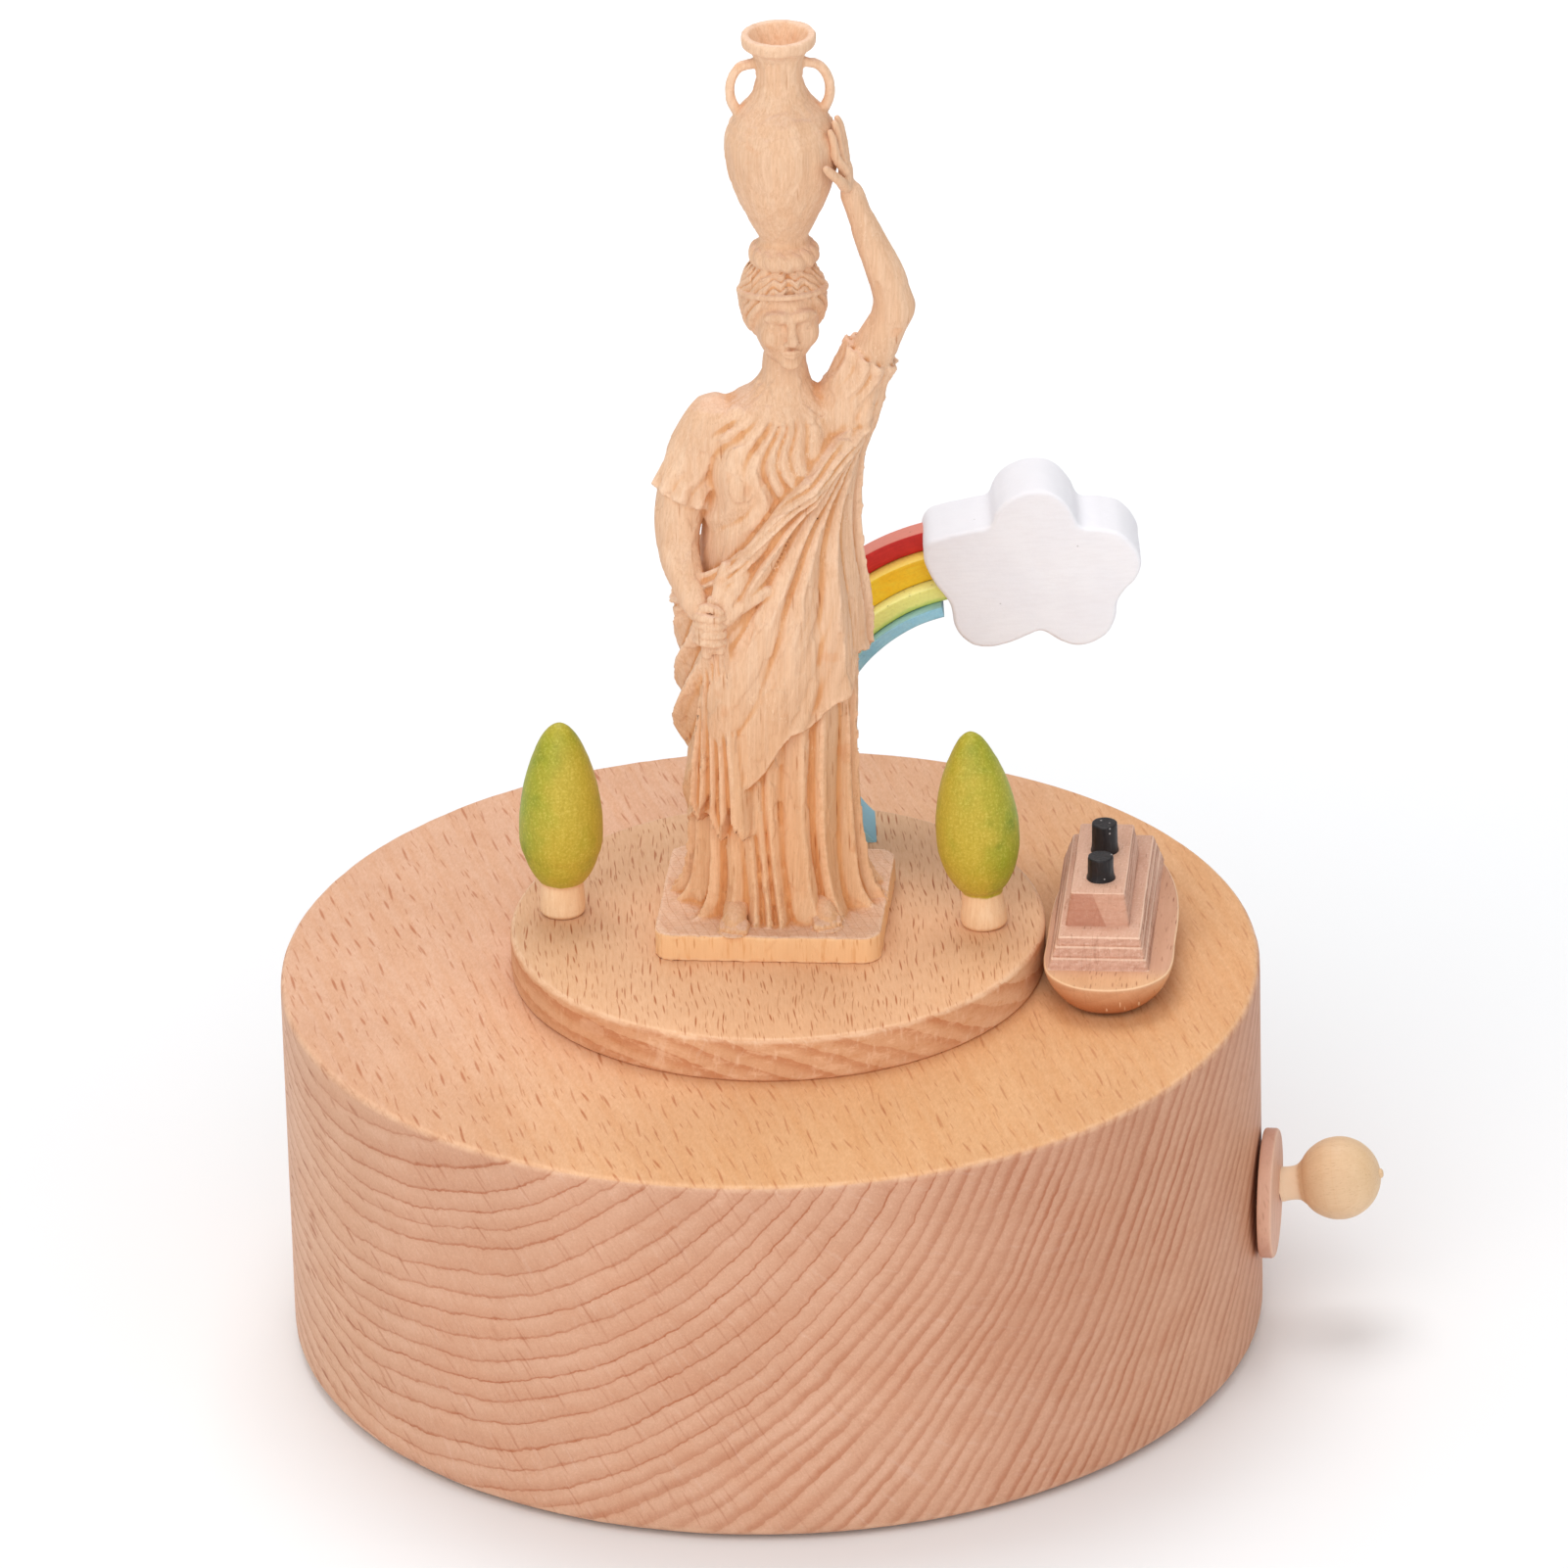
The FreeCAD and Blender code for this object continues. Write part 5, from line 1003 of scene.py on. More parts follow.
def boat_wood(name, kind, seed):
    """Wood of hull or cabins, in the boat's own directions."""
    fx = (CB, SB, 0.0)          # across, outward
    fy = (-SB, CB, 0.0)         # along, to the bow
    o = np.array([P0[0] + BOAT_DIST * CB, P0[1] + BOAT_DIST * SB, 0.0])

    def extra(M, P, col, h):
        L = M.vm("SUBTRACT", P, tuple(o + np.array([seed * 13.7, seed * 7.1, seed * 3.3])))
        ly = M.vm("DOT_PRODUCT", L, fy)
        lx = M.vm("DOT_PRODUCT", L, fx)
        lz = M.xyz(L)[2]
        nz = M.xyz(M.tc("Normal"))[2]
        up = M.rng(nz, 0.6, 0.9)
        if kind == "hull":
            # rosy deck, honey stern, a painted highlight on the deck's rounded edge, painted shade on the turn below it
            rosy = M.ma("MULTIPLY", up, M.rng(ly, -12.5, -8.5))
            col = M.mix(rosy, col, M.mix(1.0, col, (0.86, 0.83, 0.98, 1), "MULTIPLY"))
            edge = M.ma("MULTIPLY", M.rng(nz, 0.97, 0.80), M.rng(lz, HULL_Z1 - 0.28, HULL_Z1 - 0.10))
            col = M.mix(M.ma("MULTIPLY", edge, 0.60), col, lin(252, 214, 172))
            low = M.rng(lz, HULL_Z1 - 0.6, HULL_Z1 - 3.2)
            col = M.mix(M.ma("MULTIPLY", low, 0.85), col, M.mix(1.0, col, (0.76, 0.52, 0.36, 1), "MULTIPLY"))
            # painted shade: darker still towards the keel, standing in for the shadow under the hull
            foot = M.rng(lz, HULL_Z1 - 3.2, HULL_Z0 + 0.1)
            col = M.mix(M.ma("MULTIPLY", foot, 0.5), col, M.mix(1.0, col, (0.5, 0.36, 0.28, 1), "MULTIPLY"))
            st = M.noise(M.comb(M.ma("MULTIPLY", lx, 3.2), M.ma("MULTIPLY", ly, 0.3), M.ma("MULTIPLY", lz, 0.30)), 1.0, 0.0)
            kk = M.ma("MULTIPLY", M.rng(st, 0.70, 0.76), M.ma("MULTIPLY", M.rng(lz, HULL_Z1 - 1.6, HULL_Z1 - 2.0), M.rng(lz, HULL_Z1 - 3.4, HULL_Z1 - 2.9)))
            col = M.mix(M.ma("MULTIPLY", kk, 0.7), col, lin(252, 226, 190))
        else:
            g = M.noise(M.comb(M.ma("MULTIPLY", lx, 1.4), M.ma("MULTIPLY", ly, 0.08), M.ma("MULTIPLY", lz, 3.4)), 1.0, 2.0, 0.6)
            side = M.ma("SUBTRACT", 1.0, up)
            endf = M.rng(ly, -4.9 if kind == "upper" else -7.6, -5.3 if kind == "upper" else -8.4)
            k = M.ma("MULTIPLY", M.ma("MULTIPLY", M.rng(g, 0.46, 0.60), side), M.rng(endf, 0.0, 1.0, 0.75, 0.20, "LINEAR"))
            col = M.mix(k, col, M.mix(1.0, col, (0.62, 0.46, 0.38, 1), "MULTIPLY"))
            h = M.ma("SUBTRACT", h, M.ma("MULTIPLY", k, 2.2))
            fz = M.noise(P, 2.8, 3.0, 0.65)
            col = M.mix(M.rng(fz, 0.52, 0.66, 0.0, 0.35), col, lin(240, 208, 188))
            # painted highlight where top and sides meet
            e = M.ma("MULTIPLY", M.rng(nz, 0.50, 0.70), M.rng(nz, 0.98, 0.86))
            col = M.mix(M.ma("MULTIPLY", e, 0.55), col, lin(250, 216, 190))
            # thin cracks across the end face
            cr = M.ma("ABSOLUTE", M.ma("SUBTRACT", M.noise(M.comb(M.ma("MULTIPLY", lx, 0.75), 0.0, M.ma("MULTIPLY", lz, 0.10)), 1.0, 1.0), 0.5))
            col = M.mix(M.ma("MULTIPLY", M.ma("MULTIPLY", M.rng(cr, 0.010, 0.002), endf), 0.30), col, M.mix(1.0, col, (0.55, 0.38, 0.30, 1), "MULTIPLY"))
            if kind == "upper":
                # two growth zones meet slantwise on the end face
                zz = M.ma("ADD", lx, M.ma("MULTIPLY", lz, 0.42))
                b = HULL_Z1 * 0.42
                on = M.ma("MULTIPLY", endf, side)
                col = M.mix(M.ma("MULTIPLY", on, M.rng(zz, b + 1.15, b + 1.3, 0.62, 0.0)), col, lin(186, 122, 96))
                col = M.mix(M.ma("MULTIPLY", on, M.rng(zz, b + 1.15, b + 1.3, 0.0, 0.5)), col, lin(214, 164, 138))
        return col, h
    if kind == "hull":
        return wood(name, fy, (o[0] - 12, o[1] + 8, 84), 1.7, base=(226, 176, 134), ring=0.16, rough=0.45,
                    fleck=((CB, SB, 0.1), 0.36, 2.6, 9.0, 0.42), fleck_on=0.85, fleck_tone=(0.50, 0.33, 0.26), seed=seed, extra=extra, warp=0.6, fine_warp=0.06)
    return wood(name, (CB * 0.1 - SB, SB * 0.1 + CB, 0.05), (o[0] + 5, o[1], 34), 0.75, base=(220, 176, 153), ring=0.22, rough=0.6,
                ring_tone=(0.74, 0.58, 0.50), fleck=((CB, SB, 0.3), 0.34, 2.4, 2.0, 0.35), fleck_on=0.55, seed=seed, extra=extra,
                warp=0.4, fine_warp=0.05, end_mask=(0.6, 0.9), end_tone=(0.98, 0.95, 0.96))


def frustum_mesh(b0, b1, z0, z1, grooves, r=0.28, step=0.5):
    """Tapered block with shallow sawn grooves and softened edges."""
    zs = [z0] + list(np.linspace(z0, z1 - r, 30)[1:]) + [z1 - r + r * math.sin(math.radians(a)) for a in (30, 60, 90)]
    v, rings = [], []
    for z in zs:
        f = (z - z0) / (z1 - z0)
        x0, x1 = b0[0] + (b1[0] - b0[0]) * f, b0[1] + (b1[1] - b0[1]) * f
        y0, y1 = b0[2] + (b1[2] - b0[2]) * f, b0[3] + (b1[3] - b0[3]) * f
        k = max(0.0, (z - (z1 - r)) / r)
        ins = r * (1 - math.sqrt(max(0.0, 1 - k * k))) + 0.02
        for gz, gw, gd in grooves:
            ins += gd * math.exp(-((f - gz) / gw) ** 2)
        x0, x1, y0, y1 = x0 + ins, x1 - ins, y0 + ins, y1 - ins
        c = 0.32
        pts = []
        for cx, cy, a0 in ((x1 - c, y1 - c, 0), (x0 + c, y1 - c, 90), (x0 + c, y0 + c, 180), (x1 - c, y0 + c, 270)):
            pts += [(cx + c * math.cos(math.radians(a)), cy + c * math.sin(math.radians(a))) for a in (a0, a0 + 30, a0 + 60, a0 + 90)]
        # even points on the long sides
        out = []
        for i in range(16):
            p, q = np.array(pts[i]), np.array(pts[(i + 1) % 16])
            out.append(p)
            if i % 4 == 3:
                n = 10
                out += [p + (q - p) * t / n for t in range(1, n)]
        pts = np.array(out)
        w = vnoise(pts[:, 0] * 0.5, pts[:, 1] * 0.5, np.full(len(pts), z)) * 0.035
        cx, cy = (x0 + x1) / 2, (y0 + y1) / 2
        g = pts - (cx, cy)
        g /= np.linalg.norm(g, axis=1)[:, None]
        rings.append(np.c_[pts - g * np.abs(w)[:, None], np.full(len(pts), z)])
    n = len(rings[0])
    caps = []
    for f in (0.75, 0.5, 0.25):
        c = rings[-1].mean(0)
        caps.append(c + (rings[-1] - c) * f)
    rings = rings + caps
    m = len(rings)
    v = np.vstack(rings + [rings[0].mean(0)[None], rings[-1].mean(0)[None]])
    faces = []
    for k in range(m - 1):
        for j in range(n):
            q = (j + 1) % n
            faces.append((k * n + j, k * n + q, (k + 1) * n + q, (k + 1) * n + j))
    for j in range(n):
        q = (j + 1) % n
        faces.append((len(v) - 2, q, j))
        faces.append((len(v) - 1, (m - 1) * n + j, (m - 1) * n + q))
    return v, faces


def make_boat():
    out = HULL_HALF + [(0, 22.9)] + [(-x, y) for x, y in reversed(HULL_HALF[1:])]
    L = np.array(out, float)
    q = np.vstack([L[-2:], L, L[:3]])
    sm = spline(q, 10)
    sm = sm[20:20 + len(L) * 10]
    sm = resample(sm, 0.35)
    if np.sum(sm[:, 0] * np.roll(sm[:, 1], -1) - np.roll(sm[:, 0], -1) * sm[:, 1]) < 0:
        sm = sm[::-1]
    z0, z1 = HULL_Z0, HULL_Z1
    steps = [(4.4, z0), (3.6, z0), (3.0, z0 + 0.10), (2.4, z0 + 0.30), (1.9, z0 + 0.55), (1.42, z0 + 0.95), (1.05, z0 + 1.4), (0.74, z0 + 1.85),
             (0.46, z0 + 2.35), (0.22, z0 + 2.85), (0.06, z1 - 0.6), (0.0, z1 - 0.32), (0.04, z1 - 0.15), (0.14, z1 - 0.04), (0.30, z1), (0.9, z1), (2.2, z1)]
    v, f = slab(sm, steps, 8)
    # the stern is cut back a little towards the keel
    back = np.clip((-v[:, 1] - 9.0) / 5.6, 0, 1)
    low = np.clip((z1 - 0.5 - v[:, 2]) / 3.0, 0, 1)
    v[:, 1] += back * low ** 1.5 * 0.3
    # a round bottom: the keel line runs out to the stern
    ins = np.interp(v[:, 2], [q[1] for q in steps[1:12]], [q[0] for q in steps[1:12]])
    cen = np.clip(1 - (np.abs(v[:, 0]) / 5.2) ** 3, 0, 1)
    v[:, 1] -= np.clip((-v[:, 1] - 6.0) / 4.0, 0, 1) * cen * 0.40 * ins
    w = boat_place(v)
    o = to_object("hull", w, outward(w, f), sharp=50)
    put(o, boat_wood("beech_hull_m", "hull", 3.0), "boat", "boat_hull", "beech_hull")
    c1, c2 = -0.95, -1.25
    z2, z3 = HULL_Z1 + 3.5, HULL_Z1 + 7.3
    v, f = frustum_mesh((c1 - 5.7, c1 + 5.7, -9.9, 18.9), (c1 - 4.5, c1 + 4.6, -8.5, 17.7), HULL_Z1, z2,
                        [(0.05, 0.03, 0.05), (0.37, 0.028, 0.17), (0.71, 0.028, 0.15)], 0.22)
    w = boat_place(v)
    o = to_object("lower_cabin", w, outward(w, f), sharp=38)
    put(o, boat_wood("beech_cabin_m", "lower", 4.0), "boat", "boat_lower_cabin", "beech_cabin")
    v, f = frustum_mesh((c2 - 3.6, c2 + 3.6, -5.85, 13.3), (c2 - 3.0, c2 + 3.05, -5.2, 12.6), z2, z3,
                        [(0.05, 0.03, 0.04), (0.45, 0.02, 0.05), (0.80, 0.02, 0.05)], 0.16)
    w = boat_place(v)
    o = to_object("upper_cabin", w, outward(w, f), sharp=38)
    put(o, boat_wood("beech_cabin_top_m", "upper", 5.0), "boat", "boat_upper_cabin", "beech_cabin")
    vs, fs, n0 = [], [], 0
    for i, (y, hgt, flare) in enumerate(((-1.15, 2.75, 0.06), (5.8, 3.5, 0.0))):
        prof = [(0.0, 0.0), (1.60 + flare, 0.0), (1.58 + flare * 0.6, 0.18), (1.50, 0.5), (1.47, 1.2), (1.45, hgt - 0.25), (1.43, hgt - 0.1),
                (1.34, hgt - 0.02), (1.18, hgt), (0.7, hgt - 0.04), (0.0, hgt - 0.07)]

        def wob(r, z, a, i=i):
            k = vnoise(np.cos(a) * 2.2 + i * 7, np.sin(a) * 2.2, z * 0.8) * 0.06
            return r - np.abs(k) * (r > 0.5), z + (z > 2) * vnoise(np.cos(a) * 2, np.sin(a) * 2 + i, z * 0) * 0.04 - (z > 2) * 0.04
        v, f = lathe([tuple(p) for p in prof], 72, wob)
        v[:, 0] += c2 + 0.15
        v[:, 1] += y
        v[:, 2] += z3
        vs.append(v)
        fs += [tuple(k + n0 for k in q) for q in f]
        n0 += len(v)
    w = boat_place(np.vstack(vs))
    o = to_object("funnels", w, outward(w, fs), sharp=45)
    M = Mat("paint_black_m", 0.46, 0.35)
    P = M.vm("ADD", M.mm(), (0, 0, -FELT))
    x, y, z = M.xyz(P)
    n = M.noise(P, 1.6, 4.0, 0.65)
    br = M.noise(M.vm("MULTIPLY", P, (5.0, 5.0, 0.5)), 1.0, 3.0)
    col = M.mix(M.rng(n, 0.3, 0.7), lin(22, 18, 20), lin(33, 28, 30))
    col = M.mix(M.rng(br, 0.56, 0.68, 0.0, 0.22), col, lin(80, 73, 75))
    vv = M.vor(P, 1.1)
    cr = M.xyz(vv.outputs["Color"])
    dot = M.ma("MULTIPLY", M.rng(vv.outputs["Distance"], 0.16, 0.08), M.ma("LESS_THAN", cr[0], 0.30))
    col = M.mix(M.ma("MULTIPLY", dot, 0.7), col, lin(190, 184, 184))
    put(o, M.done(col, M.rng(n, 0.3, 0.7, 0.3, 0.5, "LINEAR"), M.bump(M.ma("ADD", n, br), 0.5, 0.05)), "boat", "boat_funnels", "paint_black")


# ------------------------------------------------------------------- crank
def crank_place(v):
    return v[:, :1] * NC + v[:, 1:2] * TC + np.c_[np.zeros(len(v)), np.zeros(len(v)), v[:, 2]]


def make_crank():
    n0, t = 55.35, 1.65
    R = 7.35
    prof = [(0.0, 0.0), (3.0, 0.0), (R - 0.3, 0.0)] + arc(R - 0.3, 0.3, 0.3, -90, 0, 4) + [(R, 0.8)]
    prof += arc(R - 0.4, t - 0.4, 0.4, 0, 90, 6) + [(6.2, t), (4.5, t), (2.5, t), (0.0, t)]

    def wob(r, z, a):
        return r - np.abs(vnoise(np.cos(a) * 2, np.sin(a) * 2, z)) * 0.05 * (r > 6), z
    v, f = lathe(prof, 192, wob)
    v = np.c_[v[:, 2] + n0, v[:, 0], v[:, 1] + CRANK_Z]
    w = crank_place(v)
    o = to_object("disc", w, outward(w, f), sharp=45)

    def extra(M, P, col, h):
        L = M.vm("SUBTRACT", P, (7 * 13.7, 7 * 7.1, 7 * 3.3))
        ln = M.vm("DOT_PRODUCT", L, tuple(NC))
        lt = M.vm("DOT_PRODUCT", L, tuple(TC))
        lz = M.ma("SUBTRACT", M.xyz(L)[2], CRANK_Z)
        rr = M.ma("SQRT", M.ma("ADD", M.ma("MULTIPLY", lt, lt), M.ma("MULTIPLY", lz, lz)))
        # painted highlight on the rounded edges where the rim meets both faces
        k = M.ma("MULTIPLY", M.rng(rr, R - 0.5, R - 0.12), M.rng(M.ma("ABSOLUTE", M.ma("SUBTRACT", ln, n0 + t / 2)), 0.55, 0.75))
        col = M.mix(M.ma("MULTIPLY", k, 0.45), col, lin(240, 200, 172))
        tr = M.noise(M.comb(M.ma("MULTIPLY", rr, 2.6), 0.0, 0.0), 1.0, 2.0)
        h = M.ma("ADD", h, M.ma("MULTIPLY", tr, 0.5))
        return col, h
    put(o, wood("beech_disc_m", (0.12, 0.3, 0.95), (90, 10, 0), 1.9, base=(226, 180, 156), ring=0.18, streak=0.05,
                fleck=((0.9, 0.3, 0.1), 0.4, 2.0, 3.0, 0.3), fleck_on=0.35, seed=7.0, extra=extra, rough=0.5), "crank", "crank_disc", "beech_disc")
    kt, kz = 4.4 * math.cos(math.radians(-14)), -4.4 * math.sin(math.radians(14))
    kn, kc, sr = 4.72, 6.7, 1.95
    prof = [(0.0, 0.0), (sr + 0.05, 0.0), (sr + 0.06, 0.25), (sr, 0.5), (sr - 0.03, 1.0), (sr - 0.02, 1.5)]
    prof += [(sr + 0.02, 1.8), (sr + 0.10, 2.1), (sr + 0.28, 2.38), (sr + 0.52, 2.62), (sr + 0.70, 2.80), (sr + 0.80, 2.92)]
    for a in np.linspace(143, 8, 46):
        prof.append((kn * math.sin(math.radians(a)), kc + kn * math.cos(math.radians(a))))
    prof += [(0.56, kc + kn + 0.0), (0.52, kc + kn + 0.18), (0.34, kc + kn + 0.31), (0.0, kc + kn + 0.34)]

    def wob2(r, z, a):
        ball = (z > 3.0) * (z < 11.3)
        k = vnoise(np.cos(a) * 1.5, np.sin(a) * 1.5, z * 0.3, 5) * 0.03 + vnoise(z * 0, z * 0 + 9, z * 2.2) * 0.012
        return r * (1 - 0.004) + k * ball * np.clip(r, 0, 1), z
    v, f = lathe([tuple(p) for p in prof], 160, wob2)
    b = math.radians(9.5)
    # pin's axis: outward, tilted up
    ax = np.array([math.cos(b), 0, math.sin(b)])
    up = np.array([-math.sin(b), 0, math.cos(b)])
    v = v[:, 2:3] * ax + v[:, 0:1] * up + v[:, 1:2] * np.array([0, 1.0, 0])
    v += np.array([57.0, kt, CRANK_Z + kz])
    v[:, 0] = np.maximum(v[:, 0], 57.0)
    w = crank_place(v)
    o = to_object("knob", w, outward(w, f), sharp=45)
    foot = NC * 57.0 + TC * kt + np.array([0, 0, CRANK_Z + kz])
    axis = NC * math.cos(b) + np.array([0, 0, math.sin(b)])

    def stem_light_and_turning_marks(M, P, col, h):
        L = M.vm("SUBTRACT", P, tuple(np.array([8 * 13.7, 8 * 7.1, 8 * 3.3]) + foot))
        la = M.vm("DOT_PRODUCT", L, tuple(axis))
        # painted light: the stem, in the ball's shade, is lightened
        st = M.rng(M.ma("ADD", la, M.ma("MULTIPLY", M.noise(P, 1.5, 2.0), 0.6)), 2.9, 2.2)
        col = M.mix(M.ma("MULTIPLY", st, 0.75), col, lin(255, 231, 200))
        # turning marks round the ball
        tr = M.noise(M.comb(M.ma("MULTIPLY", la, 3.4), 0.0, 0.0), 1.0, 2.0)
        col = M.mix(M.rng(tr, 0.55, 0.70, 0.0, 0.18), col, M.mix(1.0, col, (0.90, 0.80, 0.66, 1), "MULTIPLY"))
        return col, M.ma("ADD", h, M.ma("MULTIPLY", tr, 0.4))
    put(o, wood("maple_knob_m", tuple(NC * math.cos(b) + np.array([0, 0, math.sin(b)])), (57, -30, 22), 1.5, base=(234, 202, 164), ring=0.10,
                ring_tone=(0.80, 0.66, 0.52), streak=0.05, seed=8.0, rough=0.42, spec=0.3, blotch=0.04, pore=0.10, warp=0.8, end_tone=(0.98, 0.96, 0.92), extra=stem_light_and_turning_marks),
        "crank", "crank_knob", "maple_knob")


# ------------------------------------------------------------ carved figure
# A robed woman steadying a tall water jar on her head, cut from one block
# together with her square plinth.  Shaped as a distance field, then meshed.
def smin(a, b, k):
    h = np.clip(0.5 + 0.5 * (b - a) / k, 0.0, 1.0)
    return b + (a - b) * h - k * h * (1.0 - h)


def smax(a, b, k):
    return -smin(-a, -b, k)


def step01(x, a, b):
    t = np.clip((x - a) / (b - a), 0.0, 1.0)
    return t * t * (3 - 2 * t)


class Field:
    """Signed distance in mm on a regular grid, negative inside."""

    def __init__(s, lo, hi, h):
        s.h, s.lo = h, np.array(lo, float)
        n = [int(math.ceil((hi[i] - lo[i]) / h)) + 1 for i in range(3)]
        s.ax = [(lo[i] + h * np.arange(n[i])).astype(np.float32) for i in range(3)]
        s.F = np.full(n, 9.0, np.float32)

    def add(s, lo, hi, fn, k=0.3, cut=False):
        w = []
        for i in range(3):
            a = int(max(0, math.floor((lo[i] - s.lo[i]) / s.h)))
            b = int(min(len(s.ax[i]), math.ceil((hi[i] - s.lo[i]) / s.h) + 1))
            if b <= a:
                return
            w.append(slice(a, b))
        w = tuple(w)
        d = fn(s.ax[0][w[0]][:, None, None], s.ax[1][w[1]][None, :, None], s.ax[2][w[2]][None, None, :])
        s.F[w] = smax(s.F[w], -d, k) if cut else smin(s.F[w], d, k)

    def cone(s, p, q, r0, r1, k=0.3, cut=False):
        p, q = np.array(p, float), np.array(q, float)
        m = max(r0, r1) + k + 0.6
        b = q - p
        bb = float(b @ b) + 1e-9

        def fn(x, y, z):
            t = np.clip(((x - p[0]) * b[0] + (y - p[1]) * b[1] + (z - p[2]) * b[2]) / bb, 0, 1)
            return np.sqrt((x - p[0] - t * b[0]) ** 2 + (y - p[1] - t * b[1]) ** 2 + (z - p[2] - t * b[2]) ** 2) - (r0 + (r1 - r0) * t)
        s.add(np.minimum(p, q) - m, np.maximum(p, q) + m, fn, k, cut)

    def path(s, pts, k=0.3, cut=False, smooth=4):
        p = spline(pts, smooth) if smooth else np.array(pts, float)
        for a, b in zip(p[:-1], p[1:]):
            s.cone(a[:3], b[:3], a[3], b[3], k, cut)

    def ball(s, c, r, k=0.3, cut=False):
        c, r = np.array(c, float), np.array(r, float) * np.ones(3)

        def fn(x, y, z):
            k0 = np.sqrt(((x - c[0]) / r[0]) ** 2 + ((y - c[1]) / r[1]) ** 2 + ((z - c[2]) / r[2]) ** 2)
            k1 = np.sqrt(((x - c[0]) / r[0] ** 2) ** 2 + ((y - c[1]) / r[1] ** 2) ** 2 + ((z - c[2]) / r[2] ** 2) ** 2)
            return k0 * (k0 - 1.0) / (k1 + 1e-6)
        m = k + 0.6
        s.add(c - r - m, c + r + m, fn, k, cut)

    def mesh(s):
        """Surface nets: vertices in mm and quads."""
        F = s.F
        neg = F < 0
        q = np.zeros(tuple(n - 1 for n in F.shape), np.int8)
        for a in (0, 1):
            for b in (0, 1):
                for c in (0, 1):
                    q += neg[a:F.shape[0] - 1 + a, b:F.shape[1] - 1 + b, c:F.shape[2] - 1 + c]
        I, J, K = np.nonzero((q > 0) & (q < 8))
        idx = np.full(q.shape, -1, np.int32)
        idx[I, J, K] = np.arange(len(I), dtype=np.int32)
        acc = np.zeros((len(I), 3))
        cnt = np.zeros(len(I))
        cor = [(a, b, c) for a in (0, 1) for b in (0, 1) for c in (0, 1)]
        for u in cor:
            for ax in range(3):
                if u[ax]:
                    continue
                w = list(u)
                w[ax] = 1
                fa = F[I + u[0], J + u[1], K + u[2]]
                fb = F[I + w[0], J + w[1], K + w[2]]
                on = (fa < 0) != (fb < 0)
                t = np.where(on, fa / np.where(on, fa - fb, 1.0), 0.0)
                for c in range(3):
                    acc[:, c] += np.where(on, u[c] + (t if c == ax else 0.0), 0.0)
                cnt += on
        v = acc / cnt[:, None] + np.stack([I, J, K], 1)
        v = v * s.h + s.lo
        faces = []
        n = F.shape
        for ax in range(3):
            o = [i for i in range(3) if i != ax]
            lo = [slice(1, n[i] - 1) for i in range(3)]
            hi = list(lo)
            lo[ax] = slice(0, n[ax] - 1)
            hi[ax] = slice(1, n[ax])
            a, b = neg[tuple(lo)], neg[tuple(hi)]
            for flip, m in ((0, a & ~b), (1, b & ~a)):
                P = list(np.nonzero(m))
                for i in o:
                    P[i] = P[i] + 1
                c = []
                for da, db in ((-1, -1), (0, -1), (0, 0), (-1, 0)):
                    Q = list(P)
                    Q[o[0]] = P[o[0]] + da
                    Q[o[1]] = P[o[1]] + db
                    c.append(idx[Q[0], Q[1], Q[2]])
                c = np.stack(c, 1)
                if (ax == 1) != bool(flip):
                    c = c[:, ::-1]
                faces.append(c)
        f = np.vstack(faces)
        f = f[(f >= 0).all(1)]
        return v, outward(v, f)

    def sample(s, v):
        g = (v - s.lo) / s.h
        i = np.clip(np.floor(g).astype(int), 0, np.array(s.F.shape) - 2)
        f = g - i
        out = 0.0
        for a in (0, 1):
            for b in (0, 1):
                for c in (0, 1):
                    w = (f[:, 0] if a else 1 - f[:, 0]) * (f[:, 1] if b else 1 - f[:, 1]) * (f[:, 2] if c else 1 - f[:, 2])
                    out = out + w * s.F[i[:, 0] + a, i[:, 1] + b, i[:, 2] + c]
        return out

    def cavity(s, v, r):
        """Mean of the field around a point: above 0 on edges, below 0 in creases."""
        out = 0.0
        dirs = [(1, 0, 0), (-1, 0, 0), (0, 1, 0), (0, -1, 0), (0, 0, 1), (0, 0, -1)]
        for d in dirs:
            out = out + s.sample(v + np.array(d) * r)
        return out / 6.0 - s.sample(v)


def grad(fd, v, e=0.14):
    g = np.stack([fd.sample(v + np.array(q) * e) - fd.sample(v - np.array(q) * e) for q in np.eye(3)], 1)
    return g / (np.linalg.norm(g, axis=1)[:, None] + 1e-9)


def knife(fd, v, g, cell, keep, limit, seed=0):
    """Flatten the surface toward small planes, as a knife leaves it."""
    q = v / np.array(cell)
    b = np.floor(q)
    best = np.full(len(v), 9.0)
    c = np.zeros_like(v)
    for i in (-1, 0, 1):
        for j in (-1, 0, 1):
            for k in (-1, 0, 1):
                n = b + (i, j, k)
                p = n + np.stack([hash3(n[:, 0], n[:, 1], n[:, 2], seed + t) for t in (1, 2, 3)], 1)
                d = ((q - p) ** 2).sum(1)
                m = d < best
                best[m] = d[m]
                c[m] = p[m]
    c = c * np.array(cell)
    f = fd.sample(c)
    n = grad(fd, c, 0.3)
    s0 = c - n * f[:, None]
    f = fd.sample(s0)
    s0 = s0 - n * f[:, None]
    n = grad(fd, s0, 0.4)
    h = ((v - s0) * n).sum(1)
    ok = (np.abs(fd.sample(s0)) < 0.12) * ((n * g).sum(1) > 0.6)
    # on the bump's back the plane lies outside, in a hollow inside
    # arms and jar are finished finer than the dress
    limit = limit * (1.0 - 0.55 * step01(v[:, 2], 112.0, 121.0))
    return v - g * (np.clip(h * (1 - keep), -limit, limit) * ok + 0.03)[:, None]


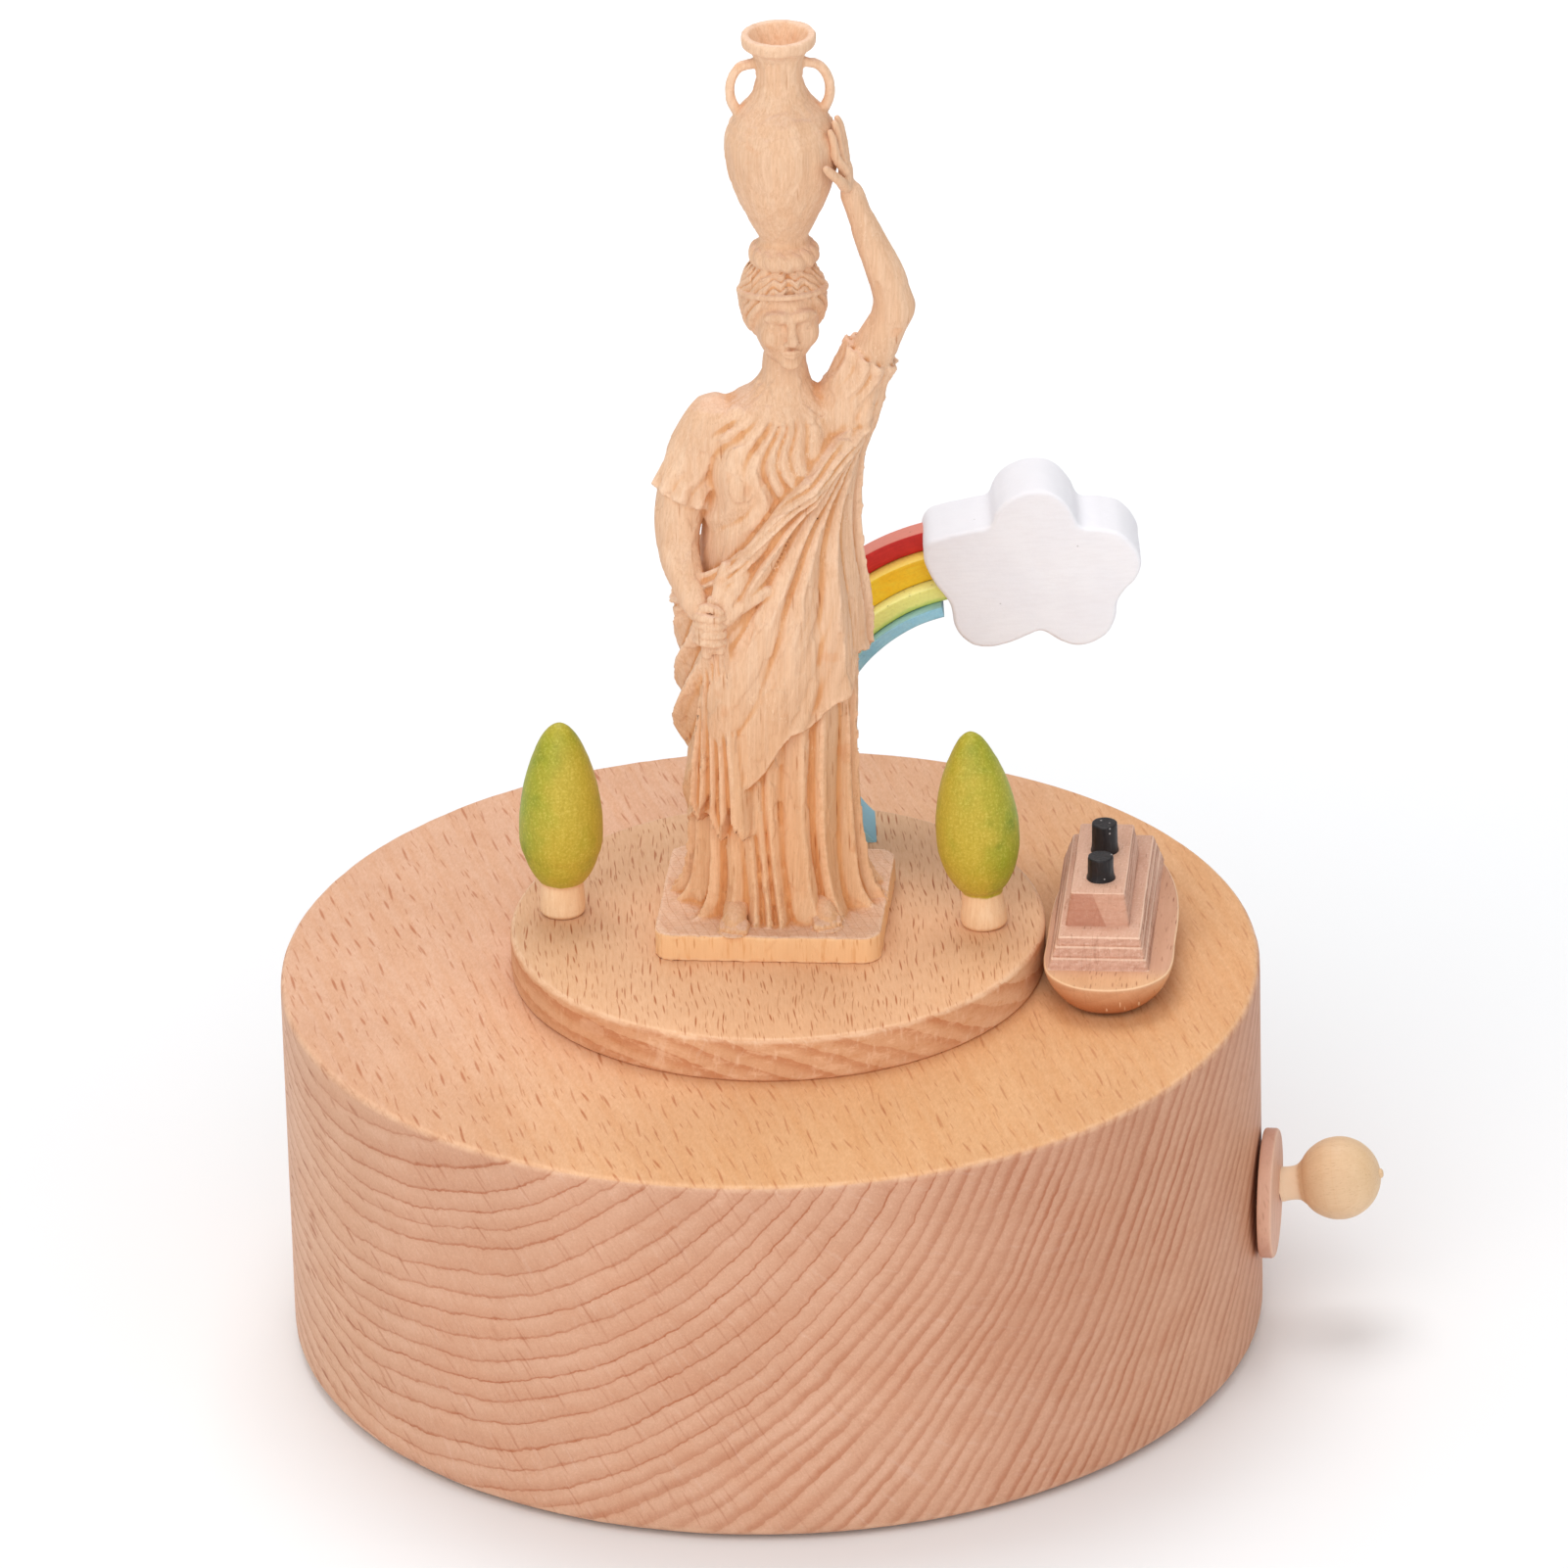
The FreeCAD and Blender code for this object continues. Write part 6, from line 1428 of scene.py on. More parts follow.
ZB = TOP + 3.2                    # top of the plinth, where the robe starts
JAR = (3.6, 0.2, 129.6)
BODY = spline([(0, 1.4, 0.4, 9.9, 7.9), (3, 1.35, 0.4, 9.4, 7.5), (14, 1.2, 0.3, 8.75, 6.8), (28, 1.2, 0.0, 9.1, 6.7),
               (36, 1.3, 0.0, 8.9, 6.5), (45, 1.6, 0.2, 7.8, 5.7), (50, 1.8, 0.15, 7.9, 5.5), (54.5, 2.1, 0.1, 8.6, 5.35),
               (57.8, 2.4, 0.15, 8.6, 4.9), (59.9, 2.6, 0.2, 7.1, 4.4), (61.3, 2.9, 0.15, 4.7, 3.6), (62.7, 3.1, 0.1, 3.0, 3.0),
               (65, 3.2, 0.1, 1.6, 1.6), (80, 3.2, 0.1, 0.6, 0.6)], 8)


def pleat(p, seed=0.0):
    """0 in the sharp valley, 1 on the crest; each fold leans its own way."""
    i = np.floor(p)
    f = p - i
    hs = hash3(i, i * 0 + seed, i * 0)
    c = 0.28 + 0.44 * hs
    return np.where(f < c, f / c, (1 - f) / (1 - c)) ** 0.82, hash3(i, i * 0 + seed + 4, i * 0)


def robe(x, y, z):
    h = z - ZB
    cx, cy, a, b = (np.interp(h, BODY[:, 0], BODY[:, i]).astype(np.float32) for i in (1, 2, 3, 4))
    X, Y = x - cx, y - cy
    th = np.arctan2(X / a, -Y / b)
    r = np.sqrt(X * X + Y * Y)
    rho = np.sqrt((X / a) ** 2 + (Y / b) ** 2)
    d = r - r / np.maximum(rho, 0.05)
    front = np.clip(-Y / 3.0, 0, 1)
    ath = np.abs(th)
    s = th * 9.0
    # the free leg's knee and shin push the cloth forward
    knee = np.exp(-((th + 0.50) / 0.34) ** 2 - ((z - 79.5) / 8.5) ** 2)
    shin = np.exp(-((th + 0.42 - (z - 66) * 0.004) / 0.20) ** 2 - ((z - 65.0) / 8.0) ** 2)
    d = d - 1.9 * knee - 0.9 * shin
    d = d - 1.25 * front * (np.exp(-((x + 1.9) / 2.5) ** 2 - ((z - 104.4) / 2.7) ** 2) + np.exp(-((x - 5.6) / 2.5) ** 2 - ((z - 104.8) / 2.7) ** 2))
    # upright folds of the dress
    sw = s + 0.8 * np.sin(z * 0.12 + s * 0.22) + 0.05 * (z - 60) * np.sign(s) * step01(ath, 0.0, 0.5)
    p = sw / 2.5 + 0.42 * np.sin(sw * 0.44 + 0.8) + 0.20 * np.sin(sw * 0.97 + z * 0.02)
    ridge, hs = pleat(p, 2.0)
    amp = 0.55 + 0.85 * hs
    A = np.interp(z, [50, 54, 66, 82, 92, 98], [2.0, 1.75, 1.5, 0.95, 0.4, 0.15]).astype(np.float32)
    fold = A * amp * (ridge - 0.40) * (1 - 0.85 * knee) * (1 - 0.5 * shin)
    # the hem breaks over the plinth
    fold = fold + 1.5 * np.exp(-np.clip(z - ZB, 0, 99) / 1.5) * (0.25 + 0.75 * ridge)
    # small folds that fan from the neckline over the bodice
    psi = np.arctan2(x - 3.1, 117.0 - z) + 0.08 * np.sin(z * 0.6)
    pb = psi * 5.2 + 0.3 * np.sin(psi * 6)
    fb = 0.72 * (pleat(pb, 9.0)[0] - 0.5) * step01(z, 96, 101) * (1 - step01(z, 110, 113.5)) * np.clip(np.abs(Y) / 2.5, 0, 1)
    dress = d - fold - fb
    # mantle: over the viewer's right shoulder, round the hips, hem rising to the right
    st = np.sin(np.clip(th, -np.pi / 2, np.pi / 2))
    tau = np.where(th > np.pi / 2, th - np.pi / 2, np.where(th < -np.pi / 2, th + 1.5 * np.pi, 0.0))
    back = ath > np.pi / 2
    top = np.where(back, np.where(th > 0, 113.0, 102.0 - 11.0 * np.cos(2 * (th + np.pi / 2))), 102.0 + 11.0 * st)
    top = top + 0.5 * np.sin(s * 0.5)
    hem = np.where(back, 72.0 + 10.0 * np.cos(tau), 72.0 + 10.0 * st) + 0.9 * np.sin(s * 0.55 + 1.0) + 0.5 * np.sin(s * 1.3)
    u = np.sqrt((s - 13.5) ** 2 + (z - 116.0) ** 2)
    phi = np.arctan2(116.0 - z, 13.5 - s)
    pm = phi * 8.6 + 0.55 * np.sin(u * 0.10 + 0.6) + 0.45 * np.sin(phi * 7.0)
    rm, hm = pleat(pm, 5.0)
    am = (0.45 + 1.05 * hm) * 1.55 * step01(u, 2.0, 18.0)
    pf = phi * 21.0 + 0.5 * np.sin(u * 0.16)
    rm = rm + 0.17 * (pleat(pf, 7.0)[0] - 0.5) * step01(u, 12.0, 30.0)
    seam = np.clip((np.pi - ath) / 0.6, 0, 1)
    pbk = (np.pi - ath) * 3.6 + 0.02 * z
    rb = pleat(pbk, 6.0)[0]
    m = (am * (rm - 0.36)) * seam * (1 - 0.55 * knee) + 0.8 * (rb - 0.4) * (1 - seam)
    roll = np.exp(-((z - (top - 1.9)) / 1.75) ** 2) * (1 - step01(ath, 1.5, 2.3))
    strand = (pleat((z - top) / 1.35 + 0.07 * s + 0.25 * np.sin(s * 0.6), 3.0)[0] - 0.4) * 0.75
    thick = 0.95 + 0.9 * step01(z, hem + 2.2, hem) * 0.35
    mantle = d - (thick + m * (1 - roll) + roll * (1.25 + strand))
    mantle = smax(mantle, (z - top) * 0.9, 0.25)
    mantle = smax(mantle, (hem - z) * 0.85, 0.18)
    out = smin(dress, mantle, 0.04)
    out = smax(out, ZB - 0.6 - z, 0.1)
    return smax(out, z - 117.5, 0.3)


def plinth(x, y, z):
    c, s = math.cos(math.radians(-6.0)), math.sin(math.radians(-6.0))
    X = (x - 0.8) * c + (y - 0.3) * s
    Y = -(x - 0.8) * s + (y - 0.3) * c
    lump = 0.05 * np.sin(x * 0.9 + 0.5) * np.sin(y * 0.8) + 0.03 * np.sin(x * 2.3 + y * 1.1)
    rc = 2.2
    qx, qy = np.abs(X) - (12.66 - rc), np.abs(Y) - (11.46 - rc)
    dxy = np.sqrt(np.maximum(qx, 0) ** 2 + np.maximum(qy, 0) ** 2) + np.minimum(np.maximum(qx, qy), 0) - rc
    dz = np.maximum(z - ZB - lump, TOP - z)
    return smax(dxy, dz, 0.10)


def sleeve(p, q, r0, r1, n, seed, amp=0.34, over=0.0):
    """Short sleeve round an arm: a folded cone with a cut cuff at q."""
    p, q = np.array(p, float), np.array(q, float)
    b = q - p
    L = float(np.linalg.norm(b))
    b = b / L
    e = unit(np.cross(b, [0.2, 1.0, 0.1]))
    g = np.cross(b, e)

    def fn(x, y, z):
        X, Y, Z = x - p[0], y - p[1], z - p[2]
        t = X * b[0] + Y * b[1] + Z * b[2]
        u = X * e[0] + Y * e[1] + Z * e[2]
        w = X * g[0] + Y * g[1] + Z * g[2]
        a = np.arctan2(w, u)
        f = np.clip(t / L, 0, 1)
        r = np.sqrt(u * u + w * w)
        R = r0 + (r1 - r0) * f - 1.9 * np.clip(-t / 2.4, 0, 1) ** 2 + amp * (0.3 + 1.0 * f) * (pleat((a / (2 * np.pi) + 0.5) * n + 0.25 * np.sin(t * 0.7), seed)[0] - 0.45)
        d = smax(r - R, t - L - over * np.sin(a * 3), 0.08)
        # the cuff is hollowed a little round the arm
        d = smax(d, -np.maximum(r - (R - 0.55), L - 0.6 - t), 0.06)
        return smax(d, -t - 2.0, 0.5)
    return fn


def cascade(x, y, z):
    """Pleated end of the mantle falling from the hand."""
    t = np.clip((88.2 - z) / 27.0, 0, 1)
    cx, cy = -5.1 - 0.25 * t, -7.25 + 0.75 * t
    W = 1.05 + 2.75 * t ** 0.75
    U = (x - cx) * 0.80 - (y - cy) * 0.60
    V = -(x - cx) * 0.60 - (y - cy) * 0.80
    p = U / W * 2.35 + 0.25 * np.sin(z * 0.16)
    tri = np.abs(2 * (p - np.floor(p + 0.5)))
    zb = 61.2 + 5.2 * np.abs(2 * (p * 0.5 - np.floor(p * 0.5 + 0.5))) + 0.55 * np.abs(U - 1.0)
    d = smax(V - (0.15 + (0.45 + 0.75 * t) * tri), np.abs(U) - W, 0.12)
    d = smax(d, -(V + 5.0), 0.3)
    d = smax(d, (zb - z) * 0.8, 0.08)
    return smax(d, z - 88.6, 0.3)

JAR_P = np.array([(3.0, 0), (3.55, 0.5), (3.45, 1.3), (2.8, 2.0), (2.75, 2.6), (3.35, 3.8), (4.35, 5.8), (5.35, 8.2), (6.05, 10.6), (6.3, 12.6),
                  (6.22, 14.2), (5.75, 15.8), (4.85, 17.2), (3.75, 18.4), (3.0, 19.6), (2.65, 21.0), (2.6, 22.4), (2.75, 23.6), (3.2, 24.5),
                  (3.95, 25.0), (4.1, 25.3), (4.1, 26.0), (4.0, 26.35)])


def jar(x, y, z):
    h = z - JAR[2]
    R = np.interp(h, JAR_P[:, 1], JAR_P[:, 0]).astype(np.float32)
    sl = np.interp(h, JAR_P[:, 1], np.gradient(JAR_P[:, 0], JAR_P[:, 1])).astype(np.float32)
    for z0, g, w in ((15.4, 0.17, 0.2), (16.3, 0.17, 0.2), (9.2, 0.12, 0.18), (21.2, 0.14, 0.2), (5.2, 0.10, 0.2)):
        R = R - g * np.exp(-((h - z0) / w) ** 2)
    r = np.sqrt((x - JAR[0]) ** 2 + (y - JAR[1]) ** 2)
    a = np.arctan2(y - JAR[1], x - JAR[0])
    # the belly is cut in long shallow knife flats
    R = R - 0.10 * (1 - np.abs(np.sin(a * 9.0 + 0.4 * np.sin(h * 0.5)))) * np.exp(-((h - 11.5) / 5.0) ** 2)
    d = (r - R) / np.sqrt(1 + sl * sl)
    d = smax(d, h - 26.35, 0.12)
    mouth = np.maximum(r - np.interp(h, [22.5, 24.0, 26.4], [1.2, 1.9, 3.3]), 22.8 - h)
    return smax(smax(d, -h, 0.1), -mouth, 0.12)


def carved_wood():
    def extra(M, P, col, h):
        cv = M.attr("cavity")
        x, y, z = M.xyz(P)
        nx, ny, nz = M.xyz(M.tc("Normal"))
        # a few thin pores lying along the grain, more of them low down
        v = M.vor(M.comb(M.ma("MULTIPLY", x, 2.3), M.ma("MULTIPLY", y, 0.35), M.ma("DIVIDE", z, 4.6)), 1.0)
        cr = M.xyz(v.outputs["Color"])
        keep = M.rng(z, 78.0, 112.0, 0.34, 0.035, "LINEAR")
        k = M.ma("MULTIPLY", M.rng(v.outputs["Distance"], 0.30, 0.12), M.ma("LESS_THAN", cr[0], keep))
        k = M.ma("MULTIPLY", k, M.rng(cr[1], 0.0, 1.0, 0.35, 0.95, "LINEAR"))
        k = M.ma("MULTIPLY", k, M.rng(M.ma("ABSOLUTE", nz), 0.8, 0.5))
        col = M.mix(M.ma("MULTIPLY", k, 0.85), col, M.mix(1.0, col, (0.62, 0.40, 0.26, 1), "MULTIPLY"))
        h = M.ma("SUBTRACT", h, M.ma("MULTIPLY", k, 0.7))
        # faint long bands of the grain
        gb = M.noise(M.comb(M.ma("MULTIPLY", x, 1.25), M.ma("MULTIPLY", y, 1.25), M.ma("MULTIPLY", z, 0.045)), 1.0, 3.0, 0.55)
        col = M.mix(M.rng(gb, 0.40, 0.62, 0.30, 0.0), col, M.mix(1.0, col, (0.90, 0.76, 0.62, 1), "MULTIPLY"))
        # painted shade darkens the hollows to a deeper orange; ridges go pale in broken patches, a painted highlight
        kk = M.rng(cv, -0.015, -0.20)
        col = M.mix(M.ma("MULTIPLY", kk, 0.90), col, M.mix(1.0, col, (0.885, 0.68, 0.46, 1), "MULTIPLY"))
        nz2 = M.noise(P, 1.3, 4.0, 0.7)
        e = M.ma("MULTIPLY", M.rng(cv, 0.04, 0.20), M.rng(nz2, 0.36, 0.62, 0.15, 1.0))
        col = M.mix(M.ma("MULTIPLY", e, 0.50), col, lin(250, 214, 184))
        # fuzz left by the knife, pale broken fibres
        fz = M.noise(M.comb(M.ma("MULTIPLY", x, 2.6), M.ma("MULTIPLY", y, 2.6), M.ma("MULTIPLY", z, 1.1)), 1.0, 4.0, 0.72, 1.4)
        patch = M.rng(M.noise(P, 0.16, 2.0), 0.50, 0.68)
        col = M.mix(M.ma("MULTIPLY", M.rng(fz, 0.54, 0.68), M.ma("MULTIPLY", patch, 0.55)), col, lin(252, 222, 192))
        h = M.ma("ADD", h, M.ma("MULTIPLY", fz, M.ma("ADD", 0.8, M.ma("MULTIPLY", patch, 1.2))))
        # end grain, cut flat with fine strokes both ways
        up = M.rng(nz, 0.60, 0.88)
        l1 = M.ma("FRACT", M.ma("ADD", M.ma("MULTIPLY", x, 0.95), M.ma("ADD", M.ma("MULTIPLY", y, 0.22), M.ma("MULTIPLY", M.noise(P, 0.12, 1.0), 2.2))))
        l2 = M.ma("FRACT", M.ma("ADD", M.ma("MULTIPLY", y, 1.55), M.ma("MULTIPLY", M.noise(P, 0.15, 1.0), 1.8)))
        lines = M.ma("ADD", M.rng(M.ma("ABSOLUTE", M.ma("SUBTRACT", l1, 0.5)), 0.05, 0.0), M.rng(M.ma("ABSOLUTE", M.ma("SUBTRACT", l2, 0.5)), 0.045, 0.0), clamp=True)
        lines = M.ma("MULTIPLY", M.ma("MULTIPLY", lines, up), M.rng(z, TOP + 4.0, TOP + 3.5))
        col = M.mix(M.ma("MULTIPLY", up, M.rng(z, TOP + 5.0, TOP + 4.0, 0.25, 0.8)), col, M.mix(1.0, col, (1.0, 1.10, 1.36, 1), "MULTIPLY"))
        col = M.mix(M.ma("MULTIPLY", lines, 0.62), col, M.mix(1.0, col, (0.72, 0.52, 0.42, 1), "MULTIPLY"))
        # rusty stains here and there
        b = M.noise(P, 0.26, 2.0)
        col = M.mix(M.rng(b, 0.66, 0.74, 0.0, 0.35), col, M.mix(1.0, col, (0.92, 0.70, 0.54, 1), "MULTIPLY"))
        # deeper honey toward the lower folds, pale honey sides of the plinth
        col = M.mix(M.rng(z, 90.0, 58.0, 0.0, 0.72), col, M.mix(1.0, col, (0.95, 0.83, 0.66, 1), "MULTIPLY"))
        pl = M.ma("MULTIPLY", M.rng(z, TOP + 3.15, TOP + 2.95), M.rng(nz, 0.5, 0.3))
        col = M.mix(M.ma("MULTIPLY", pl, 0.68), col, lin(252, 205, 152))
        vg = M.noise(M.comb(M.ma("MULTIPLY", x, 2.1), M.ma("MULTIPLY", y, 2.1), M.ma("MULTIPLY", z, 0.22)), 1.0, 3.0, 0.62)
        col = M.mix(M.ma("MULTIPLY", pl, M.rng(vg, 0.46, 0.32, 0.0, 0.55)), col, M.mix(1.0, col, (0.84, 0.66, 0.48, 1), "MULTIPLY"))
        dv = M.vor(M.comb(M.ma("MULTIPLY", x, 2.6), M.ma("MULTIPLY", y, 2.6), M.ma("DIVIDE", z, 2.6)), 1.0)
        dk = M.ma("MULTIPLY", M.rng(dv.outputs["Distance"], 0.34, 0.14), M.ma("LESS_THAN", M.xyz(dv.outputs["Color"])[0], 0.22))
        col = M.mix(M.ma("MULTIPLY", M.ma("MULTIPLY", pl, dk), 0.6), col, M.mix(1.0, col, (0.66, 0.42, 0.24, 1), "MULTIPLY"))
        rim = M.rng(M.ma("ADD", z, M.ma("MULTIPLY", M.ma("SUBTRACT", nz2, 0.5), 0.9)), TOP + 0.42, TOP + 0.16)
        col = M.mix(M.ma("MULTIPLY", rim, 0.5), col, lin(252, 214, 172))
        h = M.ma("SUBTRACT", h, M.ma("MULTIPLY", lines, 0.6))
        return col, h
    return wood("beech_carved_wood", (0.05, 0.03, 1.0), (46, 40, 90), 3.1, base=(240, 203, 171), ring=0.16, streak=0.14, end_tone=(0.99, 0.98, 1.0),
                seed=0.0, rough=0.58, spec=0.18, warp=1.6, extra=extra, pore=0.09, relief=1.15)


def carve(fd, name, mat, cell=(1.7, 1.7, 3.4), keep=0.40, limit=0.11, fine=0.015, r=0.75, gain=1.0, low=True):
    v, f = fd.mesh()
    cav = fd.cavity(v, r) * gain
    if cell:
        v = knife(fd, v, grad(fd, v), cell, keep, limit)
    g = grad(fd, v)
    v = v + g * (vnoise(v[:, 0] * 1.9, v[:, 1] * 1.9, v[:, 2] * 0.9, 4) * fine + vnoise(v[:, 0] * 0.6, v[:, 1] * 0.6, v[:, 2] * 0.35, 6) * fine)[:, None]
    v[:, 2] = np.minimum(v[:, 2], 155.95)
    if low:
        v[:, 2] = np.maximum(v[:, 2], TOP)
    o = to_object(name, v, f)
    if len(o.data.vertices) == len(v):
        at = o.data.attributes.new("cavity", "FLOAT", "POINT")
        at.data.foreach_set("value", cav.astype(np.float32))
    put(o, mat, "root", "carved_figure", "beech_carved")
    return o


def make_figure():
    mat = carved_wood()
    hh = 0.23
    fd = Field((-13.4, -12.6, 48.3), (18.9, 13.4, 156.6), hh)
    fd.add((-13.4, -12.6, 50.5), (18.9, 13.4, 118.0), robe, 0.05)
    fd.add((-13.4, -12.6, 48.0), (15.5, 13.4, 53.6), plinth, 0.15)
    # neck
    fd.cone((3.25, 0.3, 111.0), (3.45, -0.1, 118.6), 2.8, 2.25, 1.3)
    # raised arm with its short sleeve (viewer's right)
    fd.path([(8.6, 0.2, 110.2, 3.0), (10.6, 0.1, 113.6, 2.75), (13.0, -0.5, 118.2, 2.2), (15.2, -1.1, 122.9, 1.85), (15.6, -1.2, 124.3, 1.9)], 0.9)
    fd.path([(15.6, -1.2, 124.2, 1.9), (14.7, -1.25, 127.6, 1.9), (13.0, -1.25, 132.0, 1.55), (11.6, -1.25, 136.0, 1.15), (11.05, -1.3, 137.8, 1.1)], 0.5)
    fd.add((3.0, -6.0, 104.0), (18.0, 6.0, 123.0), sleeve((8.6, 0.3, 110.2), (13.0, -0.5, 118.3), 2.9, 3.1, 9, 3.0, 0.55), 0.40)
    # sleeve cloth that hangs from the raised arm
    for q in ([(14.2, -0.4, 117.2, 0.75), (13.2, 0.0, 113.0, 1.2), (11.4, 0.3, 107.5, 1.2), (10.0, 0.4, 102.5, 0.8)],
              [(13.5, -1.9, 117.0, 0.55), (12.3, -2.0, 112.4, 0.75), (10.8, -2.2, 107.0, 0.7), (9.6, -2.6, 102.2, 0.5)],
              [(13.3, 1.3, 117.0, 0.55), (12.2, 1.8, 112.4, 0.75), (10.6, 2.1, 107.0, 0.7), (9.4, 2.2, 102.6, 0.5)]):
        fd.path(q, 0.22)
    # lowered arm (viewer's left) and its sleeve
    fd.path([(-4.6, 0.2, 110.2, 3.0), (-7.0, -0.1, 105.8, 2.8), (-8.7, -0.9, 100.2, 2.35), (-9.0, -1.5, 97.3, 2.15)], 0.8)
    fd.add((-14.0, -6.5, 98.0), (0.5, 6.5, 116.0), sleeve((-5.3, 0.2, 108.6), (-8.5, -0.6, 101.6), 2.9, 3.25, 9, 5.0, 0.6), 0.50)
    fd.path([(-9.0, -1.5, 97.4, 2.15), (-8.6, -3.2, 94.7, 2.0), (-7.4, -5.5, 91.5, 1.5), (-6.7, -6.4, 90.2, 1.25)], 0.5)
    # folds gathered in the fist: up to the roll, and down in a cascade
    for q in ([(-1.6, -6.4, 94.6, 0.9), (-3.4, -7.1, 92.0, 0.95), (-4.6, -7.6, 89.6, 0.9)],
              [(-3.6, -6.0, 95.2, 0.8), (-4.5, -6.9, 92.6, 0.8), (-5.0, -7.3, 90.2, 0.8)],
              [(0.6, -6.9, 92.6, 0.7), (-2.2, -7.4, 91.0, 0.8), (-4.4, -7.7, 89.0, 0.8)]):
        fd.path(q, 0.18)
    fd.add((-13.0, -12.0, 58.0), (1.5, 0.0, 89.5), cascade, 0.08)
    # jar with two handles
    fd.add((-3.6, -7.0, 129.2), (10.8, 7.4, 156.6), jar, 0.14)
    for sg in (-1, 1):
        fd.path([(JAR[0] + sg * 4.3, JAR[1], 146.2, 0.60), (JAR[0] + sg * 5.35, JAR[1], 148.4, 0.52), (JAR[0] + sg * 5.25, JAR[1], 150.6, 0.50),
                 (JAR[0] + sg * 4.2, JAR[1], 152.1, 0.50), (JAR[0] + sg * 2.6, JAR[1], 152.5, 0.55)], 0.22)
    carve(fd, "figure", mat)

    # hands and feet, on finer grids
    fh = 0.12
    hd = Field((7.0, -6.8, 135.4), (12.9, 2.6, 147.6), fh)
    hd.cone((11.6, -1.25, 135.8), (11.0, -1.35, 138.0), 1.16, 1.05, 0.3)
    hd.ball((10.55, -1.35, 139.7), (0.85, 1.75, 2.0), 0.45)
    for j in range(4):
        y0 = -2.85 + 0.98 * j
        up = (0.0, 0.65, 0.75, 0.15)[j]
        ins = math.sqrt(max(0.1, 6.25 ** 2 - (y0 * 1.08 - 0.2) ** 2)) + 3.6
        hd.path([(10.55, y0, 140.7, 0.56), (ins + 0.55, y0 * 1.04, 142.5 + up * 0.4, 0.53), (ins + 0.42, y0 * 1.06, 143.7 + up * 0.7, 0.47),
                 (ins + 0.22, y0 * 1.08, 144.8 + up, 0.42), (ins + 0.02, y0 * 1.1, 145.5 + up, 0.34)], 0.10, smooth=3)
        hd.ball((ins + 0.50, y0 * 1.04, 142.9 + up * 0.5), (0.56, 0.54, 0.5), 0.1)
    hd.path([(10.5, -2.6, 138.7, 0.66), (9.9, -3.9, 140.0, 0.56), (9.1, -4.75, 141.1, 0.50), (8.4, -5.2, 142.0, 0.42)], 0.2, smooth=3)
    carve(hd, "figure_hand_up", mat, cell=(0.9, 0.9, 1.3), keep=0.5, limit=0.05, fine=0.008, r=0.3, gain=1.2)
    hd = Field((-9.2, -10.2, 84.8), (-2.2, -4.2, 93.4), fh)
    hd.cone((-7.4, -5.5, 91.5), (-6.5, -6.7, 90.0), 1.48, 1.22, 0.3)
    hd.ball((-5.9, -7.25, 88.7), (1.5, 1.25, 1.75), 0.45)
    for j in range(4):
        z0 = 90.2 - 0.98 * j
        hd.path([(-7.15, -7.5, z0 - 0.1, 0.50), (-6.5, -8.45, z0 + 0.04, 0.53), (-5.2, -8.95, z0 - 0.02, 0.50), (-4.35, -8.5, z0 - 0.08, 0.46), (-4.1, -7.8, z0 - 0.1, 0.4)], 0.10, smooth=3)
        hd.ball((-6.45, -8.4, z0 + 0.04), (0.55, 0.52, 0.5), 0.1)
    hd.path([(-6.9, -7.1, 90.6, 0.60), (-5.9, -8.1, 91.25, 0.52), (-5.0, -8.6, 91.2, 0.46), (-4.4, -8.7, 90.9, 0.40)], 0.15, smooth=3)
    for q in ([(-5.4, -7.4, 91.8, 0.55), (-5.3, -7.6, 86.2, 0.75)], [(-4.7, -7.5, 91.6, 0.5), (-4.6, -8.0, 86.2, 0.7)], [(-6.1, -7.3, 87.6, 0.5), (-6.1, -7.6, 85.4, 0.6)]):
        hd.path(q, 0.1, smooth=0)
    carve(hd, "figure_hand_low", mat, cell=(0.9, 0.9, 1.3), keep=0.5, limit=0.05, fine=0.008, r=0.3, gain=1.2)
    hd = Field((-7.2, -11.3, 51.2), (9.6, -3.4, 55.6), fh)
    for fx, fy, tr, tw in ((-3.8, -8.0, 0.10, -0.16), (6.2, -7.5, -0.06, 0.22)):
        fx0 = fx - tw * 3.0
        hd.path([(fx0, fy + 3.2, ZB + 1.1, 1.5), (fx, fy + 0.6, ZB + 0.95, 1.25), (fx + tw, fy - 1.0, ZB + 0.55, 1.0)], 0.4, smooth=3)
        hd.ball((fx + tw * 0.5, fy - 0.5, ZB + 0.15), (1.75, 1.9, 0.75), 0.4)
        for t in range(5):
            sgn = 1 if fx < 0 else -1
            tx = fx + sgn * (1.25 - t * 0.62) + tw * 1.6
            rr = (0.46, 0.38, 0.36, 0.34, 0.32)[t]
            ty = fy - 2.25 + (0.0, 0.02, 0.22, 0.5, 0.85)[t]
            hd.path([(tx - tw * 0.8, ty + 1.5, ZB + 0.62, rr), (tx, ty + 0.3, ZB + 0.5, rr), (tx + 0.1 * tw, ty - 0.15, ZB + 0.36, rr * 0.95)], 0.09, smooth=3)
        # sandal: sole and two straps
        hd.ball((fx + tw * 0.6, fy - 0.6, ZB - 0.05), (2.1, 2.6, 0.36), 0.05)
        hd.path([(fx - 1.55, fy - 0.2, ZB + 0.3, 0.22), (fx - 0.6 + tw, fy - 0.5, ZB + 1.5, 0.22), (fx + 0.7 + tw, fy - 0.5, ZB + 1.45, 0.22), (fx + 1.6 + tw, fy - 0.2, ZB + 0.3, 0.22)], 0.06)
    carve(hd, "figure_feet", mat, cell=(0.9, 0.9, 1.1), keep=0.5, limit=0.04, fine=0.008, r=0.3, gain=1.2)

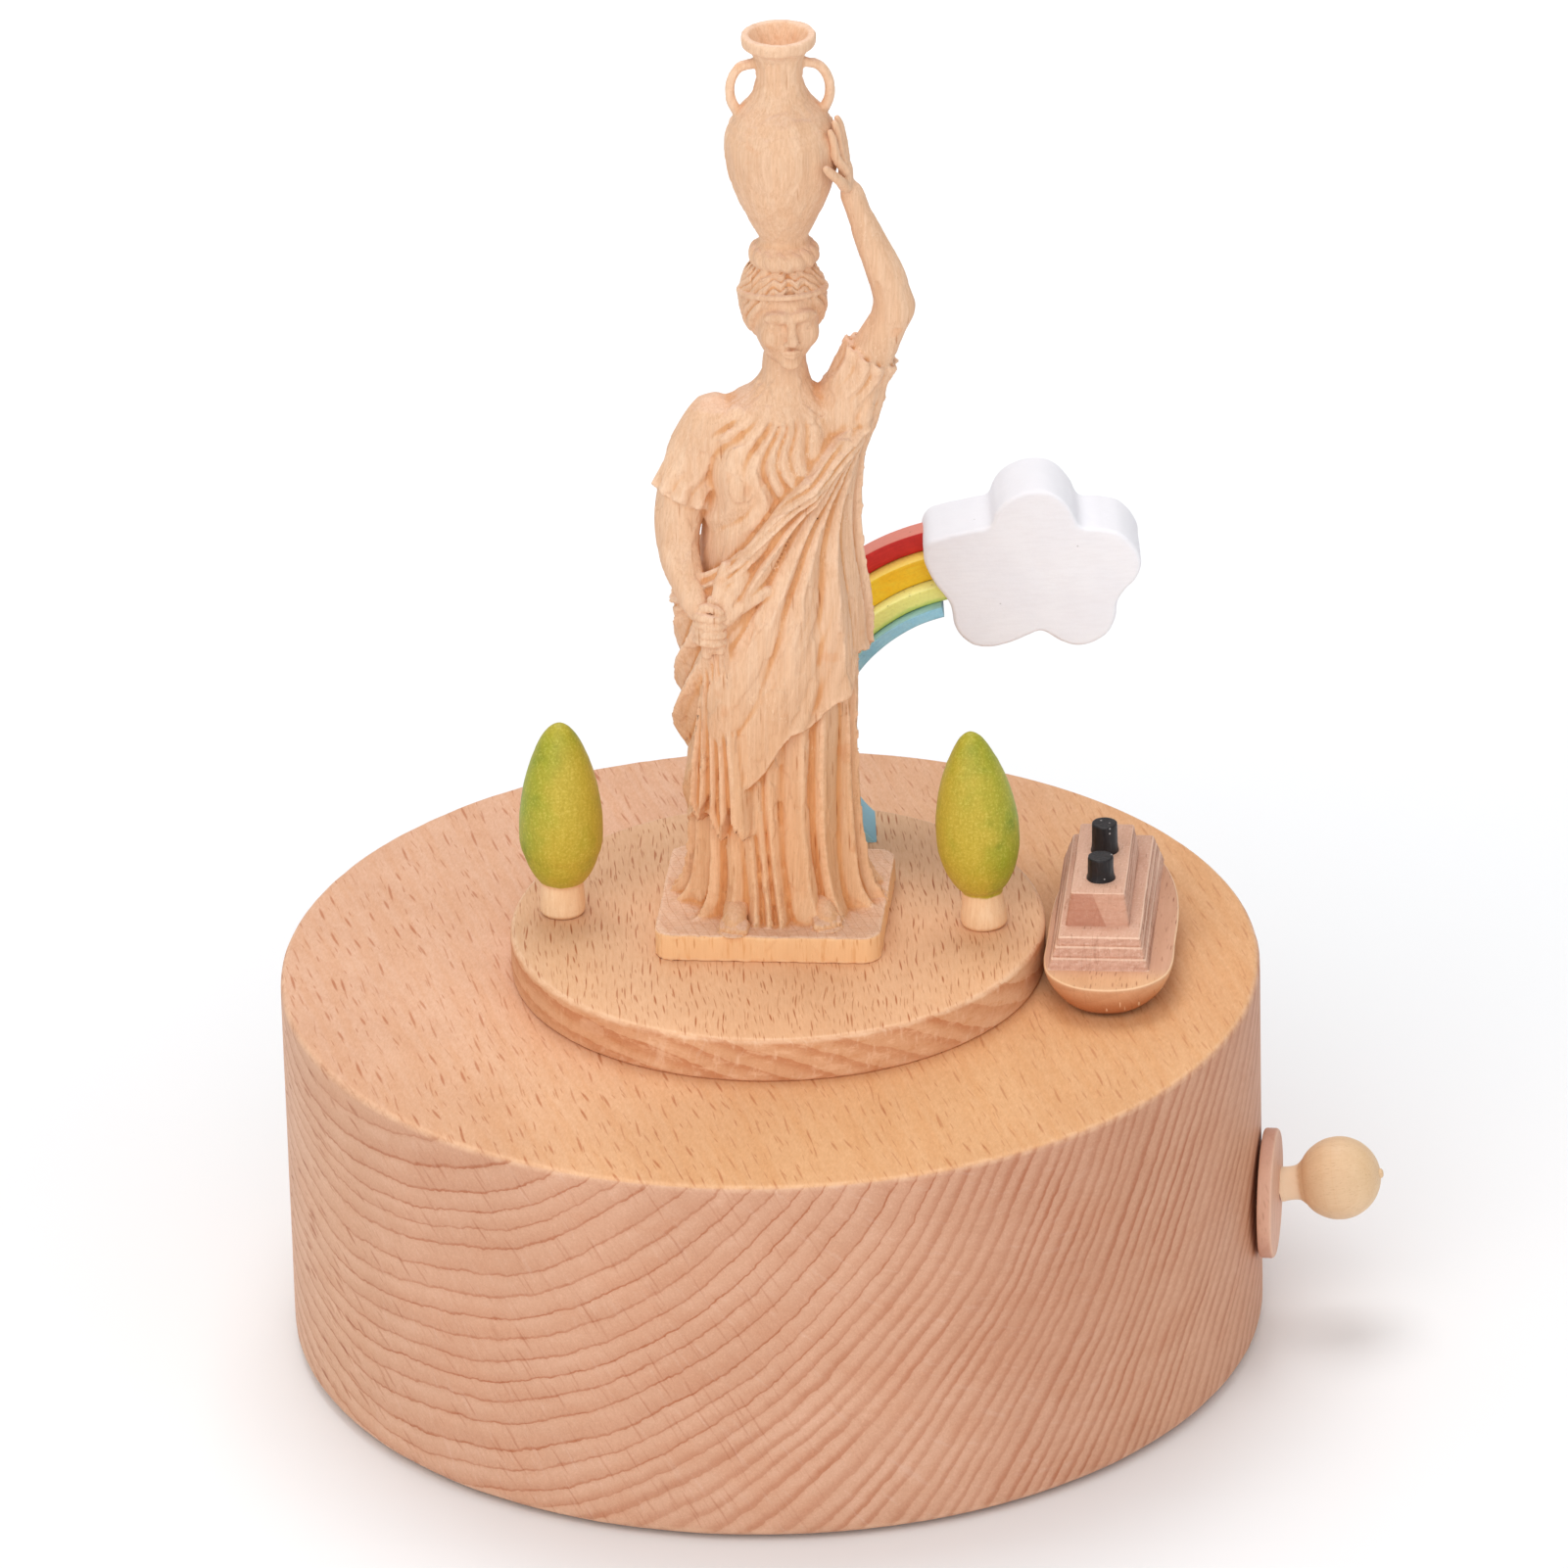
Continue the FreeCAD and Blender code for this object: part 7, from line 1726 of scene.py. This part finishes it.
    # the head, on a finer grid, turned a little to the viewer's right
    hd = Field((-2.8, -8.0, 112.6), (9.8, 10.2, 131.9), 0.115)
    yaw = math.radians(9.0)
    C = np.array([3.5, -0.6, 123.4])

    def W(p):
        x, y, z = p[:3]
        q = (x * math.cos(yaw) - y * math.sin(yaw) + C[0], x * math.sin(yaw) + y * math.cos(yaw) + C[1], z + C[2])
        return q + tuple(p[3:])

    def loc(x, y, z):
        X, Y = x - C[0], y - C[1]
        return X * math.cos(yaw) + Y * math.sin(yaw), -X * math.sin(yaw) + Y * math.cos(yaw), z - C[2]

    def ell(c, r, k, cut=False):
        def fn(x, y, z):
            X, Y, Z = loc(x, y, z)
            k0 = np.sqrt(((X - c[0]) / r[0]) ** 2 + ((Y - c[1]) / r[1]) ** 2 + ((Z - c[2]) / r[2]) ** 2)
            k1 = np.sqrt(((X - c[0]) / r[0] ** 2) ** 2 + ((Y - c[1]) / r[1] ** 2) ** 2 + ((Z - c[2]) / r[2] ** 2) ** 2)
            return k0 * (k0 - 1.0) / (k1 + 1e-6)
        m = max(r) + k + 0.6
        w = np.array(W(c))
        hd.add(w - m, w + m, fn, k, cut)

    hd.cone((3.2, 0.5, 112.4), W((0, 1.0, -4.6)), 2.5, 2.1, 0.4)
    ell((0, 0.7, 1.2), (3.95, 4.7, 4.9), 0.9)
    ell((0, -0.85, -1.3), (3.3, 3.55, 4.35), 1.4)
    ell((0, -3.15, -4.75), (1.15, 1.05, 0.95), 0.9)
    for sg in (-1, 1):
        ell((sg * 1.95, -3.05, -1.6), (1.15, 1.0, 1.2), 1.2)
        ell((sg * 1.55, -4.85, 0.0), (1.2, 1.05, 0.74), 0.55, True)
        ell((sg * 1.52, -3.50, -0.05), (0.95, 0.70, 0.60), 0.10)
        hd.path([W((sg * 0.60, -3.95, -0.05, 0.10)), W((sg * 1.1, -4.20, 0.30, 0.13)), W((sg * 1.7, -4.15, 0.38, 0.14)), W((sg * 2.4, -3.62, 0.08, 0.11))], 0.08, smooth=4)
        hd.path([W((sg * 0.75, -4.0, -0.25, 0.08)), W((sg * 1.5, -4.08, -0.50, 0.10)), W((sg * 2.3, -3.62, -0.12, 0.08))], 0.10, smooth=4)
        hd.path([W((sg * 0.45, -4.20, 0.82, 0.22)), W((sg * 1.4, -4.28, 1.15, 0.24)), W((sg * 2.7, -3.42, 0.80, 0.18))], 0.75, smooth=4)
        ell((sg * 0.55, -4.62, -2.02), (0.40, 0.48, 0.34), 0.25)
        ell((sg * 0.36, -5.02, -2.30), (0.16, 0.22, 0.16), 0.08, True)
        ell((sg * 3.62, 0.4, -0.7), (0.5, 0.95, 1.4), 0.3)
        ell((sg * 1.25, -4.15, -3.35), (0.22, 0.3, 0.2), 0.25, True)
    hd.path([W((0, -4.05, 1.0, 0.34)), W((0, -4.45, 0.1, 0.33)), W((0, -4.95, -1.05, 0.40)), W((0, -5.18, -1.70, 0.46))], 0.40, smooth=4)
    ell((0, -4.5, -2.72), (0.22, 0.42, 0.30), 0.25, True)
    hd.path([W((-1.1, -3.95, -3.32, 0.12)), W((-0.42, -4.34, -3.10, 0.24)), W((0, -4.40, -3.17, 0.22)), W((0.42, -4.34, -3.10, 0.24)), W((1.1, -3.95, -3.32, 0.12))], 0.16, smooth=3)
    hd.path([W((-0.9, -3.95, -3.58, 0.12)), W((0, -4.34, -3.78, 0.31)), W((0.9, -3.95, -3.58, 0.12))], 0.16, smooth=4)
    hd.path([W((-1.25, -4.25, -3.42, 0.05)), W((0, -4.80, -3.44, 0.08)), W((1.25, -4.25, -3.42, 0.05))], 0.12, True, 4)
    hd.path([W((-0.8, -4.35, -4.28, 0.18)), W((0, -4.6, -4.36, 0.22)), W((0.8, -4.35, -4.28, 0.18))], 0.4, True, 3)

    # wavy hair parted in the middle and gathered behind
    def hair(x, y, z):
        X, Y, Z = loc(x, y, z)
        k0 = np.sqrt((X / 4.75) ** 2 + ((Y - 1.0) / 5.25) ** 2 + ((Z - 1.35) / 5.35) ** 2)
        d = (k0 - 1.0) * 4.9
        cut = -0.83 * Y - 0.55 * Z - (1.52 - 0.55 * np.exp(-(X / 0.9) ** 2))
        w = (-cut) + 0.30 * np.sin(np.abs(X) * 1.9 + 0.8) + 0.16 * np.sin(np.abs(X) * 4.1 + Z)
        p = w / 0.92
        lock = (np.abs(np.sin(np.pi * p)) ** 0.7 - 0.4) * (0.34 + 0.12 * np.sin(np.floor(p) * 2.1))
        fine = 0.06 * np.sin(w * 21.0)
        d = d - lock - fine + 0.35 * np.exp(-(X / 0.28) ** 2) * np.clip(Z, 0, 1)
        d = smax(d, cut, 0.35)
        return smax(d, -Z - 4.6 + 0.25 * Y, 0.4)
    hd.add((-2.8, -8.0, 114.0), (9.8, 10.2, 131.9), hair, 0.10)

    def bun(x, y, z):
        X, Y, Z = loc(x, y, z)
        Y, Z = Y - 6.0, Z + 0.6
        r = np.sqrt((X / 1.15) ** 2 + Y * Y + (Z / 1.05) ** 2)
        a = np.arctan2(Z, X)
        return r - 2.35 - 0.16 * np.sin(a * 2 + r * 5.5)
    hd.add((-1.0, 1.5, 118.0), (8.0, 10.0, 127.5), bun, 0.3)
    # ribbon round the hair
    for n in range(40):
        t0, t1 = 2 * math.pi * n / 40, 2 * math.pi * (n + 1) / 40

        def rp(t):
            return W((4.72 * math.sin(t), 1.0 - 5.1 * math.cos(t), 2.35 + 0.95 * math.cos(t), 0.30))
        a, b = rp(t0), rp(t1)
        hd.cone(a[:3], b[:3], 0.36, 0.36, 0.10)

    # padded ring under the jar, twisted cloth
    def ring(x, y, z):
        X, Y, Z = x - JAR[0], y - JAR[1], z - 130.0
        r = np.sqrt(X * X + Y * Y)
        a = np.arctan2(Y, X)
        b = np.arctan2(Z, r - 2.55)
        q = np.sqrt((r - 2.55) ** 2 + (Z / 1.0) ** 2)
        return q - 1.22 - 0.20 * np.abs(np.sin(a * 7 + b))
    hd.add((-1.5, -5.0, 127.8), (8.7, 5.4, 131.9), ring, 0.15)
    carve(hd, "figure_head", mat, cell=(1.1, 1.1, 1.5), keep=0.65, limit=0.05, fine=0.010, r=0.35, gain=1.0)


make_drum()
make_platform()
make_figure()
make_trees()
make_rainbow()
make_cloud()
make_boat()
make_crank()

# ------------------------------------------------------ everything inside
INSIDE = {
    "zinc_screw": metal("zinc_plated", (186, 188, 190), 0.34),
    "steel_shaft": metal("ground_steel", (172, 173, 176), 0.24, NC),
    "comb_steel": metal("comb_steel_m", (150, 153, 160), 0.28, (0, 0, 1)),
    "zinc_frame": metal("stamped_zinc", (190, 190, 184), 0.4),
    "magnet_nickel": metal("nickel_plate", (200, 198, 192), 0.16),
    "brass_bush": metal("brass_turned", (206, 172, 98), 0.3, NC),
    "brass_gear": metal("brass_cut", (212, 178, 104), 0.3, (0, 0, 1)),
    "cast_bedplate": metal("cast_bed", (118, 116, 114), 0.55),
    "felt_base": felt("felt_brown", (92, 66, 50), (72, 50, 38)),
    "felt_pad": felt("felt_black", (48, 47, 50), (36, 35, 38)),
    "nylon_white": painted("nylon", (232, 231, 224), (224, 223, 216), rough=0.4),
    "dowel_wood": wood("dowel_beech", (0, 0, 1), (-30, 10, 0), 2.0, base=(232, 196, 150)),
    "beech_cover": wood("cover_beech", (1, 0.1, 0.0), (0, 30, -50), 2.6, base=(226, 184, 142), ring=0.4,
                        fleck=((0.1, 1.0, 0.1), 0.5, 4.0, 7.0, 0.5)),
}
BY_SLOT["beech_drum"] = MAT["drum"]
BY_SLOT["beech_platform"] = MAT["platform"]
for sp in frame["record"]["subparts"]:
    o = NODES.get(sp["node"])
    if o is None:
        continue
    m = INSIDE.get(sp["material_slot"]) or BY_SLOT.get(sp["material_slot"])
    if m is None:
        continue
    for i in range(max(1, len(o.material_slots))):
        if len(o.material_slots) == 0:
            o.data.materials.append(m)
        else:
            o.material_slots[i].material = m

# ------------------------------------------------- stage, light and camera
fl = bpy.data.meshes.new("floor")
S = 3.0
FZ = -0.00002           # just below the felt, so that the two faces don't fight
fl.from_pydata([(-S, -S, FZ), (S, -S, FZ), (S, S, FZ), (-S, S, FZ)], [], [(0, 1, 2, 3)])
floor = bpy.data.objects.new("floor", fl)
bpy.context.scene.collection.objects.link(floor)
FM = Mat("floor_pale", 0.7, 0.15)
FM.done((0.93, 0.94, 0.955, 1))
fl.materials.append(FM.m)

w = bpy.data.worlds.new("studio")
bpy.context.scene.world = w
w.use_nodes = True
w.node_tree.nodes["Background"].inputs[0].default_value = (1.0, 1.0, 1.0, 1)
w.node_tree.nodes["Background"].inputs[1].default_value = 0.50


def area(name, loc, target, size, power, color=(1, 1, 1), size_y=None):
    li = bpy.data.lights.new(name, "AREA")
    li.shape = "RECTANGLE"
    li.size = size
    li.size_y = size_y or size
    li.energy = power
    li.color = color
    o = bpy.data.objects.new(name, li)
    bpy.context.scene.collection.objects.link(o)
    o.location = loc
    d = Vector(target) - Vector(loc)
    o.rotation_euler = d.to_track_quat("-Z", "Y").to_euler()
    return o


area("key", (-0.32, -0.95, 0.80), (0, 0, 0.05), 1.25, 8.2, (1.0, 0.985, 0.97))
area("fill", (0.55, -0.75, 0.55), (0, 0, 0.06), 0.7, 1.1, (0.98, 0.99, 1.0))
area("top", (-0.07, 0.33, 1.06), (0, 0, 0.05), 0.60, 4.7)

area("back", (0.0, 0.75, 0.75), (0.0, 1.55, 0.0), 0.9, 7.0, size_y=0.5)

cam = bpy.data.cameras.new("camera")
cam.sensor_fit = "HORIZONTAL"
cam.sensor_width = 36.0
cam.lens = 13038.24 / 1601 * 36.0
cam.clip_start = 0.05
cam.clip_end = 20.0
co = bpy.data.objects.new("camera", cam)
bpy.context.scene.collection.objects.link(co)
EL, ROLL, YAW = 0.4501, 0.0261, 0.0056
fwd = np.array([math.sin(YAW) * math.cos(EL), math.cos(YAW) * math.cos(EL), -math.sin(EL)])
right = np.array([math.cos(YAW), -math.sin(YAW), 0.0])
down = np.cross(fwd, right)
r2 = math.cos(ROLL) * right + math.sin(ROLL) * down
d2 = -math.sin(ROLL) * right + math.cos(ROLL) * down
Mx = Matrix(((r2[0], -d2[0], -fwd[0], -0.0050916), (r2[1], -d2[1], -fwd[1], -1.2824169),
             (r2[2], -d2[2], -fwd[2], 0.6852048 + FELT * 0.001), (0, 0, 0, 1)))
co.matrix_world = Mx
bpy.context.scene.camera = co
vs = bpy.context.scene.view_settings
vs.view_transform = "Standard"
vs.look = "None"
vs.exposure = 0.0
vs.gamma = 1.0
